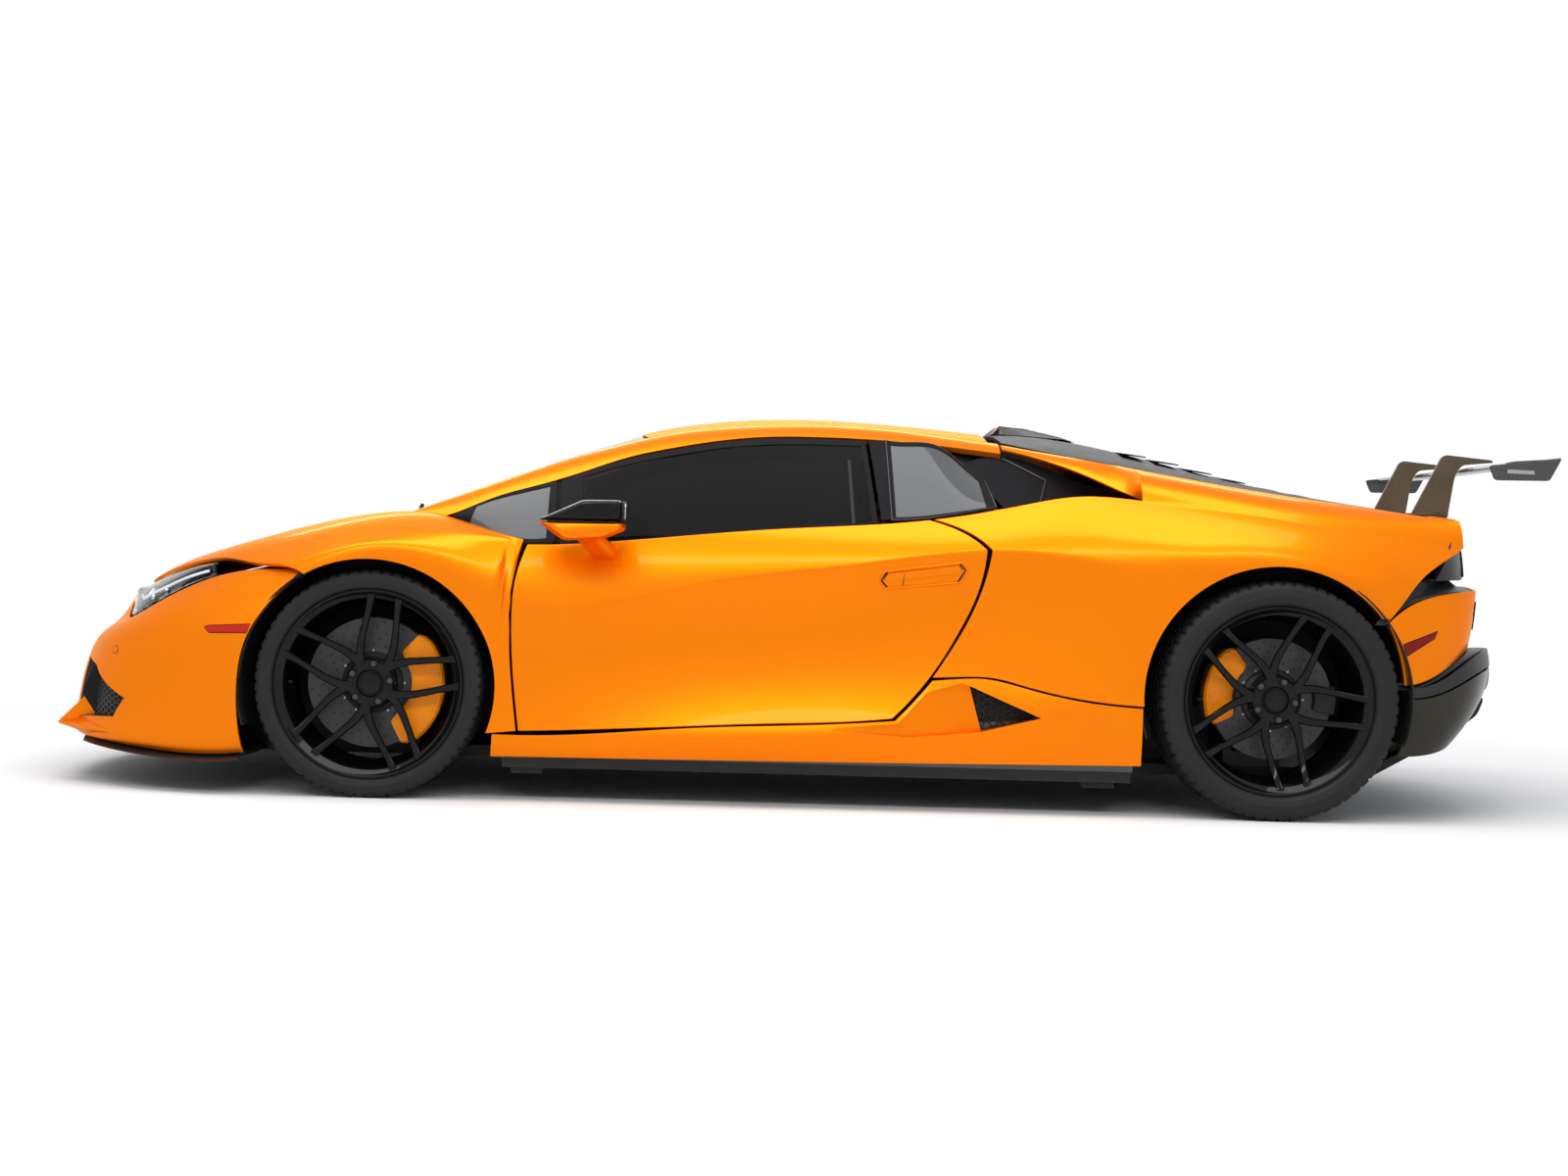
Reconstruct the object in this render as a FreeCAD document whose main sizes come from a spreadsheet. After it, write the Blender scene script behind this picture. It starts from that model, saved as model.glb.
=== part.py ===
import FreeCAD, Part
import math
import os
import Sketcher

doc = FreeCAD.newDocument("MidEngineSupercar")
V = FreeCAD.Vector

# Driving dimensions, all in millimetres and degrees
sheet = doc.addObject("Spreadsheet::Sheet", "Dims")
DIMENSIONS = [
    ("wheelbase", 2620),
    ("front_axle_x", 1235),
    ("body_width", 1924),
    ("roof_height", 1165),
    ("front_track", 1660),
    ("rear_track", 1612),
    ("front_tyre_radius", 327.5),
    ("rear_tyre_radius", 345.5),
    ("front_tyre_width", 245),
    ("rear_tyre_width", 305),
    ("rim_radius", 273),
    ("front_arch_radius", 367),
    ("rear_arch_radius", 384),
    ("front_disc_radius", 190),
    ("rear_disc_radius", 178),
    ("disc_thickness", 34),
    ("hub_radius", 70),
    ("rim_wall", 9),
    ("spoke_pairs", 5),
    ("spoke_depth", 26),
    ("panel_thickness", 22),
    ("door_thickness", 105),
    ("glass_thickness", 5),
    ("shut_gap", 6),
    ("roof_thickness", 30),
    ("floor_height", 95),
    ("floor_thickness", 32),
    ("seat_width", 500),
    ("seat_centre", 370),
    ("engine_length", 640),
    ("engine_width", 620),
    ("engine_height", 560),
    ("wing_span", 1440),
    ("wing_chord", 235),
    ("wing_thickness", 26),
    ("wing_height", 1062),
    ("pylon_spacing", 500),
    ("pylon_thickness", 12),
    ("steering_wheel_radius", 178),
    ("exhaust_radius", 58),
    ("lamp_depth", 60),
    ("mirror_width", 127),
    ("jack_bore_radius", 10),
    ("jack_bore_depth", 18),
    ("grille_thickness", 6),
    ("scoop_height", 30),
]
for row, (alias, value) in enumerate(DIMENSIONS, start=1):
    sheet.set("A%d" % row, alias)
    sheet.set("B%d" % row, str(value))
    sheet.setAlias("B%d" % row, alias)
doc.recompute()


def dim(alias):
    return float(sheet.get(alias))


parts = {}

wheelbase = dim("wheelbase")
frontX = dim("front_axle_x")
rearX = frontX - wheelbase
halfWidth = dim("body_width") / 2.0
frontHub = dim("front_tyre_radius")
rearHub = dim("rear_tyre_radius")

# Design stations are drawn for these sizes and carried to the driving ones
DRAWN_FRONT_X = 1235.0
DRAWN_REAR_X = -1385.0
DRAWN_HALF_WIDTH = 962.0
DRAWN_ROOF = 1165.0


def placeX(x):
    if x >= DRAWN_FRONT_X:
        return x - DRAWN_FRONT_X + frontX
    if x <= DRAWN_REAR_X:
        return x - DRAWN_REAR_X + rearX
    share = (x - DRAWN_REAR_X) / (DRAWN_FRONT_X - DRAWN_REAR_X)
    return rearX + share * wheelbase


def placed(x, y, z):
    upper = max(0.0, z - 700.0) / (DRAWN_ROOF - 700.0)
    zz = z + upper * (dim("roof_height") - DRAWN_ROOF)
    return V(placeX(x), y * halfWidth / DRAWN_HALF_WIDTH, zz)


# Feature lines of the body skin, each point x, y, z on the left side
class Line:
    def __init__(self, *points):
        ordered = sorted(points)
        self.first = ordered[0][0]
        self.last = ordered[-1][0]
        self.curve = Part.BSplineCurve()
        self.curve.interpolate(Points=[V(*p) for p in ordered], Parameters=[p[0] for p in ordered])

    def at(self, x):
        x = min(max(x, self.first), self.last)
        p = self.curve.value(x)
        return p.y, p.z


sillBottom = Line((1650, 925, 118), (900, 915, 127), (300, 930, 133), (-300, 936, 140),
                  (-1000, 945, 150), (-1800, 925, 190), (-2000, 880, 220))
sillCrease = Line((1650, 946, 200), (1235, 950, 190), (850, 928, 186), (300, 952, 206), (-300, 958, 243),
                  (-600, 960, 285), (-1000, 962, 320), (-1800, 935, 300), (-2000, 890, 300))
hollow = Line((1650, 952, 340), (1235, 956, 380), (850, 918, 385), (300, 897, 425),
              (-300, 902, 480), (-560, 925, 510), (-1000, 956, 500), (-1400, 962, 520),
              (-1800, 915, 450), (-2000, 870, 430))
waist = Line((1750, 895, 560), (1500, 945, 630), (1235, 957, 712), (1000, 946, 655),
             (829, 930, 578), (329, 927, 630), (-149, 928, 704), (-540, 934, 758),
             (-1000, 952, 756), (-1385, 960, 762), (-1700, 930, 690), (-1960, 862, 620))
shoulder = Line((1900, 690, 570), (1697, 800, 640), (1450, 898, 692), (1235, 925, 738), (1000, 908, 748),
                (796, 884, 741), (484, 880, 762), (50, 871, 806), (-371, 856, 842), (-636, 840, 891),
                (-806, 830, 922), (-994, 826, 915), (-1385, 862, 872), (-1700, 842, 826), (-1960, 790, 800))
crown = Line((2000, 540, 560), (1900, 600, 612), (1697, 690, 690), (1450, 760, 757), (1235, 795, 797),
             (1062, 818, 792), (930, 850, 770), (796, 883, 743))
hoodEdge = Line((2060, 300, 540), (1900, 420, 640), (1650, 520, 720), (1450, 580, 775), (1300, 628, 806),
                (1180, 690, 820), (1062, 744, 812), (930, 818, 777), (796, 882, 745))
deckLine = Line((-590, 560, 1076), (-656, 572, 1068), (-833, 600, 1042), (-1126, 640, 993),
                (-1415, 690, 947), (-1702, 728, 910), (-1830, 748, 893), (-1960, 775, 880))
haunch = Line((-994, 770, 985), (-1126, 772, 965), (-1385, 800, 925), (-1702, 802, 880), (-1960, 788, 850))
FRONT_LINES = [sillBottom, sillCrease, hollow, waist, shoulder, crown, hoodEdge]
REAR_LINES = [sillBottom, sillCrease, hollow, waist, shoulder, haunch, deckLine]


def skin(x, s):
    lines = FRONT_LINES if x > 0 else REAR_LINES
    if s <= 1:
        group = [0, 1]
    elif s <= 3:
        group = [1, 2, 3]
    elif s <= 4:
        group = [3, 4]
    else:
        group = [4, 5, 6]
    pts = [lines[i].at(x) for i in group]
    if len(group) == 2:
        t = s - group[0]
        bulge = 4 * t * (1 - t) * (4.0 if group[0] == 0 else 9.0)
        (y0, z0), (y1, z1) = pts
        return V(x, y0 + t * (y1 - y0) + bulge, z0 + t * (z1 - z0))
    t = s - group[0]
    w = [(t - 1) * (t - 2) / 2.0, -t * (t - 2), t * (t - 1) / 2.0]
    y = sum(w[i] * pts[i][0] for i in range(3))
    z = sum(w[i] * pts[i][1] for i in range(3))
    return V(x, y, z)


def levelAt(x, z, low=0.0, high=6.0):
    for _ in range(40):
        middle = (low + high) / 2.0
        if skin(x, middle).z < z:
            low = middle
        else:
            high = middle
    return (low + high) / 2.0


def skinNormal(x, s):
    d = 0.02
    along = skin(x + 4, s) - skin(x - 4, s)
    across = skin(x, min(6.0, s + d)) - skin(x, max(0.0, s - d))
    n = along.cross(across)
    if n.Length < 1e-9:
        return V(0, 1, 0)
    n.normalize()
    if n.y < -0.2 or (abs(n.y) <= 0.2 and n.z < 0):
        n = n * -1.0
    return n


# Interpolated patches
def throughPoints(points, params):
    curve = Part.BSplineCurve()
    curve.interpolate(Points=points, Parameters=params)
    return curve


def spread(count):
    return [i / float(count - 1) for i in range(count)]


def patchSurface(rows):
    us = spread(len(rows[0]))
    vs = spread(len(rows))
    rowCurves = [throughPoints(r, us) for r in rows]
    rowPoles = [c.getPoles() for c in rowCurves]
    columns = []
    for i in range(len(rowPoles[0])):
        column = throughPoints([r[i] for r in rowPoles], vs)
        columns.append(column.getPoles())
    surface = Part.BSplineSurface()
    surface.buildFromPolesMultsKnots(columns, rowCurves[0].getMultiplicities(), column.getMultiplicities(),
                                     rowCurves[0].getKnots(), column.getKnots(), False, False,
                                     rowCurves[0].Degree, column.Degree)
    return surface.toShape()


def ruledFace(first, second):
    return patchSurface([first, second])


def slab(patches):
    faces = []
    for outer, inner, sides in patches:
        faces.append(patchSurface(outer))
        faces.append(patchSurface(inner))
        if "b" in sides:
            faces.append(ruledFace(outer[0], inner[0]))
        if "t" in sides:
            faces.append(ruledFace(outer[-1], inner[-1]))
        if "l" in sides:
            faces.append(ruledFace([r[0] for r in outer], [r[0] for r in inner]))
        if "r" in sides:
            faces.append(ruledFace([r[-1] for r in outer], [r[-1] for r in inner]))
    return solidFrom(faces)


def solidFrom(faces):
    shape = Part.Compound(faces)
    shape.sewShape(0.05)
    shells = shape.Shells
    solid = Part.Solid(shells[0])
    if solid.Volume < 0:
        solid.reverse()
    return solid


def coons(bottom, top, left, right):
    rows = []
    nu = len(bottom)
    nv = len(left)
    for j in range(nv):
        v = j / float(nv - 1)
        row = []
        for i in range(nu):
            u = i / float(nu - 1)
            value = []
            for k in range(len(bottom[0])):
                edge = (1 - v) * bottom[i][k] + v * top[i][k] + (1 - u) * left[j][k] + u * right[j][k]
                corner = ((1 - u) * (1 - v) * bottom[0][k] + u * (1 - v) * bottom[-1][k]
                          + (1 - u) * v * top[0][k] + u * v * top[-1][k])
                value.append(edge - corner)
            row.append(tuple(value))
        rows.append(row)
    return rows


# One level of the skin stands for about this height
LEVEL_HEIGHT = 180.0


def resample(points, count):
    lengths = [0.0]
    for a, b in zip(points, points[1:]):
        if len(a) == 2:
            step = math.hypot(a[0] - b[0], LEVEL_HEIGHT * (a[1] - b[1]))
        else:
            step = math.dist(a, b)
        lengths.append(lengths[-1] + step)
    curve = Part.BSplineCurve()
    full = [V(*(list(p) + [0.0] * (3 - len(p)))) for p in points]
    curve.interpolate(Points=full, Parameters=lengths)
    size = len(points[0])
    result = []
    for share in spread(count):
        p = curve.value(share * lengths[-1])
        result.append((p.x, p.y, p.z)[:size])
    return result


def skinPatch(xs, thickness):
    outer = [[skin(x, s) for x, s in row] for row in xs]
    inner = [[skin(x, s) - skinNormal(x, s) * thickness for x, s in row] for row in xs]
    outer = [[placed(p.x, p.y, p.z) for p in row] for row in outer]
    inner = [[placed(p.x, p.y, p.z) for p in row] for row in inner]
    return outer, inner


def addShape(name, shape, node=True):
    feature = doc.addObject("Part::Feature", name)
    feature.Label = name
    feature.Shape = shape
    feature.Placement = FreeCAD.Placement()
    if node:
        parts[name] = feature
    return feature


def mirrored(shape):
    return shape.mirror(V(0, 0, 0), V(0, 1, 0))


def addPair(name, shape):
    addShape(name + "_left", shape)
    addShape(name + "_right", mirrored(shape))


def trimmed(shape, *tools):
    for tool in tools:
        shape = shape.cut(tool)
    return max(shape.Solids, key=lambda solid: solid.Volume)


def addTwins(name, *shapes):
    addShape(name, Part.Compound(list(shapes) + [mirrored(shape) for shape in shapes]))


def prismY(points, y0, y1):
    wire = Part.makePolygon([V(x, y0, z) for x, z in points] + [V(points[0][0], y0, points[0][1])])
    return Part.Face(wire).extrude(V(0, y1 - y0, 0))


def prismX(points, x0, x1):
    wire = Part.makePolygon([V(x0, y, z) for y, z in points] + [V(x0, points[0][0], points[0][1])])
    return Part.Face(wire).extrude(V(x1 - x0, 0, 0))


def prismZ(points, z0, z1):
    wire = Part.makePolygon([V(x, y, z0) for x, y in points] + [V(points[0][0], points[0][1], z0)])
    return Part.Face(wire).extrude(V(0, 0, z1 - z0))


def archPoint(centreX, centreZ, radius, degrees):
    a = math.radians(degrees)
    return centreX + radius * math.cos(a), centreZ + radius * math.sin(a)


panel = dim("panel_thickness")
gap = dim("shut_gap")


# Front fenders
ARCH_FRONT = (1239.0, 320.0)
ARCH_REAR = (-1377.0, 348.0)
frontArch = dim("front_arch_radius")
rearArch = dim("rear_arch_radius")


def archEdge(centre, radius, start, end, count):
    edge = []
    for i in range(count):
        x, z = archPoint(centre[0], centre[1], radius, start + (end - start) * i / (count - 1.0))
        edge.append((x, levelAt(x, z)))
    return edge


doorFrontLine = [(802, 203), (817, 315), (829, 459), (829, 574), (818, 660), (792, 741)]
archTopEdge = archEdge(ARCH_FRONT, frontArch, 60, 150, 13)
seamLine = [archTopEdge[0], (1520, 3.62), (1600, 4.0), (1697, 4.5), (1790, 4.95), (1880, 5.35), (1990, 5.97)]
seamEdge = resample(seamLine, 8)
fenderTop = resample([(1990, 5.97), (1650, 6), (1350, 6), (1180, 6), (1000, 6), (803, 5.9)], 13)
legStart = archTopEdge[-1]
fenderRight = resample([legStart, (893, 3.0), (850, 4.1), (822, 5.1), (803, 5.9)], 8)
fenderGrid = coons(archTopEdge, fenderTop, seamEdge, fenderRight)
doorFront = [(x + gap, levelAt(x, z, 0, 4)) for x, z in doorFrontLine]
legTop = [(803, 5.9)] + [(x, s) for x, s in resample(doorFront[::-1], 7)[1:]]
legBottom = archEdge(ARCH_FRONT, frontArch, 150, 200, 7)
legGrid = coons(legBottom, legTop, fenderRight, resample([legBottom[-1], legTop[-1]], len(fenderRight)))
outerA, innerA = skinPatch(fenderGrid, panel)
outerB, innerB = skinPatch(legGrid, panel)
for j, row in enumerate(innerB):
    for i, p in enumerate(row):
        share = j / (len(innerB) - 1.0)
        row[i] = V(p.x + 22.0 * share * min(1.0, 2.0 * i / (len(row) - 1.0)), p.y, p.z)
fender = slab([(outerA, innerA, "btl"), (outerB, innerB, "btr")])
addPair("front_fender", fender)

# Doors
doorBottomLine = [(802, 203), (560, 215), (318, 230), (120, 242), (-76, 251), (-273, 268)]
doorRearLine = [(-273, 268), (-322, 317), (-377, 383), (-446, 492), (-514, 638), (-540, 750)]


def onSkin(points):
    return [(x, levelAt(x, z, 0, 4)) for x, z in points]


doorLowBottom = resample(onSkin(doorBottomLine), 12)
doorLowLeft = resample(onSkin(doorFrontLine[:4]), 6)
doorLowRight = resample(onSkin(doorRearLine), 6)
doorLowLeft[-1] = (829, 3.0)
doorLowRight[-1] = (-536, 3.0)
doorWaist = resample([(829, 3.0), (500, 3.0), (0, 3.0), (-536, 3.0)], 12)
doorBeltLeft = resample([(829, 3.0), (818, 3.5), (792, 4.0)], 4)
doorBeltRight = resample([(-536, 3.0), (-480, 3.45), (-371, 4.0)], 4)
doorBelt = resample([(792, 4.0), (500, 4.0), (0, 4.0), (-371, 4.0)], 12)
doorLow = coons(doorLowBottom, doorWaist, doorLowLeft, doorLowRight)
doorHigh = coons(doorWaist, doorBelt, doorBeltLeft, doorBeltRight)


HINGE_X = 775.0
HINGE_Y = 876.0
doorMiddle = (140.0, 500.0)


def doorFrame(grid, depth, insetFront, insetRear, insetUp, insetDown):
    rows = []
    for row in grid:
        result = []
        for x, s in row:
            p = skin(x, s)
            shareX = (p.x - doorMiddle[0]) / 690.0
            shareZ = (p.z - doorMiddle[1]) / 330.0
            dx = -insetFront * shareX if shareX > 0 else -insetRear * shareX
            dz = -insetUp * shareZ if shareZ > 0 else -insetDown * shareZ
            result.append(placed(p.x + dx, p.y - depth, p.z + dz))
        rows.append(result)
    return rows


outerLow, innerLow = skinPatch(doorLow, panel)
outerHigh, innerHigh = skinPatch(doorHigh, panel)
doorSkin = slab([(outerLow, innerLow, "blr"), (outerHigh, innerHigh, "tlr")])
depth = dim("door_thickness")
frameLow = doorFrame(doorLow, panel - 6, 92, 26, 16, 18)
frameLowIn = doorFrame(doorLow, depth, 100, 40, 22, 30)
frameHigh = doorFrame(doorHigh, panel - 6, 92, 26, 16, 18)
frameHighIn = doorFrame(doorHigh, depth, 100, 40, 22, 30)
doorInner = slab([(frameLow, frameLowIn, "blr"), (frameHigh, frameHighIn, "tlr")])
hingeLevels = (330.0, 600.0)
leaves = []
for level in hingeLevels:
    eye = Part.makeCylinder(13, 30, V(placeX(HINGE_X), HINGE_Y, level))
    leaf = Part.makeBox(50, 14, 30, V(placeX(HINGE_X) - 50, HINGE_Y - 7, level))
    pinHole = Part.makeCylinder(7, 30, V(placeX(HINGE_X), HINGE_Y, level))
    leaves.append(eye.fuse(leaf).cut(pinHole))
door = doorSkin.fuse([doorInner] + leaves)
addPair("door", door)

# Side skirts under the doors, which rise behind them into a blade over an intake
BLADE_FRONT = (-387.6, 378)
bladeLine = [BLADE_FRONT, (-453, 384), (-523, 388), (-663, 361), (-800, 333), (-990, 315)]
skirtStops = [880, -281, BLADE_FRONT[0] + 0.4, -990]
skirtTops = [
    resample(onSkin([(876, 192), (802, 197 - gap), (318, 230 - gap), (-76, 251 - gap), (-281, 261)]), 10),
    resample(onSkin([(-281, 261), (-331, 312), BLADE_FRONT]), 4),
    resample(onSkin(bladeLine), 9),
]
skirtThickness = panel + 28
skirtPatches = []
for part, top in enumerate(skirtTops):
    start, end = skirtStops[part], skirtStops[part + 1]
    low = resample([(start, 0.0), ((start + end) / 2.0, 0.0), (end, 0.0)], len(top))
    grid = coons(low, top, resample([low[0], top[0]], 5), resample([low[-1], top[-1]], 5))
    sides = "bt" + ("l" if part == 0 else "") + ("r" if part == 2 else "")
    skirtPatches.append(skinPatch(grid, skirtThickness) + (sides,))
skirt = slab(skirtPatches)
RAMP_OUTLINE = [(-70, 232), (-290, 254), (-372, 344), (-470, 374), (-502, 364), (-535, 238), (-320, 216)]
RAMP_PLAN = [(-60, 1000), (-60, 958), (-505, 908), (-540, 908), (-540, 1000)]
INTAKE_OUTLINE = [(-496, 366), (-699, 280), (-531, 238)]
rampTool = prismY([(placeX(x), z) for x, z in RAMP_OUTLINE], 800, 1010).common(
    prismZ([(placeX(x), y) for x, y in RAMP_PLAN], 150, 450))
intakeTool = prismY([(placeX(x), z) for x, z in INTAKE_OUTLINE], 850, 1010)
skirt = trimmed(skirt, rampTool, intakeTool)
addTwins("side_skirts", skirt)

# Rear quarter panels
quarterFront = onSkin([(x - 1.4 * gap, z) for x, z in doorRearLine[2:]])
quarterFront[0] = (BLADE_FRONT[0], levelAt(BLADE_FRONT[0], 387))
quarterFront[-1] = (-544 - gap, 3.0)
archFront = archEdge(ARCH_REAR, rearArch, -4, 62, 7)
quarterSill = resample([quarterFront[0]] + onSkin([(x, z + gap) for x, z in bladeLine[1:5]]) + [archFront[0]], 8)
quarterWaist = resample([quarterFront[-1], (-800, 2.95), archFront[-1]], 8)
quarterLow = coons(quarterSill, quarterWaist, resample(quarterFront, 7), archFront)
quarterCorner = resample([quarterFront[-1], (-480 - 2.4 * gap, 3.45), (-371 - 2.4 * gap, 4.0)], 5)
quarterTop = resample([quarterCorner[-1], (-700, 4.0), (-994, 4.0)], 8)
quarterMiddle = resample([archFront[-1], (-1120, 3.3), (-994, 4.0)], 5)
quarterHigh = coons(quarterWaist, quarterTop, quarterCorner, quarterMiddle)
archRear = archEdge(ARCH_REAR, rearArch, 62, 144, 8)
haunchEdge = resample([(-994, 4.0), (-1400, 4.0), (-1945, 4.0)], 8)
tailLow = resample([archRear[-1]] + onSkin([(-1722, 606), (-1778, 690), (-1830, 730)]) + [(-1945, 4.0)], 5)
quarterBack = coons(archRear, haunchEdge, quarterMiddle, tailLow)
tipEdge = resample([(-994, 4.0), (-994, 6.0)], 4)
tailEdge = resample([(-1945, 4.0), (-1935, 6.0)], 4)
deckEdge = resample([(-994, 6.0), (-1400, 6.0), (-1935, 6.0)], 8)
quarterHaunch = coons(haunchEdge, deckEdge, tipEdge, tailEdge)
quarterPatches = [skinPatch(grid, panel) for grid in (quarterLow, quarterHigh, quarterBack, quarterHaunch)]
RAIL_LOWER = [(-600, 652, 1064), (-709, 655, 1037), (-825, 675, 998), (-936, 730, 947), (-994, 826, 915)]
railBottom = [V(*p) for p in resample(RAIL_LOWER, 6)]
railTop = [V(x, deckLine.at(x)[0], deckLine.at(x)[1]) for x, _ in resample([(-600, 0), (-994, 0)], 6)]
buttressOuter = []
buttressInner = []
for j in range(4):
    share = j / 3.0
    outerRow = [a + (b - a) * share + V(0, 8, 6) * (4 * share * (1 - share)) for a, b in zip(railBottom, railTop)]
    innerRow = [p + V(0, -0.6 * panel, -0.8 * panel) for p in outerRow]
    outerRow = [placed(p.x, p.y, p.z) for p in outerRow]
    innerRow = [placed(p.x, p.y, p.z) for p in innerRow]
    outerRow[-1] = quarterPatches[3][0][j][0]
    innerRow[-1] = quarterPatches[3][1][j][0]
    buttressOuter.append(outerRow)
    buttressInner.append(innerRow)
quarter = slab([
    quarterPatches[0] + ("blr",),
    quarterPatches[1] + ("tl",),
    quarterPatches[2] + ("br",),
    quarterPatches[3] + ("tr",),
    (buttressOuter, buttressInner, "btl"),
])
addPair("rear_quarter", quarter)


# Bumpers wrap round from arch to arch, so their rows run across the car
def wrapRows(rows, thickness, rearward, lipDrop=0.0):
    outer = []
    for row in rows:
        half = resample(row, 9)
        full = [placed(*p) for p in half]
        full += [placed(p[0], -p[1], p[2]) for p in half[-2::-1]]
        outer.append(full)
    inner = []
    for j, row in enumerate(outer):
        result = []
        lip = lipDrop if j == len(outer) - 1 else 0.0
        for i, p in enumerate(row):
            a = row[max(0, i - 1)]
            b = row[min(len(row) - 1, i + 1)]
            along = b - a
            n = V(along.y, -along.x, 0)
            n.normalize()
            if rearward:
                n = n * -1.0
            result.append(p + n * (thickness - lip) - V(0, 0, lip))
        inner.append(result)
    return outer, inner


FRONT_ROWS = [
    [(1590, 930, 122), (1720, 905, 112), (1880, 845, 118), (2020, 750, 128), (2140, 590, 135), (2219, 320, 138),
     (2240.6, 0, 138)],
    [(1608, 950, 225), (1735, 925, 222), (1890, 870, 222), (2035, 770, 222), (2150, 590, 222), (2224, 320, 220),
     (2244.6, 0, 220)],
    [(1606, 954, 375), (1740, 928, 378), (1890, 868, 380), (2020, 770, 382), (2115, 600, 384), (2180, 330, 386),
     (2198, 0, 386)],
    [(1560, 948, 505), (1715, 916, 496), (1850, 858, 486), (1960, 765, 474), (2055, 605, 462), (2125, 330, 456),
     (2146, 0, 456)],
    [(1432, 925, 652), (1560, 880, 648), (1700, 802, 626), (1850, 758, 562), (1950, 688, 512), (2008, 600, 486),
     (2034, 480, 508), (2050, 370, 545), (2078, 200, 552), (2096, 0, 546)],
]
outer, inner = wrapRows(FRONT_ROWS, panel, False, 14.0)
bumper = slab([(outer, inner, "btlr")])
sideIntake = prismX([(545, 188), (800, 205), (832, 262), (700, 352), (560, 372)], placeX(1700), placeX(2400))
lowerIntake = prismX([(-430, 176), (430, 176), (470, 255), (360, 300), (-360, 300), (-470, 255)],
                     placeX(1700), placeX(2400))
frontBumper = trimmed(bumper, sideIntake, mirrored(sideIntake), lowerIntake, fender, mirrored(fender))
finPlate = prismY([(placeX(x), z) for x, z in ((2122, 275), (2226, 170), (2190, 150), (2100, 150), (2118, 190))], 560, 572)
finOutside = prismZ([(placeX(x), y) for x, y in ((2400, 400), (2198, 330), (2128, 590), (2100, 700), (2400, 700))], 100, 400)
finPlate = trimmed(finPlate, finOutside)
frontBumper = frontBumper.fuse([finPlate, mirrored(finPlate)])
addShape("front_bumper", max(frontBumper.Solids, key=lambda solid: solid.Volume))

REAR_ROWS = [
    [(-1745, 938, 400), (-1800, 905, 412), (-1880, 850, 440), (-1945, 780, 480), (-2030, 560, 500), (-2085, 300, 505),
     (-2100, 0, 505)],
    [(-1728, 940, 490), (-1800, 905, 505), (-1885, 850, 530), (-1958, 780, 560), (-2040, 560, 570), (-2098, 300, 575),
     (-2112, 0, 575)],
    [(-1694, 940, 575), (-1790, 895, 640), (-1880, 845, 665), (-1965, 780, 672), (-2045, 560, 680), (-2100, 300, 685),
     (-2115, 0, 685)],
]
outer, inner = wrapRows(REAR_ROWS, panel, True)
rearBumper = trimmed(slab([(outer, inner, "btlr")]), quarter, mirrored(quarter))
addShape("rear_bumper", rearBumper)


# Panels that span the car between two mirrored edges
def spanPanel(edge, centre, thickness, rise=0.0):
    us = len(edge)
    outer = []
    for share in [-1.0, -0.7, -0.35, 0.0, 0.35, 0.7, 1.0]:
        row = []
        for (x, y, z), (cx, cz) in zip(edge, centre):
            blend = share * share
            px = cx + (x - cx) * blend
            pz = cz + (z - cz) * blend + rise * (1 - blend) * blend
            row.append(placed(px, y * share, pz))
        outer.append(row)
    inner = []
    for j, row in enumerate(outer):
        result = []
        for i, p in enumerate(row):
            a = row[max(0, i - 1)]
            b = row[min(us - 1, i + 1)]
            c = outer[max(0, j - 1)][i]
            d = outer[min(len(outer) - 1, j + 1)][i]
            n = (b - a).cross(d - c)
            n.normalize()
            if n.z < 0:
                n = n * -1.0
            result.append(p - n * thickness)
        inner.append(result)
    return outer, inner


hoodSide = [(x, hoodEdge.at(x)[0] - 1.4 * gap, hoodEdge.at(x)[1]) for x in (1988, 1840, 1690, 1540, 1380, 1225)]
hoodCentre = [(2083, 553), (1930, 638), (1760, 704), (1590, 752), (1430, 786), (1285, 812)]
outer, inner = spanPanel(hoodSide, hoodCentre, 18, 10)
bonnet = slab([(outer, inner, "btlr")])
BONNET_HINGE = (1195.0, 790.0)
LID_HINGE = (-588.0, 1100.0)
PIN_RADIUS = 5.0
EYE_RADIUS = 8.0


# One hinge eye across the car at a pivot, with an arm that reaches to the panel
def hingeEye(pivot, reach, middleY):
    x, z = placed(pivot[0], 0, pivot[1]).x, placed(pivot[0], 0, pivot[1]).z
    eye = Part.makeCylinder(EYE_RADIUS, 20, V(x, middleY - 10, z), V(0, 1, 0))
    end = placed(pivot[0] + reach[0], 0, pivot[1] + reach[1])
    dx, dz = end.x - x, end.z - z
    run = math.hypot(dx, dz)
    side = V(-dz / run, 0, dx / run) * 5.0
    foot = V(x, middleY - 10, z)
    tip = foot + V(dx, 0, dz)
    wire = Part.makePolygon([foot - side, tip - side, tip + side, foot + side, foot - side])
    arm = Part.Face(wire).extrude(V(0, 20, 0))
    bore = Part.makeCylinder(PIN_RADIUS + 0.3, 20, V(x, middleY - 10, z), V(0, 1, 0))
    return eye.fuse(arm).cut(bore)


# The fork that holds the pin of such an eye, its two cheeks drawn from the pivot to a foot outline
def hingeFork(pivot, footPoints, middleY):
    x, z = placed(pivot[0], 0, pivot[1]).x, placed(pivot[0], 0, pivot[1]).z
    pieces = [Part.makeCylinder(PIN_RADIUS, 40, V(x, middleY - 20, z), V(0, 1, 0))]
    for y0 in (middleY - 20, middleY + 11):
        cheek = prismY([(x + a, z + b) for a, b in footPoints], y0, y0 + 9)
        pieces.append(cheek)
    return pieces[0].fuse(pieces[1:])


for middleY in (-610, 610):
    bonnet = bonnet.fuse(hingeEye(BONNET_HINGE, (46, 12), middleY))
addShape("bonnet", bonnet)

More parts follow.
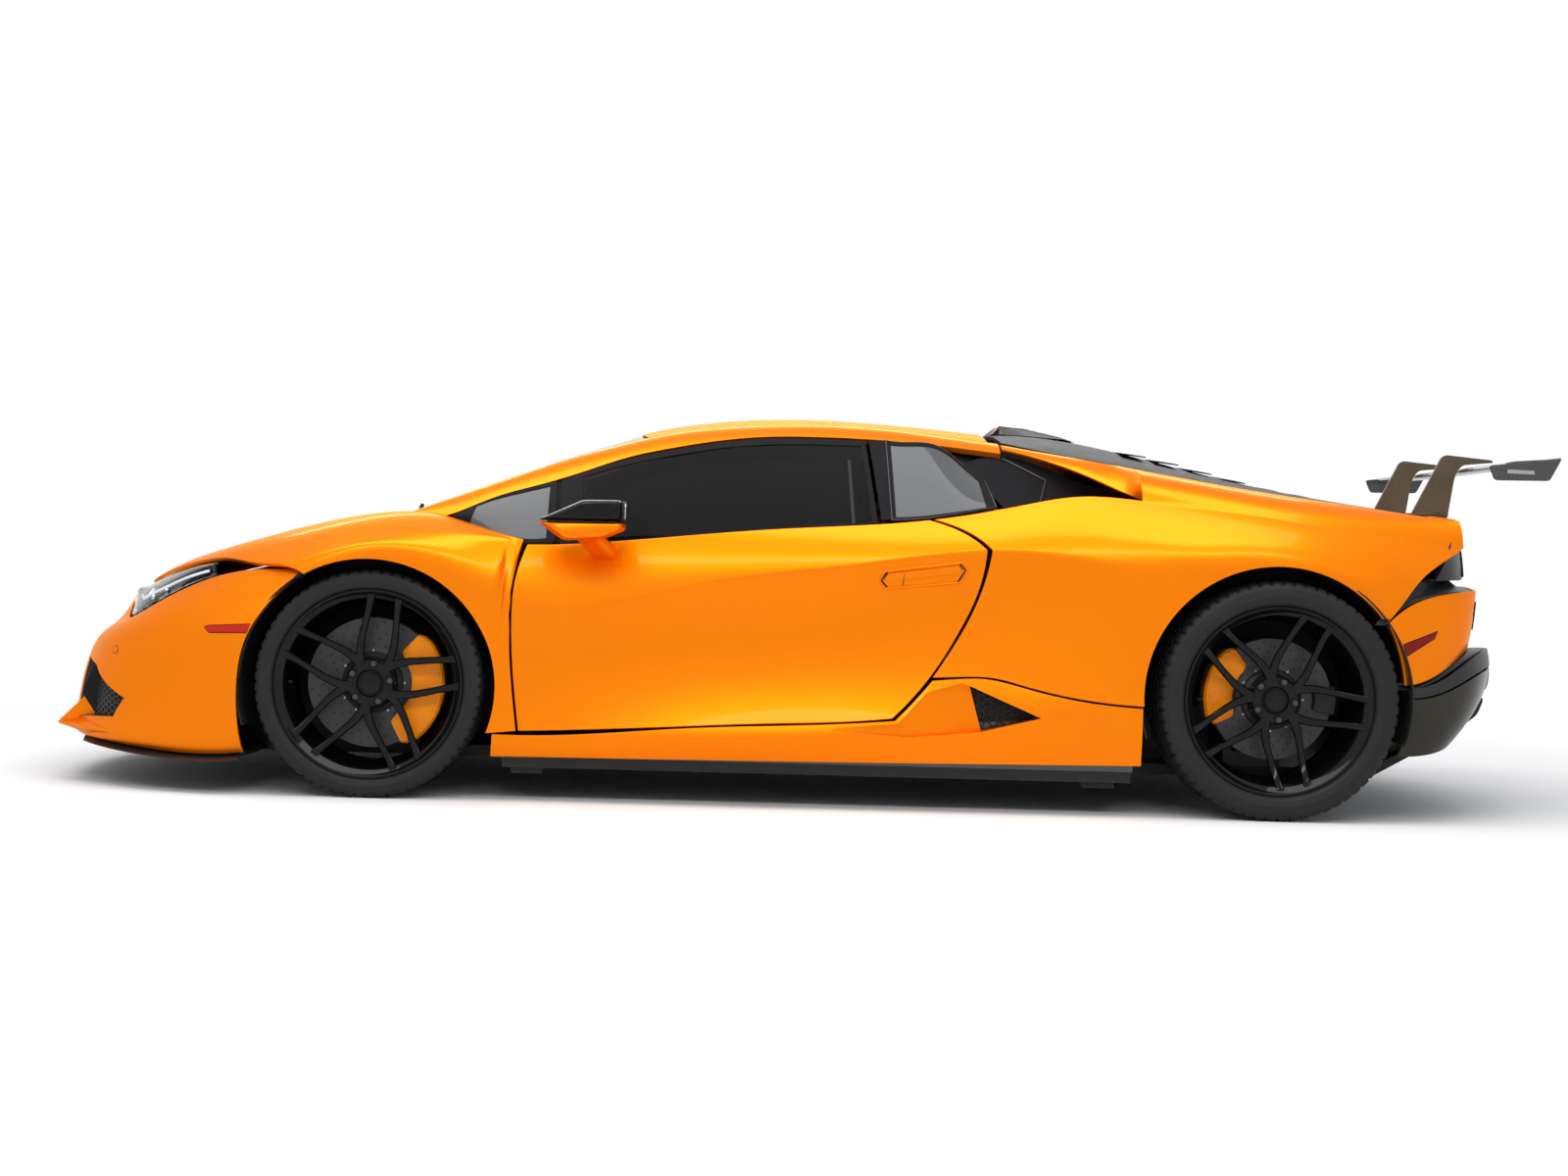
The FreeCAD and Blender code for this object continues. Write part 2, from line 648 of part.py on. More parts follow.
screenSide = [(1172, 690, 822), (1040, 658, 873), (900, 630, 927), (760, 606, 980), (620, 580, 1027), (470, 550, 1068)]
screenCentre = [(1262, 812), (1130, 862), (975, 921), (815, 982), (660, 1041), (512, 1096)]
outer, inner = spanPanel(screenSide, screenCentre, dim("glass_thickness"), 6)
windscreen = slab([(outer, inner, "btlr")])
addShape("windscreen", windscreen)

roofSide = [(462, 549, 1074), (350, 536, 1097), (172, 516, 1119), (-66, 511, 1128), (-305, 516, 1117), (-566, 538, 1087)]
roofCentre = [(503, 1100), (380, 1131), (200, 1155), (0, 1164), (-250, 1157), (-566, 1133)]
outer, inner = spanPanel(roofSide, roofCentre, dim("roof_thickness"), 4)
roof = slab([(outer, inner, "btlr")])
for middleY in (-300, 300):
    fork = hingeFork(LID_HINGE, ((-6, -6), (26, -8), (26, 6), (-4, 6), (-8, 0)), middleY)
    roof = roof.fuse(fork)
addShape("roof", roof)

RAIL_OUTER = [(1169, 698, 808), (1040, 738, 822), (921, 722, 873), (719, 692, 937), (521, 662, 1008), (352, 642, 1048),
              (171, 630, 1077), (-64, 622, 1086), (-300, 627, 1078), (-534, 642, 1056), (-594, 650, 1049)]
RAIL_INNER = [(1176, 694, 822), (1044, 662, 873), (930, 640, 917), (745, 606, 985), (560, 572, 1045), (420, 548, 1083),
              (172, 520, 1119), (-66, 515, 1128), (-305, 520, 1117), (-543, 538, 1089), (-594, 545, 1083)]
lower = resample(RAIL_OUTER, 14)
upper = resample(RAIL_INNER, 14)
outer = []
inner = []
for j in range(4):
    share = j / 3.0
    outerRow = []
    innerRow = []
    for a, b in zip(lower, upper):
        p = V(*a) + (V(*b) - V(*a)) * share + V(0, 5, 6) * (4 * share * (1 - share))
        outerRow.append(placed(p.x, p.y, p.z))
        innerRow.append(placed(p.x, p.y - 15, p.z - 17))
    outer.append(outerRow)
    inner.append(innerRow)
rail = trimmed(slab([(outer, inner, "btlr")]), fender, roof, windscreen)
addTwins("roof_rails", rail)

lidSide = [(-608, 538, 1086), (-833, 580, 1044), (-1126, 622, 995), (-1415, 672, 948), (-1700, 708, 911), (-1860, 720, 893)]
lidCentre = [(-602, 1130), (-833, 1122), (-1126, 1062), (-1415, 992), (-1700, 938), (-1890, 908)]
outer, inner = spanPanel(lidSide, lidCentre, 20, 0)
engineLid = slab([(outer, inner, "btlr")])
for middleY in (-300, 300):
    engineLid = engineLid.fuse(hingeEye(LID_HINGE, (-30, 2), middleY))
SCOOP_SECTIONS = [(-612, 0.1, 215, 150), (-640, 1.0, 232, 150), (-720, 0.86, 226, 140), (-840, 0.24, 190, 110),
                  (-880, 0.1, 170, 100)]
LID_FALL = (lidCentre[0][1] - lidCentre[1][1]) / float(lidCentre[0][0] - lidCentre[1][0])
scoopWires = []
for x, share, baseHalf, topHalf in SCOOP_SECTIONS:
    deckZ = lidCentre[0][1] + (x - lidCentre[0][0]) * LID_FALL
    low = placed(x, 0, deckZ - 12)
    high = low.z + 10 + share * dim("scoop_height")
    scoopWires.append(Part.makePolygon([V(low.x, -baseHalf, low.z), V(low.x, -topHalf, high), V(low.x, topHalf, high),
                                        V(low.x, baseHalf, low.z), V(low.x, -baseHalf, low.z)]))
engineLid = engineLid.fuse(Part.makeLoft(scoopWires, True, True))
addShape("engine_lid", engineLid)


# Side glass, three panes a side
def pane(corners, count=7, thickness=None, bow=10):
    thickness = thickness or dim("glass_thickness")
    bottom, top = corners
    low = resample(bottom, count)
    high = resample(top, count)
    outer = []
    inner = []
    for j in range(4):
        share = j / 3.0
        outerRow = []
        innerRow = []
        for a, b in zip(low, high):
            p = V(*a) + (V(*b) - V(*a)) * share + V(0, bow, 0) * (4 * share * (1 - share))
            outerRow.append(placed(p.x, p.y, p.z))
            innerRow.append(placed(p.x, p.y - thickness, p.z - 0.4 * thickness))
        outer.append(outerRow)
        inner.append(innerRow)
    return slab([(outer, inner, "btlr")])


railEdge = Line(*RAIL_OUTER)


def underRail(stations, clearance):
    edge = []
    for x in stations:
        y, z = railEdge.at(x)
        edge.append((x, y + 0.7 * clearance, z - 0.7 * clearance))
    return edge


doorPane = pane(([(700, 870, 735), (484, 868, 748), (50, 860, 793), (-225, 848, 815)],
                 underRail((712, 521, 352, 171, -64, -190), gap + 5)), 8)
doorPane = trimmed(doorPane, door)
addPair("door_glass", doorPane)
frontPane = pane(([(1034, 750, 810), (930, 806, 777), (800, 868, 744), (716, 866, 752)],
                  underRail((1010, 960, 921, 870, 820, 770, 724), 4.0)), 7)
rearPane = pane(([(-262, 846, 838), (-371, 842, 846), (-480, 835, 866), (-570, 826, 884)],
                 underRail((-250, -330, -400), 0.3) + [(-470, 655, 1020), (-545, 715, 962)]), 6)
frontPane = trimmed(frontPane, fender)
rearPane = trimmed(rearPane, quarter, rail)
addTwins("quarter_windows", frontPane, rearPane)

# Black pillar strips beside the doors, and the intake panels that lead in behind the rear quarter glass
pillarStrip = pane(([(-234, 841, 838), (-262, 840, 841), (-292, 838, 844)],
                    underRail((-200, -225, -248), 2.0)), 4, 9, 6)
ductPanel = pane(([(-592, 816, 884), (-690, 770, 893), (-800, 690, 893), (-915, 600, 884)],
                  [(-476, 648, 1012), (-600, 634, 1040), (-760, 620, 1000), (-915, 580, 945)]), 7, 8, 0)
grilleThickness = dim("grille_thickness")
skirtGrille = prismY([(placeX(x), z) for x, z in ((-470, 376), (-712, 278), (-522, 222))], 882 - grilleThickness, 900)


# Sketched bodies and primitives, with their sizes bound to the sheet
def makeBody(name):
    body = doc.addObject("PartDesign::Body", name)
    body.Label = name
    parts[name] = body
    return body


def originOf(body, role):
    return [f for f in body.Origin.OriginFeatures if f.Role == role][0]


def newSketch(body, role, name, offset=None):
    sketch = body.newObject("Sketcher::SketchObject", name)
    sketch.AttachmentSupport = [(originOf(body, role), "")]
    sketch.MapMode = "FlatFace"
    if offset is not None:
        sketch.AttachmentOffset = offset
    return sketch


def outline(sketch, points):
    values = [(sketch.evalExpression(a), sketch.evalExpression(b)) for a, b in points]
    values = [(float(getattr(a, "Value", a)), float(getattr(b, "Value", b))) for a, b in values]
    first = len(sketch.Geometry)
    count = len(points)
    for i in range(count):
        a, b = values[i], values[(i + 1) % count]
        sketch.addGeometry(Part.LineSegment(V(a[0], a[1], 0), V(b[0], b[1], 0)), False)
    for i in range(count):
        sketch.addConstraint(Sketcher.Constraint("Coincident", first + i, 2, first + (i + 1) % count, 1))
    for i, (a, b) in enumerate(points):
        for kind, value, expression in (("DistanceX", values[i][0], a), ("DistanceY", values[i][1], b)):
            index = sketch.addConstraint(Sketcher.Constraint(kind, -1, 1, first + i, 1, value))
            sketch.setExpression("Constraints[%d]" % index, expression)


def circle(sketch, x, y, radius):
    values = [float(getattr(sketch.evalExpression(e), "Value", sketch.evalExpression(e))) for e in (x, y, radius)]
    geo = sketch.addGeometry(Part.Circle(V(values[0], values[1], 0), V(0, 0, 1), values[2]), False)
    for kind, value, expression in (("DistanceX", values[0], x), ("DistanceY", values[1], y)):
        index = sketch.addConstraint(Sketcher.Constraint(kind, -1, 1, geo, 3, value))
        sketch.setExpression("Constraints[%d]" % index, expression)
    index = sketch.addConstraint(Sketcher.Constraint("Radius", geo, values[2]))
    sketch.setExpression("Constraints[%d]" % index, radius)


def revolve(body, sketch, name, axis="H_Axis"):
    feature = body.newObject("PartDesign::Revolution", name)
    feature.Profile = sketch
    feature.ReferenceAxis = (sketch, [axis])
    feature.Angle = 360
    sketch.Visibility = False
    return feature


def groove(body, sketch, name, axis="H_Axis"):
    feature = body.newObject("PartDesign::Groove", name)
    feature.Profile = sketch
    feature.ReferenceAxis = (sketch, [axis])
    feature.Angle = 360
    sketch.Visibility = False
    return feature


def pad(body, sketch, name, length, symmetric=False):
    feature = body.newObject("PartDesign::Pad", name)
    feature.Profile = sketch
    feature.setExpression("Length", length)
    if symmetric:
        feature.SideType = "Symmetric"
    return feature


def polar(body, feature, name, axis, count):
    pattern = body.newObject("PartDesign::PolarPattern", name)
    pattern.Originals = [feature]
    pattern.Axis = (originOf(body, axis), [""])
    pattern.Angle = 360
    pattern.setExpression("Occurrences", count)
    body.Tip = pattern
    return pattern


def moveTo(obj, x, y, z):
    obj.setExpression("Placement.Base.x", x)
    obj.setExpression("Placement.Base.y", y)
    obj.setExpression("Placement.Base.z", z)


def mirrorOf(source, name, node=True):
    twin = doc.addObject("Part::Mirroring", name)
    twin.Source = source
    twin.Normal = V(0, 1, 0)
    twin.Label = name
    if node:
        parts[name] = twin
    return twin


def primitive(kind, name, **sizes):
    obj = doc.addObject("Part::" + kind, name)
    for key, value in sizes.items():
        obj.setExpression(key, value)
    return obj


def fuse(name, pieces, node=True):
    obj = doc.addObject("Part::MultiFuse", name)
    obj.Shapes = pieces
    obj.Label = name
    if node:
        parts[name] = obj
    return obj


def cut(name, base, tool, node=True):
    obj = doc.addObject("Part::Cut", name)
    obj.Base = base
    obj.Tool = tool
    obj.Label = name
    if node:
        parts[name] = obj
    return obj


AXLES = {
    "front": ("Dims.front_axle_x", "Dims.front_track / 2", "Dims.front_tyre_radius", "Dims.front_tyre_width"),
    "rear": ("Dims.front_axle_x - Dims.wheelbase", "Dims.rear_track / 2", "Dims.rear_tyre_radius",
             "Dims.rear_tyre_width"),
}


# Corners of one spoke arm: radius and turn from the middle of its pair, from the rim to the hub and back
SPOKE_CORNERS = [("Dims.rim_radius - 15", 11.5), ("135", 23.5), ("46", 50), ("46", 22), ("135", 16.5),
                 ("Dims.rim_radius - 15", 6.5)]


def spokePoint(pairAngle, side, radius, turn):
    angle = pairAngle + side * turn
    return "-(%s) * cos(%.2f)" % (radius, angle), "(%s) * sin(%.2f)" % (radius, angle)


def makeWheel(axle, recess, pairAngle, discRadius, discOffset):
    wheelX, wheelY, wheelZ, width = AXLES[axle]
    tyre = makeBody(axle + "_tyre_left")
    sketch = newSketch(tyre, "YZ_Plane", axle + "_tyre_profile")
    bead = "Dims.rim_radius + 0.3"
    outline(sketch, [
        ("-0.44 * " + width, bead),
        ("0.44 * " + width, bead),
        ("0.5 * " + width, "Dims.rim_radius + 0.45 * (%s - Dims.rim_radius)" % wheelZ),
        ("0.47 * " + width, wheelZ + " - 13"),
        ("0.4 * " + width, wheelZ),
        ("-0.4 * " + width, wheelZ),
        ("-0.47 * " + width, wheelZ + " - 13"),
        ("-0.5 * " + width, "Dims.rim_radius + 0.45 * (%s - Dims.rim_radius)" % wheelZ),
    ])
    revolve(tyre, sketch, axle + "_tyre_ring")
    moveTo(tyre, wheelX, wheelY, wheelZ)

    rim = makeBody(axle + "_rim_left")
    lip = "0.44 * " + width
    wall = "Dims.rim_wall"
    hubFace = "%s - %d" % (lip, recess)
    sketch = newSketch(rim, "YZ_Plane", axle + "_hub_profile")
    outline(sketch, [
        (hubFace + " - 42", "30"),
        (hubFace + " - 42", "Dims.hub_radius + 6"),
        (hubFace + " - 6", "Dims.hub_radius"),
        (hubFace, "Dims.hub_radius - 14"),
        (hubFace, "30"),
    ])
    revolve(rim, sketch, axle + "_hub")
    facePlane = FreeCAD.Placement(V(0, 0, 0), FreeCAD.Rotation())
    arms = []
    for side in (-1, 1):
        sketch = newSketch(rim, "XZ_Plane", axle + "_spoke_plan_%s" % ("lead" if side < 0 else "trail"), facePlane)
        sketch.setExpression("AttachmentOffset.Base.z", "-(%s - 6)" % lip)
        outline(sketch, [spokePoint(pairAngle, side, *corner) for corner in SPOKE_CORNERS])
        arms.append(pad(rim, sketch, sketch.Name.replace("plan", "arm"), "%d + Dims.spoke_depth" % (recess + 4)))
    spokes = polar(rim, arms[0], axle + "_spokes", "Y_Axis", "Dims.spoke_pairs")
    spokes.Originals = arms
    for name, points in (
        ("face", [(hubFace, "54"), (hubFace + " + 1", "130"), (hubFace + " + %d" % (recess / 2), "225"),
                  (lip + " - 7", "256"), (lip + " + 30", "256"), (lip + " + 30", "54")]),
        ("back", [(hubFace + " - Dims.spoke_depth - 8", "77"), (hubFace + " - Dims.spoke_depth", "140"),
                  (lip + " - 34", "256"), ("-0.2 * " + width, "256"), ("-0.2 * " + width, "77")]),
    ):
        sketch = newSketch(rim, "YZ_Plane", axle + "_spoke_%s_profile" % name)
        outline(sketch, points)
        groove(rim, sketch, axle + "_spoke_" + name)
    sketch = newSketch(rim, "YZ_Plane", axle + "_barrel_profile")
    outline(sketch, [
        (lip, "Dims.rim_radius"),
        (lip + " - 8", "Dims.rim_radius"),
        (lip + " - 12", "Dims.rim_radius - 17"),
        ("0.15 * " + width, "Dims.rim_radius - 20"),
        ("0.02 * " + width, "Dims.rim_radius - 36"),
        ("-0.32 * " + width, "Dims.rim_radius - 36"),
        ("-0.38 * " + width, "Dims.rim_radius - 17"),
        ("8 - " + lip, "Dims.rim_radius - 15"),
        ("8 - " + lip, "Dims.rim_radius"),
        ("-1 * " + lip, "Dims.rim_radius"),
        ("-1 * " + lip, "Dims.rim_radius - 15 - " + wall),
        ("-0.36 * " + width, "Dims.rim_radius - 17 - " + wall),
        ("-0.30 * " + width, "Dims.rim_radius - 36 - " + wall),
        ("0.01 * " + width, "Dims.rim_radius - 36 - " + wall),
        ("0.14 * " + width, "Dims.rim_radius - 20 - " + wall),
        (lip + " - 14", "Dims.rim_radius - 17 - " + wall),
        (lip, "Dims.rim_radius - 8"),
    ])
    revolve(rim, sketch, axle + "_barrel")
    sketch = newSketch(rim, "YZ_Plane", axle + "_cap_profile")
    outline(sketch, [
        (hubFace + " - 12", "0"),
        (hubFace + " - 12", "31"),
        (hubFace + " + 5", "31"),
        (hubFace + " + 8", "27"),
        (hubFace + " + 8", "0"),
    ])
    revolve(rim, sketch, axle + "_cap")
    moveTo(rim, wheelX, wheelY, wheelZ)

    disc = makeBody(axle + "_disc_left")
    sketch = newSketch(disc, "YZ_Plane", axle + "_disc_profile")
    outline(sketch, [
        ("%s - Dims.disc_thickness / 2" % discOffset, "95"),
        ("%s - Dims.disc_thickness / 2" % discOffset, discRadius),
        ("%s + Dims.disc_thickness / 2" % discOffset, discRadius),
        ("%s + Dims.disc_thickness / 2" % discOffset, "95"),
        (hubFace + " - 54", "88"),
        (hubFace + " - 42.3", "74"),
        (hubFace + " - 42.3", "36"),
        (hubFace + " - 50", "36"),
        (hubFace + " - 62", "80"),
    ])
    revolve(disc, sketch, axle + "_rotor")
    moveTo(disc, wheelX, wheelY, wheelZ)
    for left in (tyre, rim, disc):
        mirrorOf(left, left.Label.replace("_left", "_right"))


makeWheel("front", 36, 80.6, "Dims.front_disc_radius", "-5")
makeWheel("rear", 56, 65.4, "Dims.rear_disc_radius", "-5")


# Hub carriers with their calipers
def rotorAxis(degrees):
    return FreeCAD.Rotation(V(1, 0, 0), -90).multiply(FreeCAD.Rotation(V(0, 0, 1), degrees))


def alongY(obj, x, y, z, degrees=0.0):
    obj.Placement = FreeCAD.Placement(V(0, 0, 0), rotorAxis(degrees))
    moveTo(obj, x, y, z)


# Where each caliper starts round its disc and how far it reaches, in degrees
CALIPER_SPANS = {"front": (117, "110"), "rear": (308, "77")}


def makeCarrier(axle, discRadius, side):
    wheelX, wheelY, wheelZ, width = AXLES[axle]
    hubFace = "0.44 * %s - %d" % (width, 36 if axle == "front" else 56)
    bearing = primitive("Cylinder", axle + "_bearing", Radius="60", Height="65")
    alongY(bearing, wheelX, wheelY + " - 60", wheelZ)
    spindle = primitive("Cylinder", axle + "_spindle", Radius="29.7", Height=hubFace + " - 12.3 + 20")
    alongY(spindle, wheelX, wheelY + " - 20", wheelZ)
    upright = primitive("Box", axle + "_upright", Length="64", Width="24", Height="300")
    moveTo(upright, wheelX + " - 32", wheelY + " - 52", wheelZ + " - 150")
    bracket = primitive("Box", axle + "_bracket", Length="105", Width="9", Height="90")
    moveTo(bracket, wheelX + (" - 135" if side < 0 else " + 30"), wheelY + " - 52", wheelZ + " - 45")
    carrier = fuse(axle + "_knuckle_left", [bearing, spindle, upright, bracket], side < 0)

    start, spanAngle = CALIPER_SPANS[axle]
    block = primitive("Cylinder", axle + "_caliper_block", Radius="Dims.%s_disc_radius + 22" % axle, Height="76",
                      Angle=spanAngle)
    alongY(block, wheelX, wheelY + " - 43", wheelZ, start)
    bore = primitive("Cylinder", axle + "_caliper_bore", Radius="113", Height="90")
    alongY(bore, wheelX, wheelY + " - 50", wheelZ)
    slot = primitive("Cylinder", axle + "_caliper_slot", Radius=discRadius + " + 6", Height="Dims.disc_thickness + 10")
    alongY(slot, wheelX, wheelY + " - 5 - Dims.disc_thickness / 2 - 5", wheelZ)
    tools = fuse(axle + "_caliper_tools", [bore, slot], False)
    caliper = cut(axle + "_caliper_left", block, tools, side < 0)
    for piece, plural in ((carrier, "_knuckles"), (caliper, "_calipers")):
        twin = mirrorOf(piece, piece.Label.replace("_left", "_right"), side < 0)
        if side > 0:
            both = doc.addObject("Part::Compound", axle + plural)
            both.Links = [piece, twin]
            both.Label = axle + plural
            parts[both.Label] = both


makeCarrier("front", "Dims.front_disc_radius", -1)
makeCarrier("rear", "Dims.rear_disc_radius", 1)


def rod(start, end, radius):
    a = V(*start)
    b = V(*end)
    return Part.makeCylinder(radius, (b - a).Length, a, b - a)


def makeLinks(axle, inboard):
    x = frontX if axle == "front" else rearX
    track = dim(axle + "_track")
    hubZ = frontHub if axle == "front" else rearHub
    jointY = track / 2.0 - 40.0
    shapes = []
    for sign, height in ((1, 150.3), (-1, 150.3)):
        z = hubZ + sign * (height + (0 if sign > 0 else 14))
        eye = Part.makeCylinder(11.5, 14, V(x, jointY, z))
        middle = z + 7
        for foot in (-60, 60):
            eye = eye.fuse(rod((x, jointY, middle), (x + foot, inboard - 20, middle + sign * 12), 6))
        shapes.append(eye)
    return shapes


frontTubHalf = 520.0
rearTubHalf = 560.0

# Floor, side beams, front tub, bulkheads and engine
floorZ = dim("floor_height")
floorTop = floorZ + dim("floor_thickness")
floorOutline = [(2120, 0), (2105, 400), (2000, 640), (1880, 790), (1660, 880), (1625, 520), (850, 520), (850, 885),
                (-970, 890), (-975, 560), (-1740, 560), (-1740, 0)]
fullOutline = [(placeX(x), y) for x, y in floorOutline]
fullOutline += [(x, -y) for x, y in fullOutline[-2:0:-1]]
floorShape = prismZ(fullOutline, floorZ, floorTop)
ramp = prismY([(placeX(x), z) for x, z in ((-1735, floorZ), (-1735, floorTop), (-1962, 242), (-1966, 226))], -560, 560)
floorShape = floorShape.fuse(ramp)
addShape("floor_pan", floorShape)
jackPads = []
jackDepth = dim("jack_bore_depth")
for x in (780, -880):
    padBlock = Part.makeBox(90, 60, jackDepth, V(placeX(x) - 45, 810, floorZ - jackDepth))
    jackPads.append(padBlock.cut(Part.makeCylinder(dim("jack_bore_radius"), jackDepth, V(placeX(x), 840, floorZ - jackDepth))))
addTwins("jack_pads", *jackPads)
beam = prismY([(placeX(x), z) for x, z in ((858, floorTop), (858, 180), (-273, 240), (-560, 262), (-975, 285),
                                           (-975, floorTop))], 790, 890)
addTwins("sill_beams", trimmed(beam, skirt))
addTwins("side_trim", trimmed(pillarStrip, rearPane, rail, quarter), trimmed(ductPanel, quarter, rail, rearPane),
         trimmed(skirtGrille, skirt, beam))

tubOuter = prismY([(placeX(x), z) for x, z in ((1165, floorTop), (2020, floorTop), (2020, 440), (1900, 560), (1165, 690))],
                  -frontTubHalf, frontTubHalf)
tubInner = prismY([(placeX(x), z) for x, z in ((1240, 260), (1960, 260), (1960, 900), (1240, 900))], -430, 430)
frontTub = tubOuter.cut(tubInner)

firewall = prismY([(placeX(x), z) for x, z in ((1137, floorTop), (1165, floorTop), (1165, 690), (1137, 690))],
                  -frontTubHalf, frontTubHalf)
subframe = prismY([(placeX(x), z) for x, z in ((-1470, floorTop), (-1300, floorTop), (-1300, 560), (-1470, 560))],
                  dim("engine_width") / 2.0, rearTubHalf)
rearSubframes = [subframe, mirrored(subframe)]
armShapes = [trimmed(arm, frontTub) for arm in makeLinks("front", frontTubHalf)]
armShapes += [trimmed(arm, subframe) for arm in makeLinks("rear", rearTubHalf)]
addTwins("suspension_arms", *armShapes)
rearWall = prismY([(placeX(x), z) for x, z in ((-520, floorTop), (-548, floorTop), (-640, 900), (-612, 900))],
                  -760, 760)
addShape("cabin_bulkheads", Part.Compound([firewall, rearWall]))
addShape("rear_subframe", Part.Compound(rearSubframes))
engine = primitive("Box", "engine_block", Length="Dims.engine_length", Width="Dims.engine_width",
                   Height="Dims.engine_height")
engine.Label = "engine_block"
moveTo(engine, "Dims.front_axle_x - Dims.wheelbase + 60", "-Dims.engine_width / 2",
       "Dims.floor_height + Dims.floor_thickness")
parts["engine_block"] = engine


# Seats, dashboard and steering wheel
def makeSeat():
    body = makeBody("seat_left")
    sketch = newSketch(body, "XZ_Plane", "seat_profile")
    outline(sketch, [
        ("420", "Dims.floor_height + Dims.floor_thickness"),
        ("430", "330"),
        ("380", "352"),
        ("60", "300"),
        ("-40", "330"),
        ("-210", "Dims.roof_height - 405"),
        ("-262", "Dims.roof_height - 235"),
        ("-310", "Dims.roof_height - 235"),
        ("-300", "Dims.roof_height - 425"),
        ("-140", "250"),
        ("-120", "Dims.floor_height + Dims.floor_thickness"),
    ])
    pad(body, sketch, "seat_shell", "Dims.seat_width", True)
    moveTo(body, "0", "Dims.seat_centre", "0")
    twin = mirrorOf(body, "seat_right", False)
    del parts["seat_left"]
    both = doc.addObject("Part::Compound", "seats")
    both.Links = [body, twin]
    both.Label = "seats"
    parts["seats"] = both


makeSeat()
console = prismY([(placeX(x), z) for x, z in ((1000, 500), (1137, 500), (1137, 700), (1000, 770), (760, 760),
                                              (690, 700), (700, 560), (800, 480))], -690, 690)
for side in (1, -1):
    wheelHouse = Part.makeCylinder(frontArch + 9, 400, V(placeX(ARCH_FRONT[0]), side * 540, ARCH_FRONT[1]),
                                   V(0, side, 0))
    console = console.cut(wheelHouse)
tunnel = prismY([(placeX(x), z) for x, z in ((1137, floorTop), (1137, 520), (700, 520), (500, 430), (-480, 400),
                                             (-520, floorTop))], -105, 105)
columnAxis = V(1, 0, -0.42)
columnAxis.normalize()
columnFoot = V(600, dim("seat_centre"), 745) + columnAxis * 70.3
column = Part.makeCylinder(24, 200, columnFoot, columnAxis)
addShape("dashboard", console.fuse([tunnel, column]))
steering = makeBody("steering_wheel")
sketch = newSketch(steering, "XY_Plane", "rim_section")
wheelRadius = "Dims.steering_wheel_radius"
circle(sketch, wheelRadius, "0", "14")
revolve(steering, sketch, "grip", "V_Axis")
sketch = newSketch(steering, "XZ_Plane", "boss_section")
circle(sketch, "0", "0", "55")
pad(steering, sketch, "boss", "70")
sketch = newSketch(steering, "XZ_Plane", "spoke_section")
outline(sketch, [("-1 * " + wheelRadius, "-14"), (wheelRadius, "-14"), (wheelRadius, "14"),
                 ("-1 * " + wheelRadius, "14")])
pad(steering, sketch, "cross_spokes", "12")
steering.Placement = FreeCAD.Placement(V(0, 0, 0), FreeCAD.Rotation(V(0, 0, 1), V(-1, 0, 0.42)).multiply(
    FreeCAD.Rotation(V(1, 0, 0), 90)))
moveTo(steering, "600", "Dims.seat_centre", "745")

# Wing on two swan neck pylons
wing = makeBody("rear_wing")
sketch = newSketch(wing, "XZ_Plane", "wing_section")
outline(sketch, [
    ("-2250 + Dims.wing_chord * 0.74", "Dims.wing_height + 10 - Dims.wing_thickness"),
    ("-2250 + Dims.wing_chord * 0.70", "Dims.wing_height - 4"),
    ("-2250 + Dims.wing_chord * 0.4", "Dims.wing_height + 4"),
    ("-2250", "Dims.wing_height + 12"),
    ("-2250", "Dims.wing_height + 7"),
    ("-2250 + Dims.wing_chord * 0.35", "Dims.wing_height + 10 - Dims.wing_thickness"),
    ("-2250 + Dims.wing_chord * 0.66", "Dims.wing_height + 2 - Dims.wing_thickness"),
])
pad(wing, sketch, "wing_blade", "Dims.wing_span", True)
endOutline = [("-2250", "Dims.wing_height + 12"), ("-2032", "Dims.wing_height - 12"),
              ("-2052", "Dims.wing_height - 58"), ("-2215", "Dims.wing_height - 56")]
for label, side in (("left", 1), ("right", -1)):
    offset = FreeCAD.Placement(V(0, 0, 0), FreeCAD.Rotation())
    sketch = newSketch(wing, "XZ_Plane", "end_plate_section_" + label, offset)
    sketch.setExpression("AttachmentOffset.Base.z", "%d * (Dims.wing_span / 2)" % -side)
    outline(sketch, endOutline)
    pad(wing, sketch, "end_plate_" + label, "12", True)

tailSide = [(-1868, 718, 892), (-1905, 715, 888), (-1935, 700, 884)]
tailCentre = [(-1898, 907), (-1990, 907), (-2075, 898)]
outer, inner = spanPanel(tailSide, tailCentre, 20, 0)
tailDeck = slab([(outer, inner, "btlr")])
addShape("tail_deck", tailDeck)
PYLON_ARM = [(-2072, -22), (-2092, 6), (-2190, 16), (-2180, 24), (-2040, 37), (-2028, 28)]
pylonProfile = [(-1927, placed(0, 0, 894).z), (-2048, placed(0, 0, 894).z)]
pylonProfile += [(x, dim("wing_height") + rise) for x, rise in PYLON_ARM]
pylonHalf = dim("pylon_spacing") / 2.0
pylonThick = dim("pylon_thickness")
onePylon = prismY([(placeX(x), z) for x, z in pylonProfile], pylonHalf - pylonThick / 2, pylonHalf + pylonThick / 2)
doc.recompute()
onePylon = trimmed(onePylon, wing.Shape, tailDeck)
addTwins("wing_pylons", onePylon)


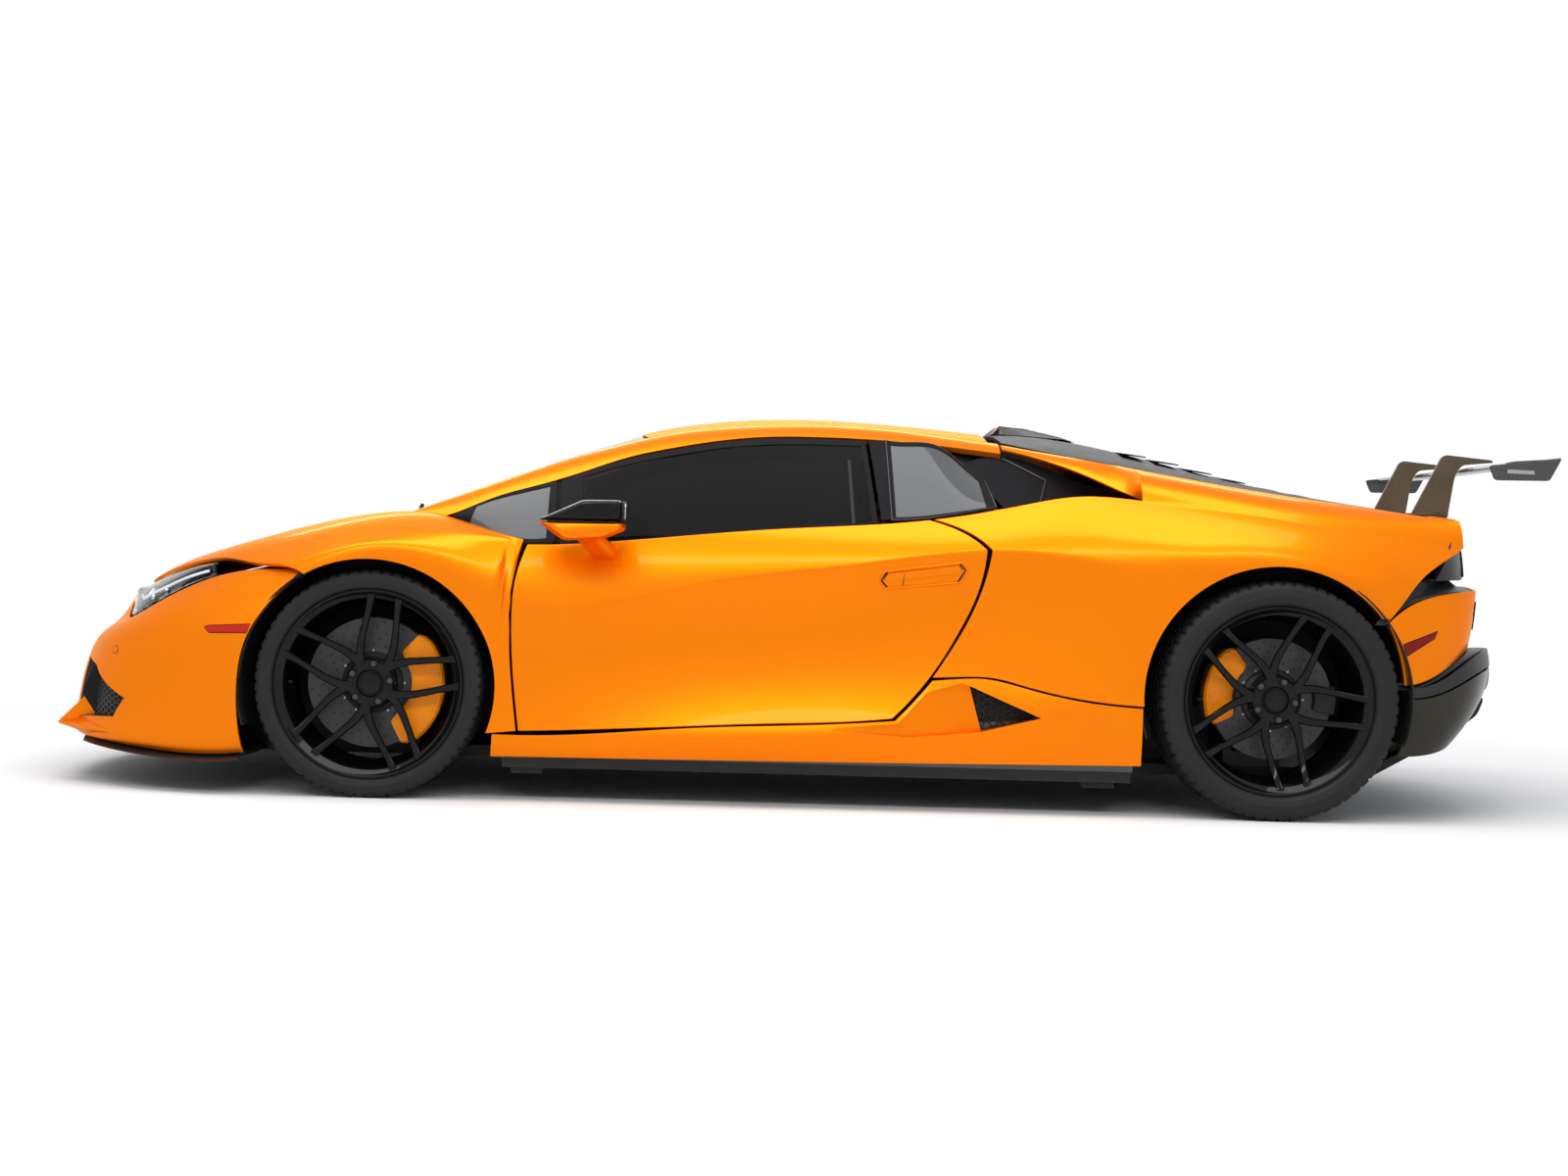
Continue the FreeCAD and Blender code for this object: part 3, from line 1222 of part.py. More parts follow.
# Rear fascia, lamps, diffuser and tail pipes
FASCIA_ROWS = [
    [(-1852, 838, 702), (-1935, 760, 706), (-2010, 520, 710), (-2052, 250, 712), (-2060, 0, 712)],
    [(-1890, 820, 776), (-1940, 745, 780), (-2005, 500, 784), (-2045, 250, 786), (-2052, 0, 786)],
    [(-1920, 780, 864), (-1946, 690, 880), (-2008, 450, 888), (-2044, 220, 892), (-2052, 0, 893)],
]
outer, inner = wrapRows(FASCIA_ROWS, 14, True)
fascia = trimmed(slab([(outer, inner, "btlr")]), quarter, mirrored(quarter), rearBumper, tailDeck)
addShape("rear_fascia", fascia)
DIFFUSER_ROWS = [
    [(-1730, 922, 194), (-1810, 900, 198), (-1890, 845, 214), (-1925, 760, 226), (-1950, 600, 236), (-1985, 300, 240),
     (-1990, 0, 240)],
    [(-1766, 932, 300), (-1840, 905, 308), (-1935, 850, 326), (-1995, 775, 345), (-2060, 620, 356), (-2110, 300, 360),
     (-2118, 0, 360)],
    [(-1760, 936, 392), (-1812, 903, 402), (-1895, 850, 428), (-1965, 790, 468), (-2060, 640, 498), (-2130, 300, 496),
     (-2142, 0, 496)],
]
outer, inner = wrapRows(DIFFUSER_ROWS, 16, True)
diffuser = trimmed(slab([(outer, inner, "btlr")]), floorShape)
pipes = []
for y in (-330, -200, 200, 330):
    diffuser = diffuser.cut(Part.makeCylinder(dim("exhaust_radius"), 400, V(placeX(-2300), y, 420), V(1, 0, 0)))
    pipe = Part.makeCylinder(dim("exhaust_radius"), 230, V(placeX(-2150), y, 420), V(1, 0, 0))
    bore = Part.makeCylinder(dim("exhaust_radius") - 4, 200, V(placeX(-2150), y, 420), V(1, 0, 0))
    pipes.append(pipe.cut(bore))
addShape("diffuser", diffuser)
addShape("tail_pipes", Part.Compound(pipes))


def lampBlock(points, z0, z1):
    return prismZ([(placeX(x), y) for x, y in points], placed(0, 0, z0).z, placed(0, 0, z1).z)


tail = lampBlock([(-1957, 760), (-2036, 470), (-2000, 460), (-1915, 745)], 806, 840)
tail = tail.cut(fascia)
addTwins("tail_lamps", min(tail.Solids, key=lambda solid: solid.BoundBox.XMin))
seamTail = resample([(1706, 4.5), (1795, 4.93), (1885, 5.33), (1994, 5.93)], 6)
lampTop = [skin(x + 9, s) for x, s in seamTail]
lampLow = [V(*p) for p in resample([(1712, 788, 628), (1850, 746, 572), (1944, 678, 522), (2000, 592, 498),
                                    (2028, 470, 520), (2044, 372, 556)], 6)]
lampRows = []
lampBack = []
for j in range(4):
    share = j / 3.0
    row = [a + (b - a) * share + V(10, 6, 8) * (4 * share * (1 - share)) for a, b in zip(lampLow, lampTop)]
    lampRows.append([placed(p.x, p.y, p.z) for p in row])
    lampBack.append([placed(p.x - 0.55 * dim("lamp_depth"), p.y - 0.5 * dim("lamp_depth"),
                            p.z - 0.4 * dim("lamp_depth")) for p in row])
head = trimmed(slab([(lampRows, lampBack, "btlr")]), fender, frontBumper)
frontTub = trimmed(frontTub, head, mirrored(head))
addTwins("headlamps", head)
addShape("front_tub", frontTub)

# Wheel arch liners
liners = []
for centre, radius, y0, y1, skins in ((ARCH_FRONT, frontArch, 545, 940, (fender, frontBumper)),
                                      (ARCH_REAR, rearArch, 590, 945, (quarter, rearBumper, diffuser, skirt))):
    ring = Part.makeCylinder(radius + 9, y1 - y0, V(placeX(centre[0]), y0, centre[1]), V(0, 1, 0))
    hollowRing = Part.makeCylinder(radius + 5, y1 - y0, V(placeX(centre[0]), y0, centre[1]), V(0, 1, 0))
    ring = ring.cut(hollowRing)
    below = Part.makeBox(1000, 600, 400, V(placeX(centre[0]) - 500, y0 - 50, centre[1] - 520))
    liners.append(trimmed(ring, below, *skins))
addTwins("arch_liners", *liners)
frontHouse = Part.makeCylinder(frontArch + 9, 500, V(placeX(ARCH_FRONT[0]), 500, ARCH_FRONT[1]), V(0, 1, 0))
bonnetFork = hingeFork(BONNET_HINGE, ((-9, 2), (-14, -110), (14, -110), (9, 2), (0, 9)), 610)
bonnetFork = bonnetFork.cut(frontHouse)

# Door hinge posts with the pins the doors turn on
post = prismZ([(placeX(x), y) for x, y in ((762, 722), (800, 722), (800, 786), (762, 786))], floorTop, 742)
hingePieces = [post]
for level in hingeLevels:
    for z in (level - 14, level + 30.3):
        hingePieces.append(Part.makeBox(20, HINGE_Y + 8 - 776, 13.7, V(placeX(HINGE_X) - 10, 776, z)))
    hingePieces.append(Part.makeCylinder(6.7, 58, V(placeX(HINGE_X), HINGE_Y, level - 14)))
doorPost = hingePieces[0].fuse(hingePieces[1:])
addTwins("hinge_posts", doorPost, bonnetFork)

# Door mirrors on their stalks
shellPoints = [(756, 808), (620, 872), (505, 874), (499, 786), (560, 760), (680, 752)]
mirror = prismY([(placeX(x), z) for x, z in shellPoints], 985, 985 + dim("mirror_width"))
stalk = Part.makeLoft([
    Part.makePolygon([V(placeX(x), 860, z) for x, z in ((600, 700), (520, 690), (515, 735), (590, 745), (600, 700))]),
    Part.makePolygon([V(placeX(x), 1000, z) for x, z in ((660, 765), (590, 762), (585, 790), (650, 800), (660, 765))]),
], True)
mirrorShape = mirror.fuse(stalk)
skinSolid = doorSkin.fuse(doorInner)
addPair("mirror", trimmed(mirrorShape, skinSolid, doorPane))

doc.recompute()
os.makedirs("parts", exist_ok=True)
for name, obj in parts.items():
    if "Invalid" in obj.State or "Error" in obj.State or obj.Shape.isNull() or not obj.Shape.isValid():
        raise RuntimeError(name + " failed")
for name, obj in parts.items():
    obj.Shape.exportStep("parts/" + obj.Label + ".step")
print(len(parts), "parts")
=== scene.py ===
import bpy
import bmesh
import math
import numpy as np
from mathutils import Matrix, Vector
from mathutils.bvhtree import BVHTree


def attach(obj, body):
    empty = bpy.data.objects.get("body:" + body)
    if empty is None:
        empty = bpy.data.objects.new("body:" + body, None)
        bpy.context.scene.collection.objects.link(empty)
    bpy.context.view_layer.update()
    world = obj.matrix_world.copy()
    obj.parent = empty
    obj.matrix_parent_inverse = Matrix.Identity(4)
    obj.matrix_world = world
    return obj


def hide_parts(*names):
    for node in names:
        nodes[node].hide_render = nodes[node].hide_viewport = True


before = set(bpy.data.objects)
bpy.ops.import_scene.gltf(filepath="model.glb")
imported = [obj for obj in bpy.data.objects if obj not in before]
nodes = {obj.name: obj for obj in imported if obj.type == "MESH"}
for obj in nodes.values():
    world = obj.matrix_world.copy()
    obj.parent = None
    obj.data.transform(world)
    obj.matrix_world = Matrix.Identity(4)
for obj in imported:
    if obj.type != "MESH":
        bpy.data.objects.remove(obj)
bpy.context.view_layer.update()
mm = 0.001
print("frame loaded")


# curves and grids, in millimetres
class Curve:
    # a cubic through points at given parameters, its end slopes taken from the first and last four
    def __init__(self, params, points):
        t = np.array(params, float)
        p = np.array(points, float)
        if p.ndim == 1:
            p = p[:, None]
        n = len(t)
        reach = min(4, n)
        a = self.endSlope(t[:reach], p[:reach], t[0])
        b = self.endSlope(t[-reach:], p[-reach:], t[-1])
        m = np.zeros_like(p)
        if n == 3:
            m = np.array([self.endSlope(t, p, x) for x in t])
        elif n == 2:
            m[:] = a
        else:
            h = np.diff(t)
            system = np.zeros((n, n))
            right = np.zeros_like(p)
            system[0, 0] = system[-1, -1] = 1
            right[0], right[-1] = a, b
            for i in range(1, n - 1):
                system[i, i - 1] = h[i]
                system[i, i] = 2 * (h[i - 1] + h[i])
                system[i, i + 1] = h[i - 1]
                right[i] = 3 * (h[i] * (p[i] - p[i - 1]) / h[i - 1] + h[i - 1] * (p[i + 1] - p[i]) / h[i])
            m = np.linalg.solve(system, right)
        self.t, self.p, self.m = t, p, m

    def endSlope(self, t, p, x):
        # the slope at x of the polynomial through all these points
        span = t[-1] - t[0]
        powers = ((t - x) / span)[:, None] ** np.arange(len(t))
        return np.linalg.solve(powers, p)[1] / span

    def at(self, x):
        x = np.clip(np.asarray(x, float), self.t[0], self.t[-1])
        i = np.clip(np.searchsorted(self.t, x, side="right") - 1, 0, len(self.t) - 2)
        h = self.t[i + 1] - self.t[i]
        s = (x - self.t[i]) / h
        s, h = s[..., None], h[..., None]
        return ((2 * s ** 3 - 3 * s ** 2 + 1) * self.p[i] + (s ** 3 - 2 * s ** 2 + s) * h * self.m[i]
                + (3 * s ** 2 - 2 * s ** 3) * self.p[i + 1] + (s ** 3 - s ** 2) * h * self.m[i + 1])


def line(*points):
    # a curve over the first coordinate
    points = sorted(points)
    return Curve([p[0] for p in points], [p[1:] for p in points])


levelHeight = 180.0  # what one level of the skin counts for beside a millimetre along the car


def resample(points, count):
    points = np.array(points, float)
    scale = np.array([1.0, levelHeight]) if points.shape[1] == 2 else np.ones(3)
    lengths = np.concatenate([[0], np.cumsum(np.linalg.norm(np.diff(points, axis=0) * scale, axis=1))])
    return Curve(lengths, points).at(np.linspace(0, lengths[-1], count))


def coons(bottom, top, left, right):
    # a grid of points filled in between four edges
    bottom, top, left, right = [np.array(e, float) for e in (bottom, top, left, right)]
    u = np.linspace(0, 1, len(bottom))[None, :, None]
    v = np.linspace(0, 1, len(left))[:, None, None]
    edges = (1 - v) * bottom[None] + v * top[None] + (1 - u) * left[:, None] + u * right[:, None]
    corners = ((1 - u) * (1 - v) * bottom[0] + u * (1 - v) * bottom[-1]
               + (1 - u) * v * top[0] + u * v * top[-1])
    return edges - corners


fineness = 0.83  # share of the sampling asked for: it keeps the whole car under a million triangles


def dense(rows, across, along):
    # curves through the rows and then across them, sampled finely
    across, along = (max(2, round(count * fineness)) for count in (across, along))
    rows = np.array(rows, float)
    steps = np.linspace(0, 1, across)
    wide = np.array([Curve(np.linspace(0, 1, len(r)), r).at(steps) for r in rows])
    flat = wide.reshape(len(rows), -1)
    tall = Curve(np.linspace(0, 1, len(rows)), flat).at(np.linspace(0, 1, along))
    return tall.reshape(along, across, -1)


def bowed(low, high, bow):
    # four rows from one edge to the other, raised between them
    return [low + (high - low) * t + np.array(bow) * (4 * t * (1 - t)) for t in (0, 1 / 3, 2 / 3, 1)]


# the body's feature lines, x to y and z, on the left side
bodyLines = {
    "sillBottom": line((1650, 925, 118), (900, 915, 127), (300, 930, 133), (-300, 936, 140),
                       (-1000, 945, 150), (-1800, 925, 190), (-2000, 880, 220)),
    "sillCrease": line((1650, 946, 200), (1235, 950, 190), (850, 928, 186), (300, 952, 206), (-300, 958, 243),
                       (-600, 960, 285), (-1000, 962, 320), (-1800, 935, 300), (-2000, 890, 300)),
    "hollow": line((1650, 952, 340), (1235, 956, 380), (850, 918, 385), (300, 897, 425),
                   (-300, 902, 480), (-560, 925, 510), (-1000, 956, 500), (-1400, 962, 520),
                   (-1800, 915, 450), (-2000, 870, 430)),
    "waist": line((1750, 895, 560), (1500, 945, 630), (1235, 957, 712), (1000, 946, 655),
                  (829, 930, 578), (329, 927, 630), (-149, 928, 704), (-540, 934, 758),
                  (-1000, 952, 756), (-1385, 960, 762), (-1700, 930, 690), (-1960, 862, 620)),
    "shoulder": line((1900, 690, 570), (1697, 800, 640), (1450, 898, 692), (1235, 925, 738), (1000, 908, 748),
                     (796, 884, 741), (484, 880, 762), (50, 871, 806), (-371, 856, 842), (-636, 840, 891),
                     (-806, 830, 922), (-994, 826, 915), (-1385, 862, 872), (-1700, 842, 826),
                     (-1960, 790, 800)),
    "crown": line((2000, 540, 560), (1900, 600, 612), (1697, 690, 690), (1450, 760, 757), (1235, 795, 797),
                  (1062, 818, 792), (930, 850, 770), (796, 883, 743)),
    "hoodEdge": line((2060, 300, 540), (1900, 420, 640), (1650, 520, 720), (1450, 580, 775), (1300, 628, 806),
                     (1180, 690, 820), (1062, 744, 812), (930, 818, 777), (796, 882, 745)),
    "deckLine": line((-590, 560, 1076), (-656, 572, 1068), (-833, 600, 1042), (-1126, 640, 993),
                     (-1415, 690, 947), (-1702, 728, 910), (-1830, 748, 893), (-1960, 775, 880)),
    "haunch": line((-994, 770, 985), (-1126, 772, 965), (-1385, 800, 925), (-1702, 802, 880),
                   (-1960, 788, 850)),
}


def skin(x, s):
    # the body side at x and level s, which counts from the sill's bottom at 0 to the top edge at 6
    x, s = np.broadcast_arrays(np.asarray(x, float), np.asarray(s, float))
    front = (x > 0)[..., None]
    rows = [bodyLines[k].at(x) for k in ("sillBottom", "sillCrease", "hollow", "waist", "shoulder")]
    rows.append(np.where(front, bodyLines["crown"].at(x), bodyLines["haunch"].at(x)))
    rows.append(np.where(front, bodyLines["hoodEdge"].at(x), bodyLines["deckLine"].at(x)))
    t = s[..., None]

    def straight(a, b, t, bulge):
        out = a + (b - a) * t
        out[..., 0] += 4 * t[..., 0] * (1 - t[..., 0]) * bulge
        return out

    def curved(a, b, c, t):
        return a * (t - 1) * (t - 2) / 2 - b * t * (t - 2) + c * t * (t - 1) / 2

    yz = np.where(t <= 1, straight(rows[0], rows[1], t, 4.0),
                  np.where(t <= 3, curved(rows[1], rows[2], rows[3], t - 1),
                           np.where(t <= 4, straight(rows[3], rows[4], t - 3, 9.0),
                                    curved(rows[4], rows[5], rows[6], t - 4))))
    return np.concatenate([x[..., None], yz], axis=-1)


def levelAt(x, z, low=0.0, high=6.0):
    for step in range(30):
        middle = (low + high) / 2
        if float(skin(x, middle)[2]) < z:
            low = middle
        else:
            high = middle
    return (low + high) / 2


def onSkin(points):
    return [(x, levelAt(x, z, 0, 4)) for x, z in points]


def onArch(arch, grow, angle):
    reach = arch["radius"] + grow
    return arch["x"] + reach * math.cos(angle), arch["z"] + reach * math.sin(angle)


def archEdge(arch, start, end, count):
    points = [onArch(arch, 0, a) for a in np.radians(np.linspace(start, end, count))]
    return np.array([(x, levelAt(x, z)) for x, z in points])


def skinPatch(xs):
    return skin(xs[..., 0], xs[..., 1])


# shader maths and finishes
class Wire:
    # one output socket, so that finishes can be written as sums
    def __init__(self, tree, socket):
        self.tree, self.socket = tree, socket

    def maths(self, operation, other, swap=False):
        pair = (other, self) if swap else (self, other)
        return self.tree.node("Math", {"operation": operation}, {0: pair[0], 1: pair[1]})

    def __add__(self, other):
        return self.maths("ADD", other)

    def __sub__(self, other):
        return self.maths("SUBTRACT", other)

    def __rsub__(self, other):
        return self.maths("SUBTRACT", other, True)

    def __mul__(self, other):
        return self.maths("MULTIPLY", other)

    def __truediv__(self, other):
        return self.maths("DIVIDE", other)

    __radd__ = __add__
    __rmul__ = __mul__


class Tree:
    def __init__(self, holder):
        holder.use_nodes = True
        self.nodes, self.links = holder.node_tree.nodes, holder.node_tree.links

    def feed(self, socket, value):
        if isinstance(value, Wire):
            self.links.new(value.socket, socket)
        elif socket.type == "RGBA" and len(value) == 3:
            socket.default_value = (*value, 1)
        else:
            socket.default_value = value

    def node(self, kind, settings=None, values=None, out=0):
        made = self.nodes.new("ShaderNode" + kind)
        for key, value in (settings or {}).items():
            setattr(made, key, value)
        for key, value in (values or {}).items():
            self.feed(made.inputs[key], value)
        return Wire(self, made.outputs[out]) if made.outputs else made

    def straightRays(self):
        # one for what the camera sees directly, in a mirror or through glass
        rays = [self.node("LightPath", out=kind + " Ray")
                for kind in ("Is Camera", "Is Glossy", "Is Transmission")]
        return rays[0].maths("MAXIMUM", rays[1]).maths("MAXIMUM", rays[2])


class Finish(Tree):
    def __init__(self, name, fixed):
        self.material = bpy.data.materials.new(name)
        super().__init__(self.material)
        self.shader = self.nodes["Principled BSDF"]
        self.set(fixed)

    def set(self, values):
        for key, value in values.items():
            self.feed(self.shader.inputs[key], value)
        return self

    def place(self):
        return self.node("TexCoord", out="Object")

    def noise(self, scale, detail=3.0, rough=0.5):
        return self.node("TexNoise", {}, {"Vector": self.place(), "Scale": scale, "Detail": detail,
                                          "Roughness": rough})

    def mix(self, factor, first, second):
        return self.node("Mix", {"data_type": "RGBA"}, {0: factor, 6: first, 7: second}, 2)

    def parts(self, vector):
        split = self.nodes.new("ShaderNodeSeparateXYZ")
        self.feed(split.inputs[0], vector)
        return [Wire(self, split.outputs[i]) for i in range(3)]

    def look(self, factor, dark, light, rough, height=None, strength=0.0, distance=0.001):
        # the colour runs from dark to light by the factor, and the height raises the bumps
        self.set({"Base Color": self.mix(factor, dark, light), "Roughness": rough})
        if height:
            bump = self.node("Bump", {}, {"Height": height, "Strength": strength, "Distance": distance})
            self.set({"Normal": bump})
        return self


def lighter(colour, times, more=0.0):
    return tuple(min(1, c * times + more) for c in colour)


def orangePearl():
    f = Finish("orangePearl", {"Metallic": 0.9, "Coat Weight": 0.14, "Coat Roughness": 0.02, "Coat IOR": 1.45,
                               "Specular IOR Level": 0.1, "Specular Tint": (1.0, 0.66, 0.16, 1.0)})
    flakes, drift = f.noise(2400, 2.0, 0.6), f.noise(2.5, 2.0)
    return f.look(flakes * 0.5 + drift * 0.3, (0.80, 0.178, 0.0006), (0.92, 0.235, 0.001),
                  0.34 + flakes * 0.08, flakes, 0.03, 0.0003)


def plainGloss(name, colour, rough, coat=0.6):
    f = Finish(name, {"Coat Weight": coat, "Coat Roughness": 0.04, "Coat IOR": 1.35,
                      "Specular IOR Level": 0.03})
    grain, smear = f.noise(500, 2.0), f.noise(9)
    return f.look(grain * 0.5 + smear * 0.4, colour, lighter(colour, 1.35, 0.002), rough + smear * 0.07,
                  grain, 0.02, 0.0003)


def grained(name, colour, rough, scale=900, depth=0.25, metal=0.0, shine=0.25):
    f = Finish(name, {"Metallic": metal, "Specular IOR Level": shine})
    grain, wear = f.noise(scale, 3.0, 0.6), f.noise(14)
    return f.look(grain * 0.4 + wear * 0.5, colour, lighter(colour, 1.6, 0.004), rough - wear * 0.12, grain,
                  depth, 0.0005)


def carbonTwill():
    f = Finish("carbonTwill", {"Coat Weight": 0.8, "Coat Roughness": 0.05})
    place = f.node("Mapping", {}, {"Vector": f.place(), "Rotation": (0.6, 0.6, 0.785)})
    weave, fine = f.node("TexChecker", {}, {"Vector": place, "Scale": 260.0}, 1), f.noise(1500, 2.0)
    return f.look(weave * 0.8 + fine * 0.2, (0.006, 0.006, 0.007), (0.022, 0.022, 0.024), 0.28 + weave * 0.12,
                  weave + fine * 0.3, 0.06, 0.0004)


def clearGlass(name, tint, bend=1.2):
    f = Finish(name, {"Transmission Weight": 1.0, "IOR": bend})
    haze = f.noise(6)
    return f.look(haze, tint, lighter(tint, 0.9), haze * 0.01)


def tyreRubber():
    f = Finish("tyreRubber", {"Specular IOR Level": 0.25})
    grain, dust = f.noise(700, 4.0, 0.65), f.noise(11, 4.0)
    return f.look(grain * 0.5 + dust * 0.5, (0.005, 0.005, 0.006), (0.016, 0.016, 0.017),
                  0.62 - dust * 0.14, grain, 0.3, 0.0005)


def turnedIron():
    f = Finish("turnedIron", {"Metallic": 0.85})
    x, y, z = f.parts(f.place())
    radius = (x * x + z * z).maths("POWER", 0.5)
    rings = f.node("TexNoise", {"noise_dimensions": "1D"}, {"W": radius * 900, "Scale": 1.0, "Detail": 4.0})
    return f.look(rings, (0.022, 0.022, 0.024), (0.08, 0.08, 0.084), 0.34 + rings * 0.2, rings, 0.2, 0.0003)


def stitchedHide(name, colour):
    f = Finish(name, {})
    cells, soft = f.node("TexVoronoi", {}, {"Vector": f.place(), "Scale": 480.0}), f.noise(12)
    return f.look(cells * 0.5 + soft * 0.4, colour, lighter(colour, 1.5, 0.004), 0.48 + soft * 0.15, cells,
                  0.2, 0.0006)


def lamp(name, colour, glow):
    f = Finish(name, {"Emission Strength": glow, "Coat Weight": 0.5})
    ripple = f.noise(120, 2.0)
    tone = f.mix(ripple, colour, lighter(colour, 0.8))
    return f.set({"Base Color": tone, "Emission Color": tone, "Roughness": 0.12 + ripple * 0.1})


finishes = {
    "paint": orangePearl(),
    "pianoBlack": plainGloss("pianoBlack", (0.004, 0.004, 0.0045), 0.12, 0.45),
    "satinBlack": grained("satinBlack", (0.010, 0.010, 0.011), 0.46),
    "coarseBlack": grained("coarseBlack", (0.012, 0.012, 0.012), 0.7, 400, 0.5),
    "carbon": carbonTwill(),
    "sideGlass": clearGlass("sideGlass", (0.05, 0.054, 0.054), 1.12),
    "screenGlass": clearGlass("screenGlass", (0.55, 0.60, 0.60)),
    "lensClear": clearGlass("lensClear", (0.80, 0.83, 0.85), 1.1),
    "lensRed": plainGloss("lensRed", (0.16, 0.003, 0.003), 0.1, 0.5),
    "lensAmber": plainGloss("lensAmber", (0.42, 0.014, 0.002), 0.1, 0.5),
    "tyre": tyreRubber(),
    "rimBlack": plainGloss("rimBlack", (0.0025, 0.0025, 0.003), 0.08, 0.6),
    "iron": turnedIron(),
    "caliper": plainGloss("caliperOrange", (1.0, 0.24, 0.002), 0.28, 0.5),
    "castAlloy": grained("castAlloy", (0.28, 0.28, 0.29), 0.42, 300, 0.3, 0.9),
    "steel": grained("brushedSteel", (0.45, 0.45, 0.46), 0.28, 700, 0.1, 1.0),
    "bronze": grained("pylonBronze", (0.085, 0.066, 0.042), 0.36, 900, 0.08, 0.6),
    "leather": stitchedHide("blackLeather", (0.012, 0.012, 0.013)),
    "orangeHide": stitchedHide("orangeHide", (0.75, 0.17, 0.01)),
    "seal": grained("sealRubber", (0.006, 0.006, 0.006), 0.6),
    "greyGlass": plainGloss("greyGlass", (0.065, 0.067, 0.07), 0.12, 0.8),
    "steelDark": grained("darkSteel", (0.05, 0.05, 0.052), 0.35, 700, 0.1, 0.8),
    "castDark": grained("darkCasting", (0.045, 0.045, 0.047), 0.5, 400, 0.2, 0.6),
    "deckBlack": grained("deckBlack", (0.006, 0.006, 0.007), 0.5, 900, 0.03, shine=0.04),
    "bronzeGrey": grained("bronzeGrey", (0.020, 0.018, 0.013), 0.3, 900, 0.06, 0.3),
    # a dark orange for the scoop's mouth: painted shade inside the opening
    "scoopMouthShade": plainGloss("scoopMouthShade", (0.20, 0.055, 0.012), 0.2, 0.6),
    "lensGlow": lamp("tailStrip", (0.85, 0.03, 0.02), 0.4),
    "silvered": grained("silvered", (0.62, 0.63, 0.64), 0.04, 200, 0.01, 1.0),
    "led": lamp("daylightStrip", (0.95, 0.97, 1.0), 0.6),
}
print("finishes made")


# meshes
def smoothShade(mesh, angle):
    mesh.shade_smooth()
    mesh.set_sharp_from_angle(angle=math.radians(angle))


def applied(obj):
    graph = bpy.context.evaluated_depsgraph_get()
    mesh = bpy.data.meshes.new_from_object(obj.evaluated_get(graph))
    obj.modifiers.clear()
    old = obj.data
    obj.data = mesh
    bpy.data.meshes.remove(old)


def meshObject(name, shape, sharp=35, weld=0.0):
    mesh = bpy.data.meshes.new(name)
    mesh.from_pydata([tuple(float(c) * mm for c in v) for v in shape[0]], [],
                     [tuple(int(i) for i in f) for f in shape[1]])
    if weld:
        bm = bmesh.new()
        bm.from_mesh(mesh)
        bmesh.ops.remove_doubles(bm, verts=bm.verts, dist=weld * mm)
        bmesh.ops.dissolve_degenerate(bm, edges=bm.edges, dist=0.02 * mm)
        bm.to_mesh(mesh)
        bm.free()
    mesh.update()
    smoothShade(mesh, sharp)
    obj = bpy.data.objects.new(name, mesh)
    bpy.context.scene.collection.objects.link(obj)
    return obj


def discard(*objects):
    for obj in objects:
        bpy.data.objects.remove(obj)


def settle(obj, body, finish, stands=()):
    obj.data.materials.clear()
    obj.data.materials.append(finishes[finish].material)
    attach(obj, body)
    if stands:
        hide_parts(*stands)
    return obj


def gridFaces(rows, across, start=0, flip=False, closed=False):
    faces = []
    for j in range(rows - 1):
        for i in range(across if closed else across - 1):
            k = (i + 1) % across
            row, after = start + j * across, start + (j + 1) * across
            quad = (row + i, row + k, after + k, after + i)
            faces.append(quad[::-1] if flip else quad)
    return faces


def sheet(grids, flip=False):
    verts, faces = [], []
    for grid in grids:
        faces += gridFaces(grid.shape[0], grid.shape[1], len(verts), flip)
        verts += list(grid.reshape(-1, 3))
    return verts, faces


def thickened(obj, thickness, offset=-1):
    mod = obj.modifiers.new("thickness", "SOLIDIFY")
    mod.thickness = thickness * mm
    mod.offset = offset


def bevelled(obj, width, segments=2):
    mod = obj.modifiers.new("edge", "BEVEL")
    mod.width = width * mm
    mod.segments = segments
    mod.limit_method = "ANGLE"
    mod.angle_limit = math.radians(40)
    mod.harden_normals = True
    mod.use_clamp_overlap = True


def combined(obj, tool, operation):
    mod = obj.modifiers.new("combined", "BOOLEAN")
    mod.operation = operation
    mod.solver = "EXACT"
    mod.object = tool


both = ("body", "body")
doors = ("door_left", "door_right")
creaseAngle = 35
acrossCar = np.array([1, -1, 1])


def panelPiece(name, grids, body, spec, stands=(), flip=False, finish="paint", slot=None, cutters=()):
    obj = meshObject(name, sheet(grids, flip), creaseAngle, 0.3)
    thickened(obj, spec["thickness"])
    for cutter in cutters:
        combined(obj, cutter, "DIFFERENCE")
    if cutters:
        applied(obj)
        smoothShade(obj.data, creaseAngle)
    bevelled(obj, spec["edge"])
    settle(obj, body, finish, stands)


def panelPair(name, grids, bodies, spec, stands=(), flip=False, **more):
    panelPiece(name + "Left", grids, bodies[0], spec, stands[:1], flip, **more)
    panelPiece(name + "Right", [g * acrossCar for g in grids], bodies[1], spec, stands[1:], not flip, **more)


# plain builders for the smaller pieces
def make(name, shape, finish, body="body", stands=(), slot=None, edge=0.0, thickness=0.0, sharp=35, weld=0.05,
         segments=2, offset=-1):
    obj = meshObject(name, shape, sharp, weld)
    if thickness:
        thickened(obj, thickness, offset)
    if edge:
        bevelled(obj, edge, segments)
    return settle(obj, body, finish, stands)


def makePair(name, shape, finish, bodies=both, stands=(), slot=None, **more):
    left = make(name + "Left", shape, finish, bodies[0], stands[:1], slot, **more)
    turned = [(x, -y, z) for x, y, z in shape[0]], [tuple(f)[::-1] for f in shape[1]]
    return left, make(name + "Right", turned, finish, bodies[1], stands[1:], slot, **more)


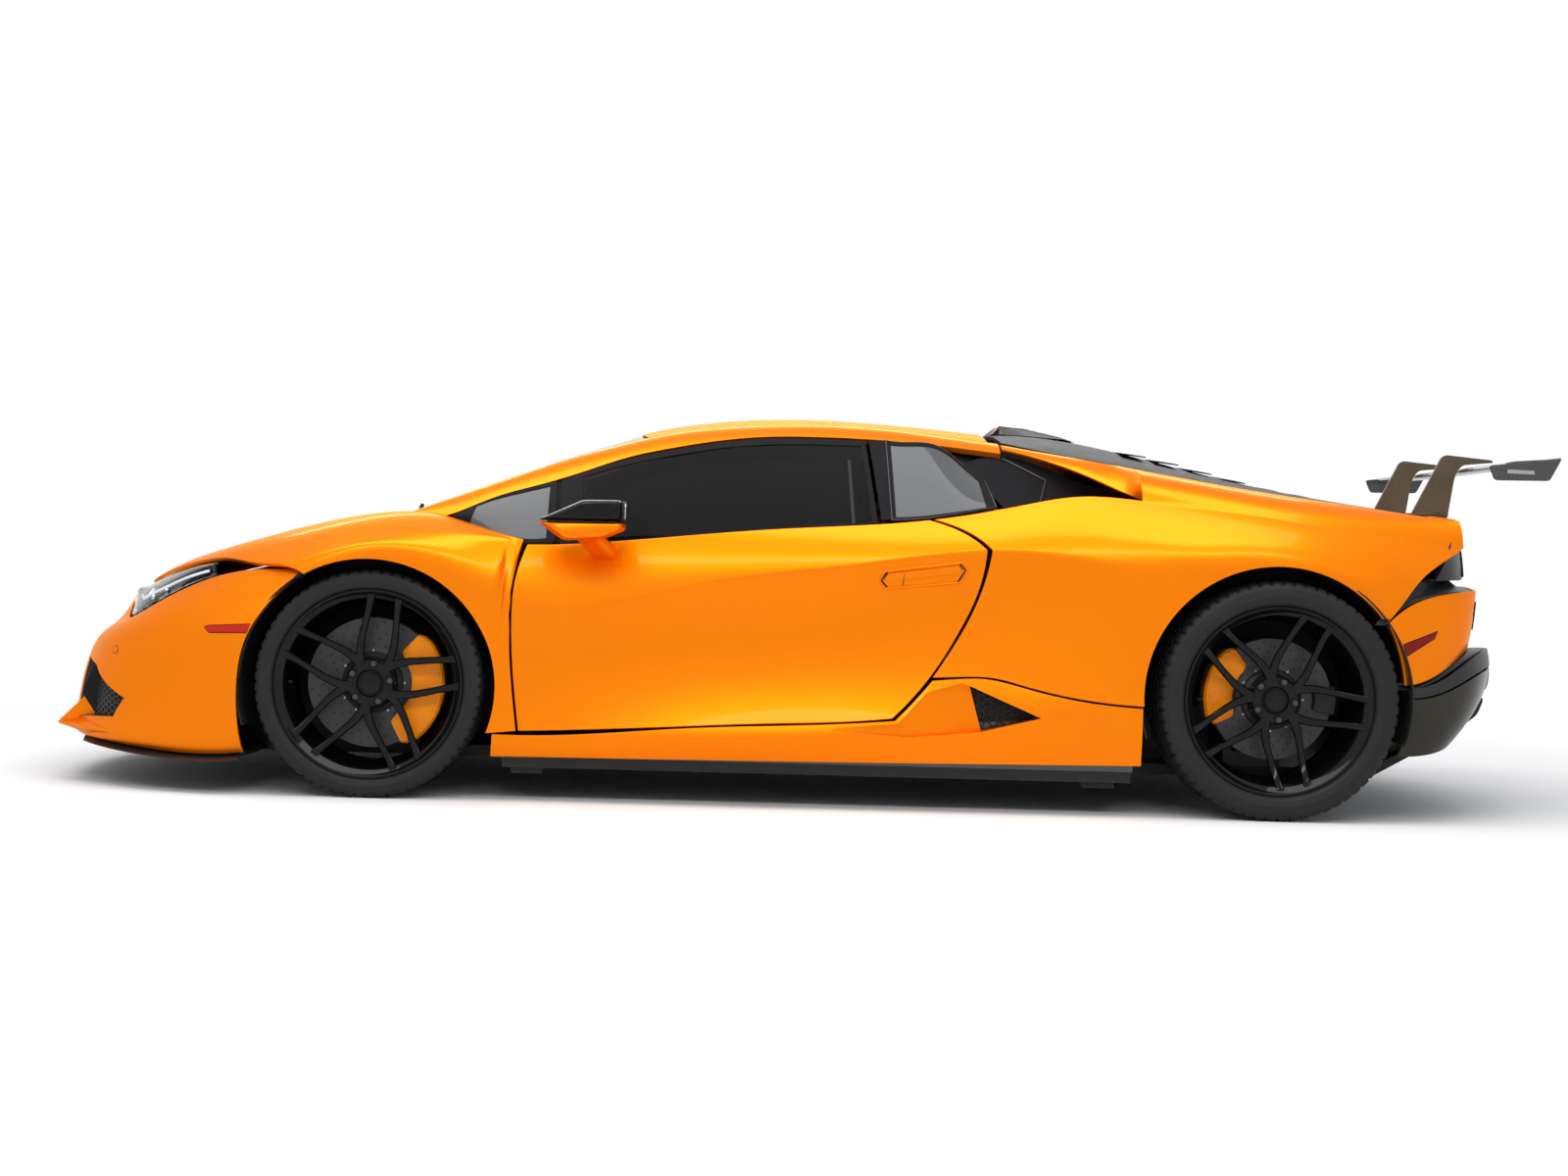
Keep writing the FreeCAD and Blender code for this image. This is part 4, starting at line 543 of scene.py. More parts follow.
def joined(*shapes):
    verts, faces = [], []
    for v, f in shapes:
        faces += [tuple(i + len(verts) for i in face) for face in f]
        verts += [tuple(p) for p in v]
    return verts, faces


def outward(verts, faces):
    # the same shape with every face turned to the outside
    mesh = bpy.data.meshes.new("turning")
    mesh.from_pydata([tuple(v) for v in verts], [], faces)
    bm = bmesh.new()
    bm.from_mesh(mesh)
    bmesh.ops.recalc_face_normals(bm, faces=bm.faces)
    bm.verts.ensure_lookup_table()
    faces = [tuple(v.index for v in f.verts) for f in bm.faces]
    verts = [tuple(v.co) for v in bm.verts]
    bm.free()
    bpy.data.meshes.remove(mesh)
    return verts, faces


def onAxis(axis, u, v, w):
    return {"x": (w, u, v), "y": (u, w, v), "z": (u, v, w)}[axis]


def prism(outline, axis, a, b):
    n = len(outline)
    verts = [onAxis(axis, u, v, w) for w in (a, b) for u, v in outline]
    faces = [tuple(range(n))[::-1], tuple(range(n, 2 * n))]
    return outward(verts, faces + [(i, (i + 1) % n, n + (i + 1) % n, n + i) for i in range(n)])


def lathe(profile, centre, steps=64, start=0.0, turn=360.0):
    # the profile is a ring of distances along y and radii, and it turns about the y axis
    full = turn == 360.0
    count = steps if full else steps + 1
    angles = np.radians(start + np.arange(count) * turn / steps)
    verts = [(centre[0] + r * math.cos(a), centre[1] + y, centre[2] + r * math.sin(a)) for a in angles
             for y, r in profile]
    m = len(profile)
    faces = []
    for i in range(steps):
        k = (i + 1) % count
        faces += [(i * m + j, i * m + (j + 1) % m, k * m + (j + 1) % m, k * m + j) for j in range(m)]
    if not full:
        faces += [tuple(range(m))[::-1], tuple(range(steps * m, steps * m + m))]
    return outward(verts, faces)


def latheAlongX(profile, centre, steps):
    cx, cy = centre[:2]
    verts, faces = lathe(profile, centre, steps)
    return outward([(cx + (y - cy), cy + (x - cx), z) for x, y, z in verts], faces)


def loft(sections):
    # rings of points joined one after another, with a face at either end
    rows, m = len(sections), len(sections[0])
    ends = [tuple(range(m))[::-1], tuple(range((rows - 1) * m, rows * m))]
    points = [tuple(p) for section in sections for p in section]
    return outward(points, gridFaces(rows, m, 0, False, True) + ends)


def tube(points, radius, sides=12):
    points = [Vector(p) for p in points]
    radii = radius if isinstance(radius, list) else [radius] * len(points)
    sections = []
    up = Vector((0, 0, 1))
    for i, (p, r) in enumerate(zip(points, radii)):
        along = (points[min(i + 1, len(points) - 1)] - points[max(i - 1, 0)]).normalized()
        if abs(along.dot(up)) > 0.95:
            up = Vector((1, 0, 0))
        side = along.cross(up).normalized()
        top = side.cross(along).normalized()
        sections.append([p + side * r * math.cos(a) + top * r * math.sin(a)
                         for a in (2 * math.pi * k / sides for k in range(sides))])
    return loft(sections)


def rounded(outline, radius, steps=5):
    # the outline with each corner turned into an arc-like curve
    n = len(outline)
    result = []
    for i in range(n):
        p = Vector(outline[i])
        a, b = Vector(outline[i - 1]), Vector(outline[(i + 1) % n])
        reach = min(radius, (a - p).length * 0.45, (b - p).length * 0.45)
        start, end = p + (a - p).normalized() * reach, p + (b - p).normalized() * reach
        for k in range(steps):
            t = k / (steps - 1)
            result.append(tuple(start * (1 - t) ** 2 + p * 2 * t * (1 - t) + end * t * t))
    return result


def surfaceAt(grid, us, vs):
    # a grid read between its own points, u across a row and v from row to row
    rows, cols = grid.shape[:2]
    i = np.clip(np.asarray(us, float) * (cols - 1), 0, cols - 1.000001)
    j = np.clip(np.asarray(vs, float) * (rows - 1), 0, rows - 1.000001)
    i0, j0 = i.astype(int), j.astype(int)
    fi, fj = (i - i0)[None, :, None], (j - j0)[:, None, None]
    a, b = grid[j0][:, i0], grid[j0][:, i0 + 1]
    c, d = grid[j0 + 1][:, i0], grid[j0 + 1][:, i0 + 1]
    return a * (1 - fi) * (1 - fj) + b * fi * (1 - fj) + c * (1 - fi) * fj + d * fi * fj


def bandShape(grid, widths, lift, split=48):
    # a frame round a surface's edge, as wide at bottom, top, start and end as the four widths
    rows, cols = grid.shape[:2]
    lengthU = np.linalg.norm(np.diff(grid[rows // 2], axis=0), axis=1).sum()
    lengthV = np.linalg.norm(np.diff(grid[:, cols // 2], axis=0), axis=1).sum()
    low, high = widths[0] / lengthV, 1 - widths[1] / lengthV
    first, last = widths[2] / lengthU, 1 - widths[3] / lengthU
    us = np.array([0.0, first] + list(np.linspace(first, last, split)[1:-1]) + [last, 1.0])
    vs = np.array([0.0, low] + list(np.linspace(low, high, 20)[1:-1]) + [high, 1.0])
    fine = surfaceAt(grid, us, vs)
    du = np.gradient(fine, axis=1)
    dv = np.gradient(fine, axis=0)
    normal = np.cross(du, dv)
    normal /= np.linalg.norm(normal, axis=2, keepdims=True) + 1e-9
    normal *= np.sign(normal[:, :, 1:2] + 1e-9)
    fine = fine + normal * lift
    across = len(us)
    faces = [(j * across + i, j * across + i + 1, (j + 1) * across + i + 1, (j + 1) * across + i)
             for j in range(len(vs) - 1) for i in range(across - 1)
             if i == 0 or i == across - 2 or j == 0 or j == len(vs) - 2]
    return list(fine.reshape(-1, 3)), faces


def probeFor(grids, axis, start):
    # finds the grids' surface from outside, along one axis
    verts, faces = sheet(grids)
    tree = BVHTree.FromPolygons([Vector(v) for v in verts], faces)
    ray = Vector(onAxis(axis, 0, 0, -1 if start > 0 else 1))

    def probe(u, v, level=0.0):
        hit, normal, index, distance = tree.ray_cast(Vector(onAxis(axis, u, v, start)), ray)
        if hit is None:
            hit, normal, index, distance = tree.find_nearest(Vector(onAxis(axis, u, v, start * 0.7)))
        if normal.dot(ray) > 0:
            normal = -normal
        return hit + normal * level

    return probe


def chain(points, count, closed=False):
    # points spread along straight runs, with the corners kept
    pts = np.array(list(points) + list(points[:1]) if closed else points, float)
    run = np.concatenate([[0], np.cumsum(np.linalg.norm(np.diff(pts, axis=0), axis=1))])
    run /= run[-1]
    t = np.linspace(0, 1, count + 1 if closed else count)
    for corner in run:
        t[np.argmin(np.abs(t - corner))] = corner
    spread = np.stack([np.interp(t, run, pts[:, k]) for k in range(pts.shape[1])], axis=1)
    return spread[:-1] if closed else spread


def plate(probe, lower, upper, lift, thickness, across=24, along=6, closed=False):
    # a thin plate that follows a surface between two chains of points, or a ring of it
    low, high = chain(lower, across, closed), chain(upper, across, closed)
    rows = []
    for level in (lift, lift - thickness):
        for j in range(along):
            t = j / (along - 1.0)
            rows.append([probe(*(low[i] * (1 - t) + high[i] * t), level) for i in range(across)])
    verts = [tuple(p) for row in rows for p in row]
    n, half = across, across * along
    faces = gridFaces(along, n, 0, True, closed) + gridFaces(along, n, half, False, closed)
    last = (along - 1) * n
    if closed:
        rings = [list(range(n)), [last + i for i in range(n)]]
    else:
        rings = [list(range(n)) + [j * n + n - 1 for j in range(1, along)]
                 + [last + i for i in range(n - 2, -1, -1)] + [j * n for j in range(along - 2, 0, -1)]]
    for ring in rings:
        for a, b in zip(ring, ring[1:] + ring[:1]):
            faces.append((a, b, half + b, half + a))
    return outward(verts, faces)


def combShape(outline, toPoint, cell, bar, depth):
    # hexagonal cells whose centres lie inside an outline, carried into place by toPoint(u, v, w)
    us, vs = [p[0] for p in outline], [p[1] for p in outline]
    verts, faces = [], []

    def inside(u, v):
        hit = False
        for (a, b), (c, d) in zip(outline, outline[1:] + outline[:1]):
            if (b > v) != (d > v) and u < (c - a) * (v - b) / (d - b) + a:
                hit = not hit
        return hit

    turns = [math.radians(60 * k) for k in range(6)]
    stepU, stepV = cell * 1.5, cell * math.sqrt(3)
    column = 0
    u = min(us)
    while u < max(us) + cell:
        v = min(vs) + (stepV / 2 if column % 2 else 0)
        while v < max(vs) + cell:
            if inside(u, v):
                start = len(verts)
                verts += [toPoint(u + radius * math.cos(a), v + radius * math.sin(a), w)
                          for w in (0.0, -depth) for radius in (cell * 1.02, cell - bar) for a in turns]
                for k in range(6):
                    q = (k + 1) % 6
                    faces.append((start + k, start + q, start + 6 + q, start + 6 + k))
                    faces.append((start + 6 + k, start + 6 + q, start + 18 + q, start + 18 + k))
                    faces.append((start + q, start + k, start + 12 + k, start + 12 + q))
            v += stepV
        u += stepU
        column += 1
    return outward(verts, faces)


# front fenders
archFront = {"x": 1239.0, "z": 320.0, "radius": 367.0}
archRear = {"x": -1377.0, "z": 348.0, "radius": 384.0}
fenderSpec = {"thickness": 10, "edge": 2.2, "across": 90, "along": 56, "gap": 6}
doorFrontLine = [(802, 203), (817, 315), (829, 459), (829, 574), (818, 660), (792, 741)]


def fenderGrids():
    n = fenderSpec
    arch = archEdge(archFront, 60, 150, 13)
    seam = resample([arch[0], (1520, 3.62), (1600, 4.0), (1697, 4.5), (1790, 4.95), (1880, 5.35),
                     (1990, 5.97)], 8)
    top = resample([(1990, 5.97), (1650, 6), (1350, 6), (1180, 6), (1000, 6), (803, 5.9)], 13)
    back = resample([arch[-1], (893, 3.0), (850, 4.1), (822, 5.1), (803, 5.9)], 8)
    main = coons(arch, top, seam, back)
    doorEdge = [(x + n["gap"], levelAt(x, z, 0, 4)) for x, z in doorFrontLine]
    legTop = [(803, 5.9)] + [tuple(p) for p in resample(doorEdge[::-1], 7)[1:]]
    legBottom = archEdge(archFront, 150, 200, 7)
    leg = coons(legBottom, legTop, back, resample([legBottom[-1], legTop[-1]], 8))
    return [dense(skinPatch(main), n["across"], n["along"]), dense(skinPatch(leg), 44, n["along"])]


fenderSheets = fenderGrids()
panelPair("frontFender", fenderSheets, both, fenderSpec, ("front_fender_left", "front_fender_right"), True)

# doors
doorSpec = {"thickness": 10, "edge": 2.2, "across": 110, "low": 60, "high": 26}
doorRearLine = [(-273, 268), (-322, 317), (-377, 383), (-446, 492), (-514, 638), (-540, 750)]


def doorPatches():
    bottom = resample(onSkin([(802, 203), (560, 215), (318, 230), (120, 242), (-76, 251), (-273, 268)]), 12)
    left = resample(onSkin(doorFrontLine[:4]), 6)
    right = resample(onSkin(doorRearLine), 6)
    left[-1], right[-1] = (829, 3.0), (-536, 3.0)
    waist = resample([(829, 3.0), (500, 3.0), (0, 3.0), (-536, 3.0)], 12)
    beltLeft = resample([(829, 3.0), (818, 3.5), (792, 4.0)], 4)
    beltRight = resample([(-536, 3.0), (-480, 3.45), (-371, 4.0)], 4)
    belt = resample([(792, 4.0), (500, 4.0), (0, 4.0), (-371, 4.0)], 12)
    return coons(bottom, waist, left, right), coons(waist, belt, beltLeft, beltRight)


doorLow, doorHigh = doorPatches()
doorGrids = [dense(skinPatch(doorLow), doorSpec["across"], doorSpec["low"]),
             dense(skinPatch(doorHigh), doorSpec["across"], doorSpec["high"])]
panelPair("doorSkin", doorGrids, doors, doorSpec, doors)

# rear quarters with the buttress strip up to the roof
quarterSpec = {"thickness": 10, "edge": 2.2, "along": 50}


def quarterGrids():
    gap = 6.0
    front = onSkin([(x - 1.4 * gap, z) for x, z in doorRearLine[2:]])
    front[0] = (-387.6, levelAt(-387.6, 387))
    front[-1] = (-544 - gap, 3.0)
    archA = archEdge(archRear, -4, 62, 7)
    blade = [(-453, 390), (-523, 394), (-663, 367), (-800, 339)]
    sill = resample([front[0]] + onSkin(blade) + [tuple(archA[0])], 8)
    waist = resample([front[-1], (-800, 2.95), tuple(archA[-1])], 8)
    low = coons(sill, waist, resample(front, 7), archA)
    corner = resample([front[-1], (-480 - 2.4 * gap, 3.45), (-371 - 2.4 * gap, 4.0)], 5)
    top = resample([tuple(corner[-1]), (-700, 4.0), (-994, 4.0)], 8)
    middle = resample([tuple(archA[-1]), (-1120, 3.3), (-994, 4.0)], 5)
    high = coons(waist, top, corner, middle)
    archB = archEdge(archRear, 62, 144, 8)
    haunch = resample([(-994, 4.0), (-1400, 4.0), (-1945, 4.0)], 8)
    tail = resample([tuple(archB[-1])] + onSkin([(-1722, 606), (-1778, 690), (-1830, 730)])
                    + [(-1945, 4.0)], 5)
    back = coons(archB, haunch, middle, tail)
    shelf = coons(haunch, resample([(-994, 6.0), (-1400, 6.0), (-1935, 6.0)], 8),
                  resample([(-994, 4.0), (-994, 6.0)], 4), resample([(-1945, 4.0), (-1935, 6.0)], 4))
    coarse = [skinPatch(g) for g in (low, high, back, shelf)]
    lower = resample([(-600, 652, 1064), (-709, 655, 1037), (-825, 675, 998), (-936, 730, 947),
                      (-994, 826, 915)], 6)
    xs = resample([(-600, 0), (-994, 0)], 6)[:, 0]
    upper = np.concatenate([xs[:, None], bodyLines["deckLine"].at(xs)], axis=1)
    strip = bowed(lower, upper, (0, 8, 6))
    for row, shelfRow in zip(strip, coarse[3]):
        row[-1] = shelfRow[0]
    return [dense(rows, across, along) for rows, across, along in zip(
        coarse + [strip], (56, 56, 70, 70, 40), (quarterSpec["along"], 26, 26, 18, 18))]


quarterSheets = quarterGrids()
panelPair("rearQuarter", quarterSheets, both, quarterSpec, ("rear_quarter_left", "rear_quarter_right"))
print("side panels made")


# bumpers run round the car from arch to arch
def wrapGrid(rows, across, along):
    coarse = []
    for row in rows:
        half = resample(row, 9)
        coarse.append(np.concatenate([half, half[-2::-1] * np.array([1, -1, 1])]))
    return dense(coarse, across, along)


bumperSpec = {"thickness": 10, "edge": 2.0}
frontRows = [
    [(1590, 930, 122), (1720, 905, 112), (1880, 845, 118), (2020, 750, 128), (2140, 590, 135),
     (2219, 320, 138), (2240.6, 0, 138)],
    [(1608, 950, 225), (1735, 925, 222), (1890, 870, 222), (2035, 770, 222), (2150, 590, 222),
     (2224, 320, 220), (2244.6, 0, 220)],
    [(1606, 954, 375), (1740, 928, 378), (1890, 868, 380), (2020, 770, 382), (2115, 600, 384),
     (2180, 330, 386), (2198, 0, 386)],
    [(1560, 948, 505), (1715, 916, 496), (1850, 858, 486), (1960, 765, 474), (2055, 605, 462),
     (2125, 330, 456), (2146, 0, 456)],
    [(1432, 925, 652), (1560, 880, 648), (1700, 802, 626), (1850, 758, 562), (1950, 688, 512),
     (2008, 600, 486), (2034, 480, 508), (2050, 370, 545), (2078, 200, 552), (2096, 0, 546)],
]

sideIntake = [(545, 188), (800, 205), (832, 262), (700, 352), (560, 372)]
lowerIntake = [(-430, 176), (430, 176), (470, 255), (360, 300), (-360, 300), (-470, 255)]
cutters = [meshObject("cutter", prism(outline, "x", 1700, 2400))
           for outline in (sideIntake, [(-y, z) for y, z in sideIntake], lowerIntake)]
frontGrid = wrapGrid(frontRows, 181, 60)
panelPiece("frontBumperSkin", [frontGrid], "body", bumperSpec, ["front_bumper"], flip=True, cutters=cutters)
discard(*cutters)

rearRows = [
    [(-1745, 938, 400), (-1800, 905, 412), (-1880, 850, 440), (-1945, 780, 480), (-2030, 560, 500),
     (-2085, 300, 505), (-2100, 0, 505)],
    [(-1728, 940, 490), (-1800, 905, 505), (-1885, 850, 530), (-1958, 780, 560), (-2040, 560, 570),
     (-2098, 300, 575), (-2112, 0, 575)],
    [(-1694, 940, 575), (-1790, 895, 640), (-1880, 845, 665), (-1965, 780, 672), (-2045, 560, 680),
     (-2100, 300, 685), (-2115, 0, 685)],
]
rearGrid = wrapGrid(rearRows, 161, 30)
panelPiece("rearBumperSkin", [rearGrid], "body", bumperSpec, ["rear_bumper"])
print("bumpers made")


# panels that span the car: from a line along the middle out to a line down each side
def spanGrid(spec):
    coarse = []
    for share in (-1.0, -0.7, -0.35, 0.0, 0.35, 0.7, 1.0):
        blend = share * share
        crown = spec["rise"] * (1 - blend) * blend
        coarse.append([(cx + (x - cx) * blend, y * share, cz + (z - cz) * blend + crown)
                       for (x, y, z), (cx, cz) in zip(spec["side"], spec["centre"])])
    return dense(coarse, *spec["sampling"])


hoodClearance = np.array([8.4, 0])
bonnetSpec = {"side": [(x, *(bodyLines["hoodEdge"].at(x) - hoodClearance))
                       for x in (1988, 1840, 1690, 1540, 1380, 1225)],
              "centre": [(2083, 553), (1930, 638), (1760, 704), (1590, 752), (1430, 786), (1285, 812)],
              "rise": 10, "sampling": (70, 90), "thickness": 9, "edge": 2.2}
screenSpec = {"side": [(1172, 690, 822), (1040, 658, 873), (900, 630, 927), (760, 606, 980),
                       (620, 580, 1027), (470, 550, 1068)],
              "centre": [(1262, 812), (1130, 862), (975, 921), (815, 982), (660, 1041), (512, 1096)],
              "rise": 6, "sampling": (60, 70), "thickness": 5, "edge": 1.0}
roofSpec = {
    "side": [(462, 549, 1074), (350, 536, 1097), (172, 516, 1119), (-66, 511, 1128), (-305, 516, 1117),
             (-566, 538, 1087)],
    "centre": [(503, 1100), (380, 1131), (200, 1155), (0, 1164), (-250, 1157), (-566, 1133)],
    "rise": 4, "sampling": (80, 70), "thickness": 24, "edge": 3.0}
lidSpec = {
    "side": [(-608, 538, 1086), (-833, 580, 1044), (-1126, 622, 995), (-1415, 672, 948), (-1700, 708, 911),
             (-1860, 720, 893)],
    "centre": [(-602, 1130), (-833, 1122), (-1126, 1062), (-1415, 992), (-1700, 938), (-1890, 908)],
    "rise": 0, "sampling": (100, 70), "thickness": 12, "edge": 2.2}
deckSpec = {
    "side": [(-1868, 718, 892), (-1905, 715, 888), (-1935, 700, 884)],
    "centre": [(-1898, 907), (-1990, 907), (-2075, 898)],
    "rise": 0, "sampling": (30, 90), "thickness": 14, "edge": 2.2}
for label, body, spec, node, finish in (("bonnetSkin", "bonnet", bonnetSpec, "bonnet", "paint"),
                                        ("windscreenGlass", "body", screenSpec, "windscreen", "screenGlass"),
                                        ("roofSkin", "body", roofSpec, "roof", "paint"),
                                        ("engineLidSkin", "engine_lid", lidSpec, "engine_lid", "deckBlack"),
                                        ("tailDeckSkin", "body", deckSpec, "tail_deck", "paint")):
    panelPiece(label, [spanGrid(spec)], body, spec, [node], flip=True, finish=finish)

railSpec = {"thickness": 18, "edge": 3.0}
railOuter = [(1169, 698, 808), (1040, 738, 822), (921, 722, 873), (719, 692, 937), (521, 662, 1008),
             (352, 642, 1048), (171, 630, 1077), (-64, 622, 1086), (-300, 627, 1078), (-534, 642, 1056),
             (-594, 650, 1049)]
railInner = [(1176, 694, 822), (1044, 662, 873), (930, 640, 917), (745, 606, 985), (560, 572, 1045),
             (420, 548, 1083), (172, 520, 1119), (-66, 515, 1128), (-305, 520, 1117), (-543, 538, 1089),
             (-594, 545, 1083)]


def railGrid():
    return dense(bowed(resample(railOuter, 14), resample(railInner, 14), (0, 5, 6)), 110, 14)


panelPair("roofRail", [railGrid()], both, railSpec, ["roof_rails"])
print("roof, lids and glass made")


# side skirts: a ramp under the door runs back into an intake below a blade
skirtSpec = {
    "thickness": 50, "edge": 2.4, "gap": 6, "stops": (880, -281, -387, -990),
    "blade": [(-387.6, 378), (-453, 384), (-523, 388), (-663, 361), (-800, 333), (-990, 315)],
    "ramp": [(-70, 232), (-290, 254), (-372, 344), (-470, 374), (-502, 364), (-535, 238), (-320, 216)],
    "plan": [(-60, 1000), (-60, 958), (-505, 908), (-540, 908), (-540, 1000)],
    "intake": [(-496, 366), (-699, 280), (-531, 238)],
}


def skirtGrids():
    n = skirtSpec
    gap = n["gap"]
    underDoor = [(876, 192), (802, 197 - gap), (318, 230 - gap), (-76, 251 - gap), (-281, 261)]
    rise = [(-281, 261), (-331, 312), n["blade"][0]]
    grids = []
    for part, (edge, count, across) in enumerate(((underDoor, 10, 110), (rise, 4, 24), (n["blade"], 9, 80))):
        top = resample(onSkin(edge), count)
        start, end = n["stops"][part], n["stops"][part + 1]
        low = resample([(start, 0.0), ((start + end) / 2.0, 0.0), (end, 0.0)], count)
        patch = coons(low, top, resample([low[0], top[0]], 5), resample([low[-1], top[-1]], 5))
        grids.append(dense(skinPatch(patch), across, 30))
    return grids


def skirtPiece(name, grids, side, stands=()):
    n = skirtSpec
    ramp = meshObject(name + "Ramp", prism(n["ramp"], "y", side * 800, side * 1010))
    plan = meshObject(name + "Plan", prism([(x, side * y) for x, y in n["plan"]], "z", 150, 450))
    combined(ramp, plan, "INTERSECT")
    applied(ramp)
    mouth = meshObject(name + "Mouth", prism(n["intake"], "y", side * 850, side * 1010))
    panelPiece(name, grids, "body", n, stands, side < 0, cutters=(ramp, mouth))
    discard(ramp, plan, mouth)


skirtSheets = skirtGrids()
skirtPiece("sideSkirtLeft", skirtSheets, 1, ["side_skirts"])
skirtPiece("sideSkirtRight", [g * acrossCar for g in skirtSheets], -1)
meshOutline = [(-484, 372), (-706, 279), (-524, 228)]
makePair("skirtMesh", combShape(meshOutline, lambda u, v, w: (u, 896 + w, v), 13, 2.2, 7), "satinBlack",
         sharp=30, weld=0)
makePair("skirtDark", prism(meshOutline, "y", 884, 887), "coarseBlack")
print("skirts made")

# greenhouse: panes, black frames, pillar strips and the intake behind the glass
railEdge = line(*railOuter)


def underRail(stations, clearance):
    # points below the rail's outer edge, out and down by the clearance
    return [(x, railEdge.at(x)[0] + 0.7 * clearance, railEdge.at(x)[1] - 0.7 * clearance) for x in stations]


def paneGrid(bottom, top, count, bow=10, across=60, along=24):
    return dense(bowed(resample(bottom, count), resample(top, count), (0, bow, 0)), across, along)


glassSpec = {"thickness": 5, "edge": 0.6}
doorPane = paneGrid([(700, 870, 735), (484, 868, 748), (50, 860, 793), (-225, 848, 815)],
                    underRail((712, 521, 352, 171, -64, -190), 11), 8, across=90)
frontPane = paneGrid([(1034, 750, 810), (930, 806, 777), (800, 868, 744), (716, 866, 752)],
                     underRail((1010, 960, 921, 870, 820, 770, 724), 4), 7)
rearPane = paneGrid([(-262, 846, 838), (-371, 842, 846), (-480, 835, 866), (-570, 826, 884)],
                    underRail((-250, -330, -400), 0.3) + [(-470, 655, 1020), (-545, 715, 962)], 6)
strip = paneGrid([(-234, 841, 838), (-262, 840, 841), (-292, 838, 844)], underRail((-200, -225, -248), 2),
                 4, 6)
duct = paneGrid([(-592, 816, 884), (-690, 770, 893), (-800, 690, 893), (-915, 600, 884)],
                [(-476, 648, 1012), (-600, 634, 1040), (-760, 620, 1000), (-915, 580, 945)], 7, 0)
panelPair("doorGlass", [doorPane], doors, glassSpec, ("door_glass_left", "door_glass_right"),
          finish="sideGlass")
panelPair("frontQuarterGlass", [frontPane], both, glassSpec, ["quarter_windows"], finish="greyGlass")
panelPair("rearQuarterGlass", [rearPane], both, glassSpec, finish="greyGlass")
panelPair("pillarStrip", [strip], both, {"thickness": 9, "edge": 1.2}, ["side_trim"], finish="deckBlack")
panelPair("intakePanel", [duct], both, {"thickness": 8, "edge": 1.2}, finish="deckBlack")
for label, grid, widths, home in (("doorGlassFrame", doorPane, (20, 24, 70, 16), doors),
                                  ("frontGlassFrame", frontPane, (12, 12, 60, 20), both),
                                  ("rearGlassFrame", rearPane, (10, 14, 14, 30), both)):
    makePair(label, bandShape(grid, widths, 1.2), "deckBlack", home, thickness=2.6, edge=0.5, offset=0)
makePair("rearGlassLine", bandShape(rearPane, (2.5, 2.5, 2.5, 4), 2.9), "steelDark", slot="gloss_black",
         thickness=0.8, offset=0)
divider = paneGrid([(722, 854, 745), (692, 856, 731)], underRail((732, 704), 20), 4, 3, 12, 12)
makePair("glassDivider", sheet([divider]), "deckBlack", thickness=3)


# the facet ridge across the intake panel, and the orange shelf below it
ductProbe = probeFor([duct], "y", 1300.0)
corners = [surfaceAt(duct, [along], [up])[0, 0] for up, along in ((0.05, 0.33), (0.6, 0.51), (0.95, 0.27))]
ridge = [ductProbe(x, z, 2.0) for x, z in chain([(x, z) for x, y, z in corners], 40)]
makePair("intakeRidge", tube(ridge, 2.8, 8), "steelDark", slot="gloss_black", sharp=60)


def shelfGrid():
    xs = np.linspace(-560, -975, 9)
    outer = skin(xs, np.full(9, 4.0)) + np.array([0, -2, -1.5])
    t = np.linspace(0, 1, 9)
    depth = 12 + 150 * np.sin(np.pi * np.clip(t * 0.94, 0, 1)) ** 0.8
    inner = outer + np.stack([np.zeros(9), -depth, -2 - 0.12 * depth], axis=1)
    return dense([outer, outer * 0.5 + inner * 0.5 + np.array([0, 0, 5]), inner], 50, 12)


panelPair("intakeShelf", [shelfGrid()], both, {"thickness": 5, "edge": 1.5})
print("greenhouse made")

# wheels, each made once and carried to both sides
wheelSpecs = {
    "front": {"centre": (1235.0, 830.0, 327.5), "width": 245.0, "recess": 36, "pair": 80.6, "disc": 190.0,
              "caliper": (117, 110), "turns": ("knuckle_left", "knuckle_right")},
    "rear": {"centre": (-1385.0, 806.0, 345.5), "width": 305.0, "recess": 56, "pair": 65.4, "disc": 178.0,
             "caliper": (308, 77), "turns": both},
}
# the rim's edge and the face of its hub, outward from the wheel's middle
for spec in wheelSpecs.values():
    spec["lip"] = 0.44 * spec["width"]
    spec["face"] = spec["lip"] - spec["recess"]
spokePitch, boltCircle, pinCircle = 72, 58, 93
tyreSpec = {"rim": 273.5, "pitches": 64, "stepsPerPitch": 5, "grooveDepth": 6.5, "shoulderCut": 5.0,
            "grooves": (0.29, 0.10), "grooveHalf": 0.017}
# how far out and how high each point of the sidewall stands, as shares of the width and of the height
sidewall = [(0.425, 0.0), (0.447, 0.02), (0.466, 0.06), (0.479, 0.11), (0.483, 0.15), (0.4855, 0.16),
            (0.488, 0.21), (0.494, 0.30), (0.4975, 0.37), (0.4995, 0.38), (0.4995, 0.42), (0.4980, 0.43),
            (0.4975, 0.56), (0.4935, 0.66), (0.4950, 0.67), (0.4925, 0.71), (0.4895, 0.72), (0.480, 0.81),
            (0.468, 0.885), (0.452, 0.94), (0.43, 0.975), (0.405, 0.995)]


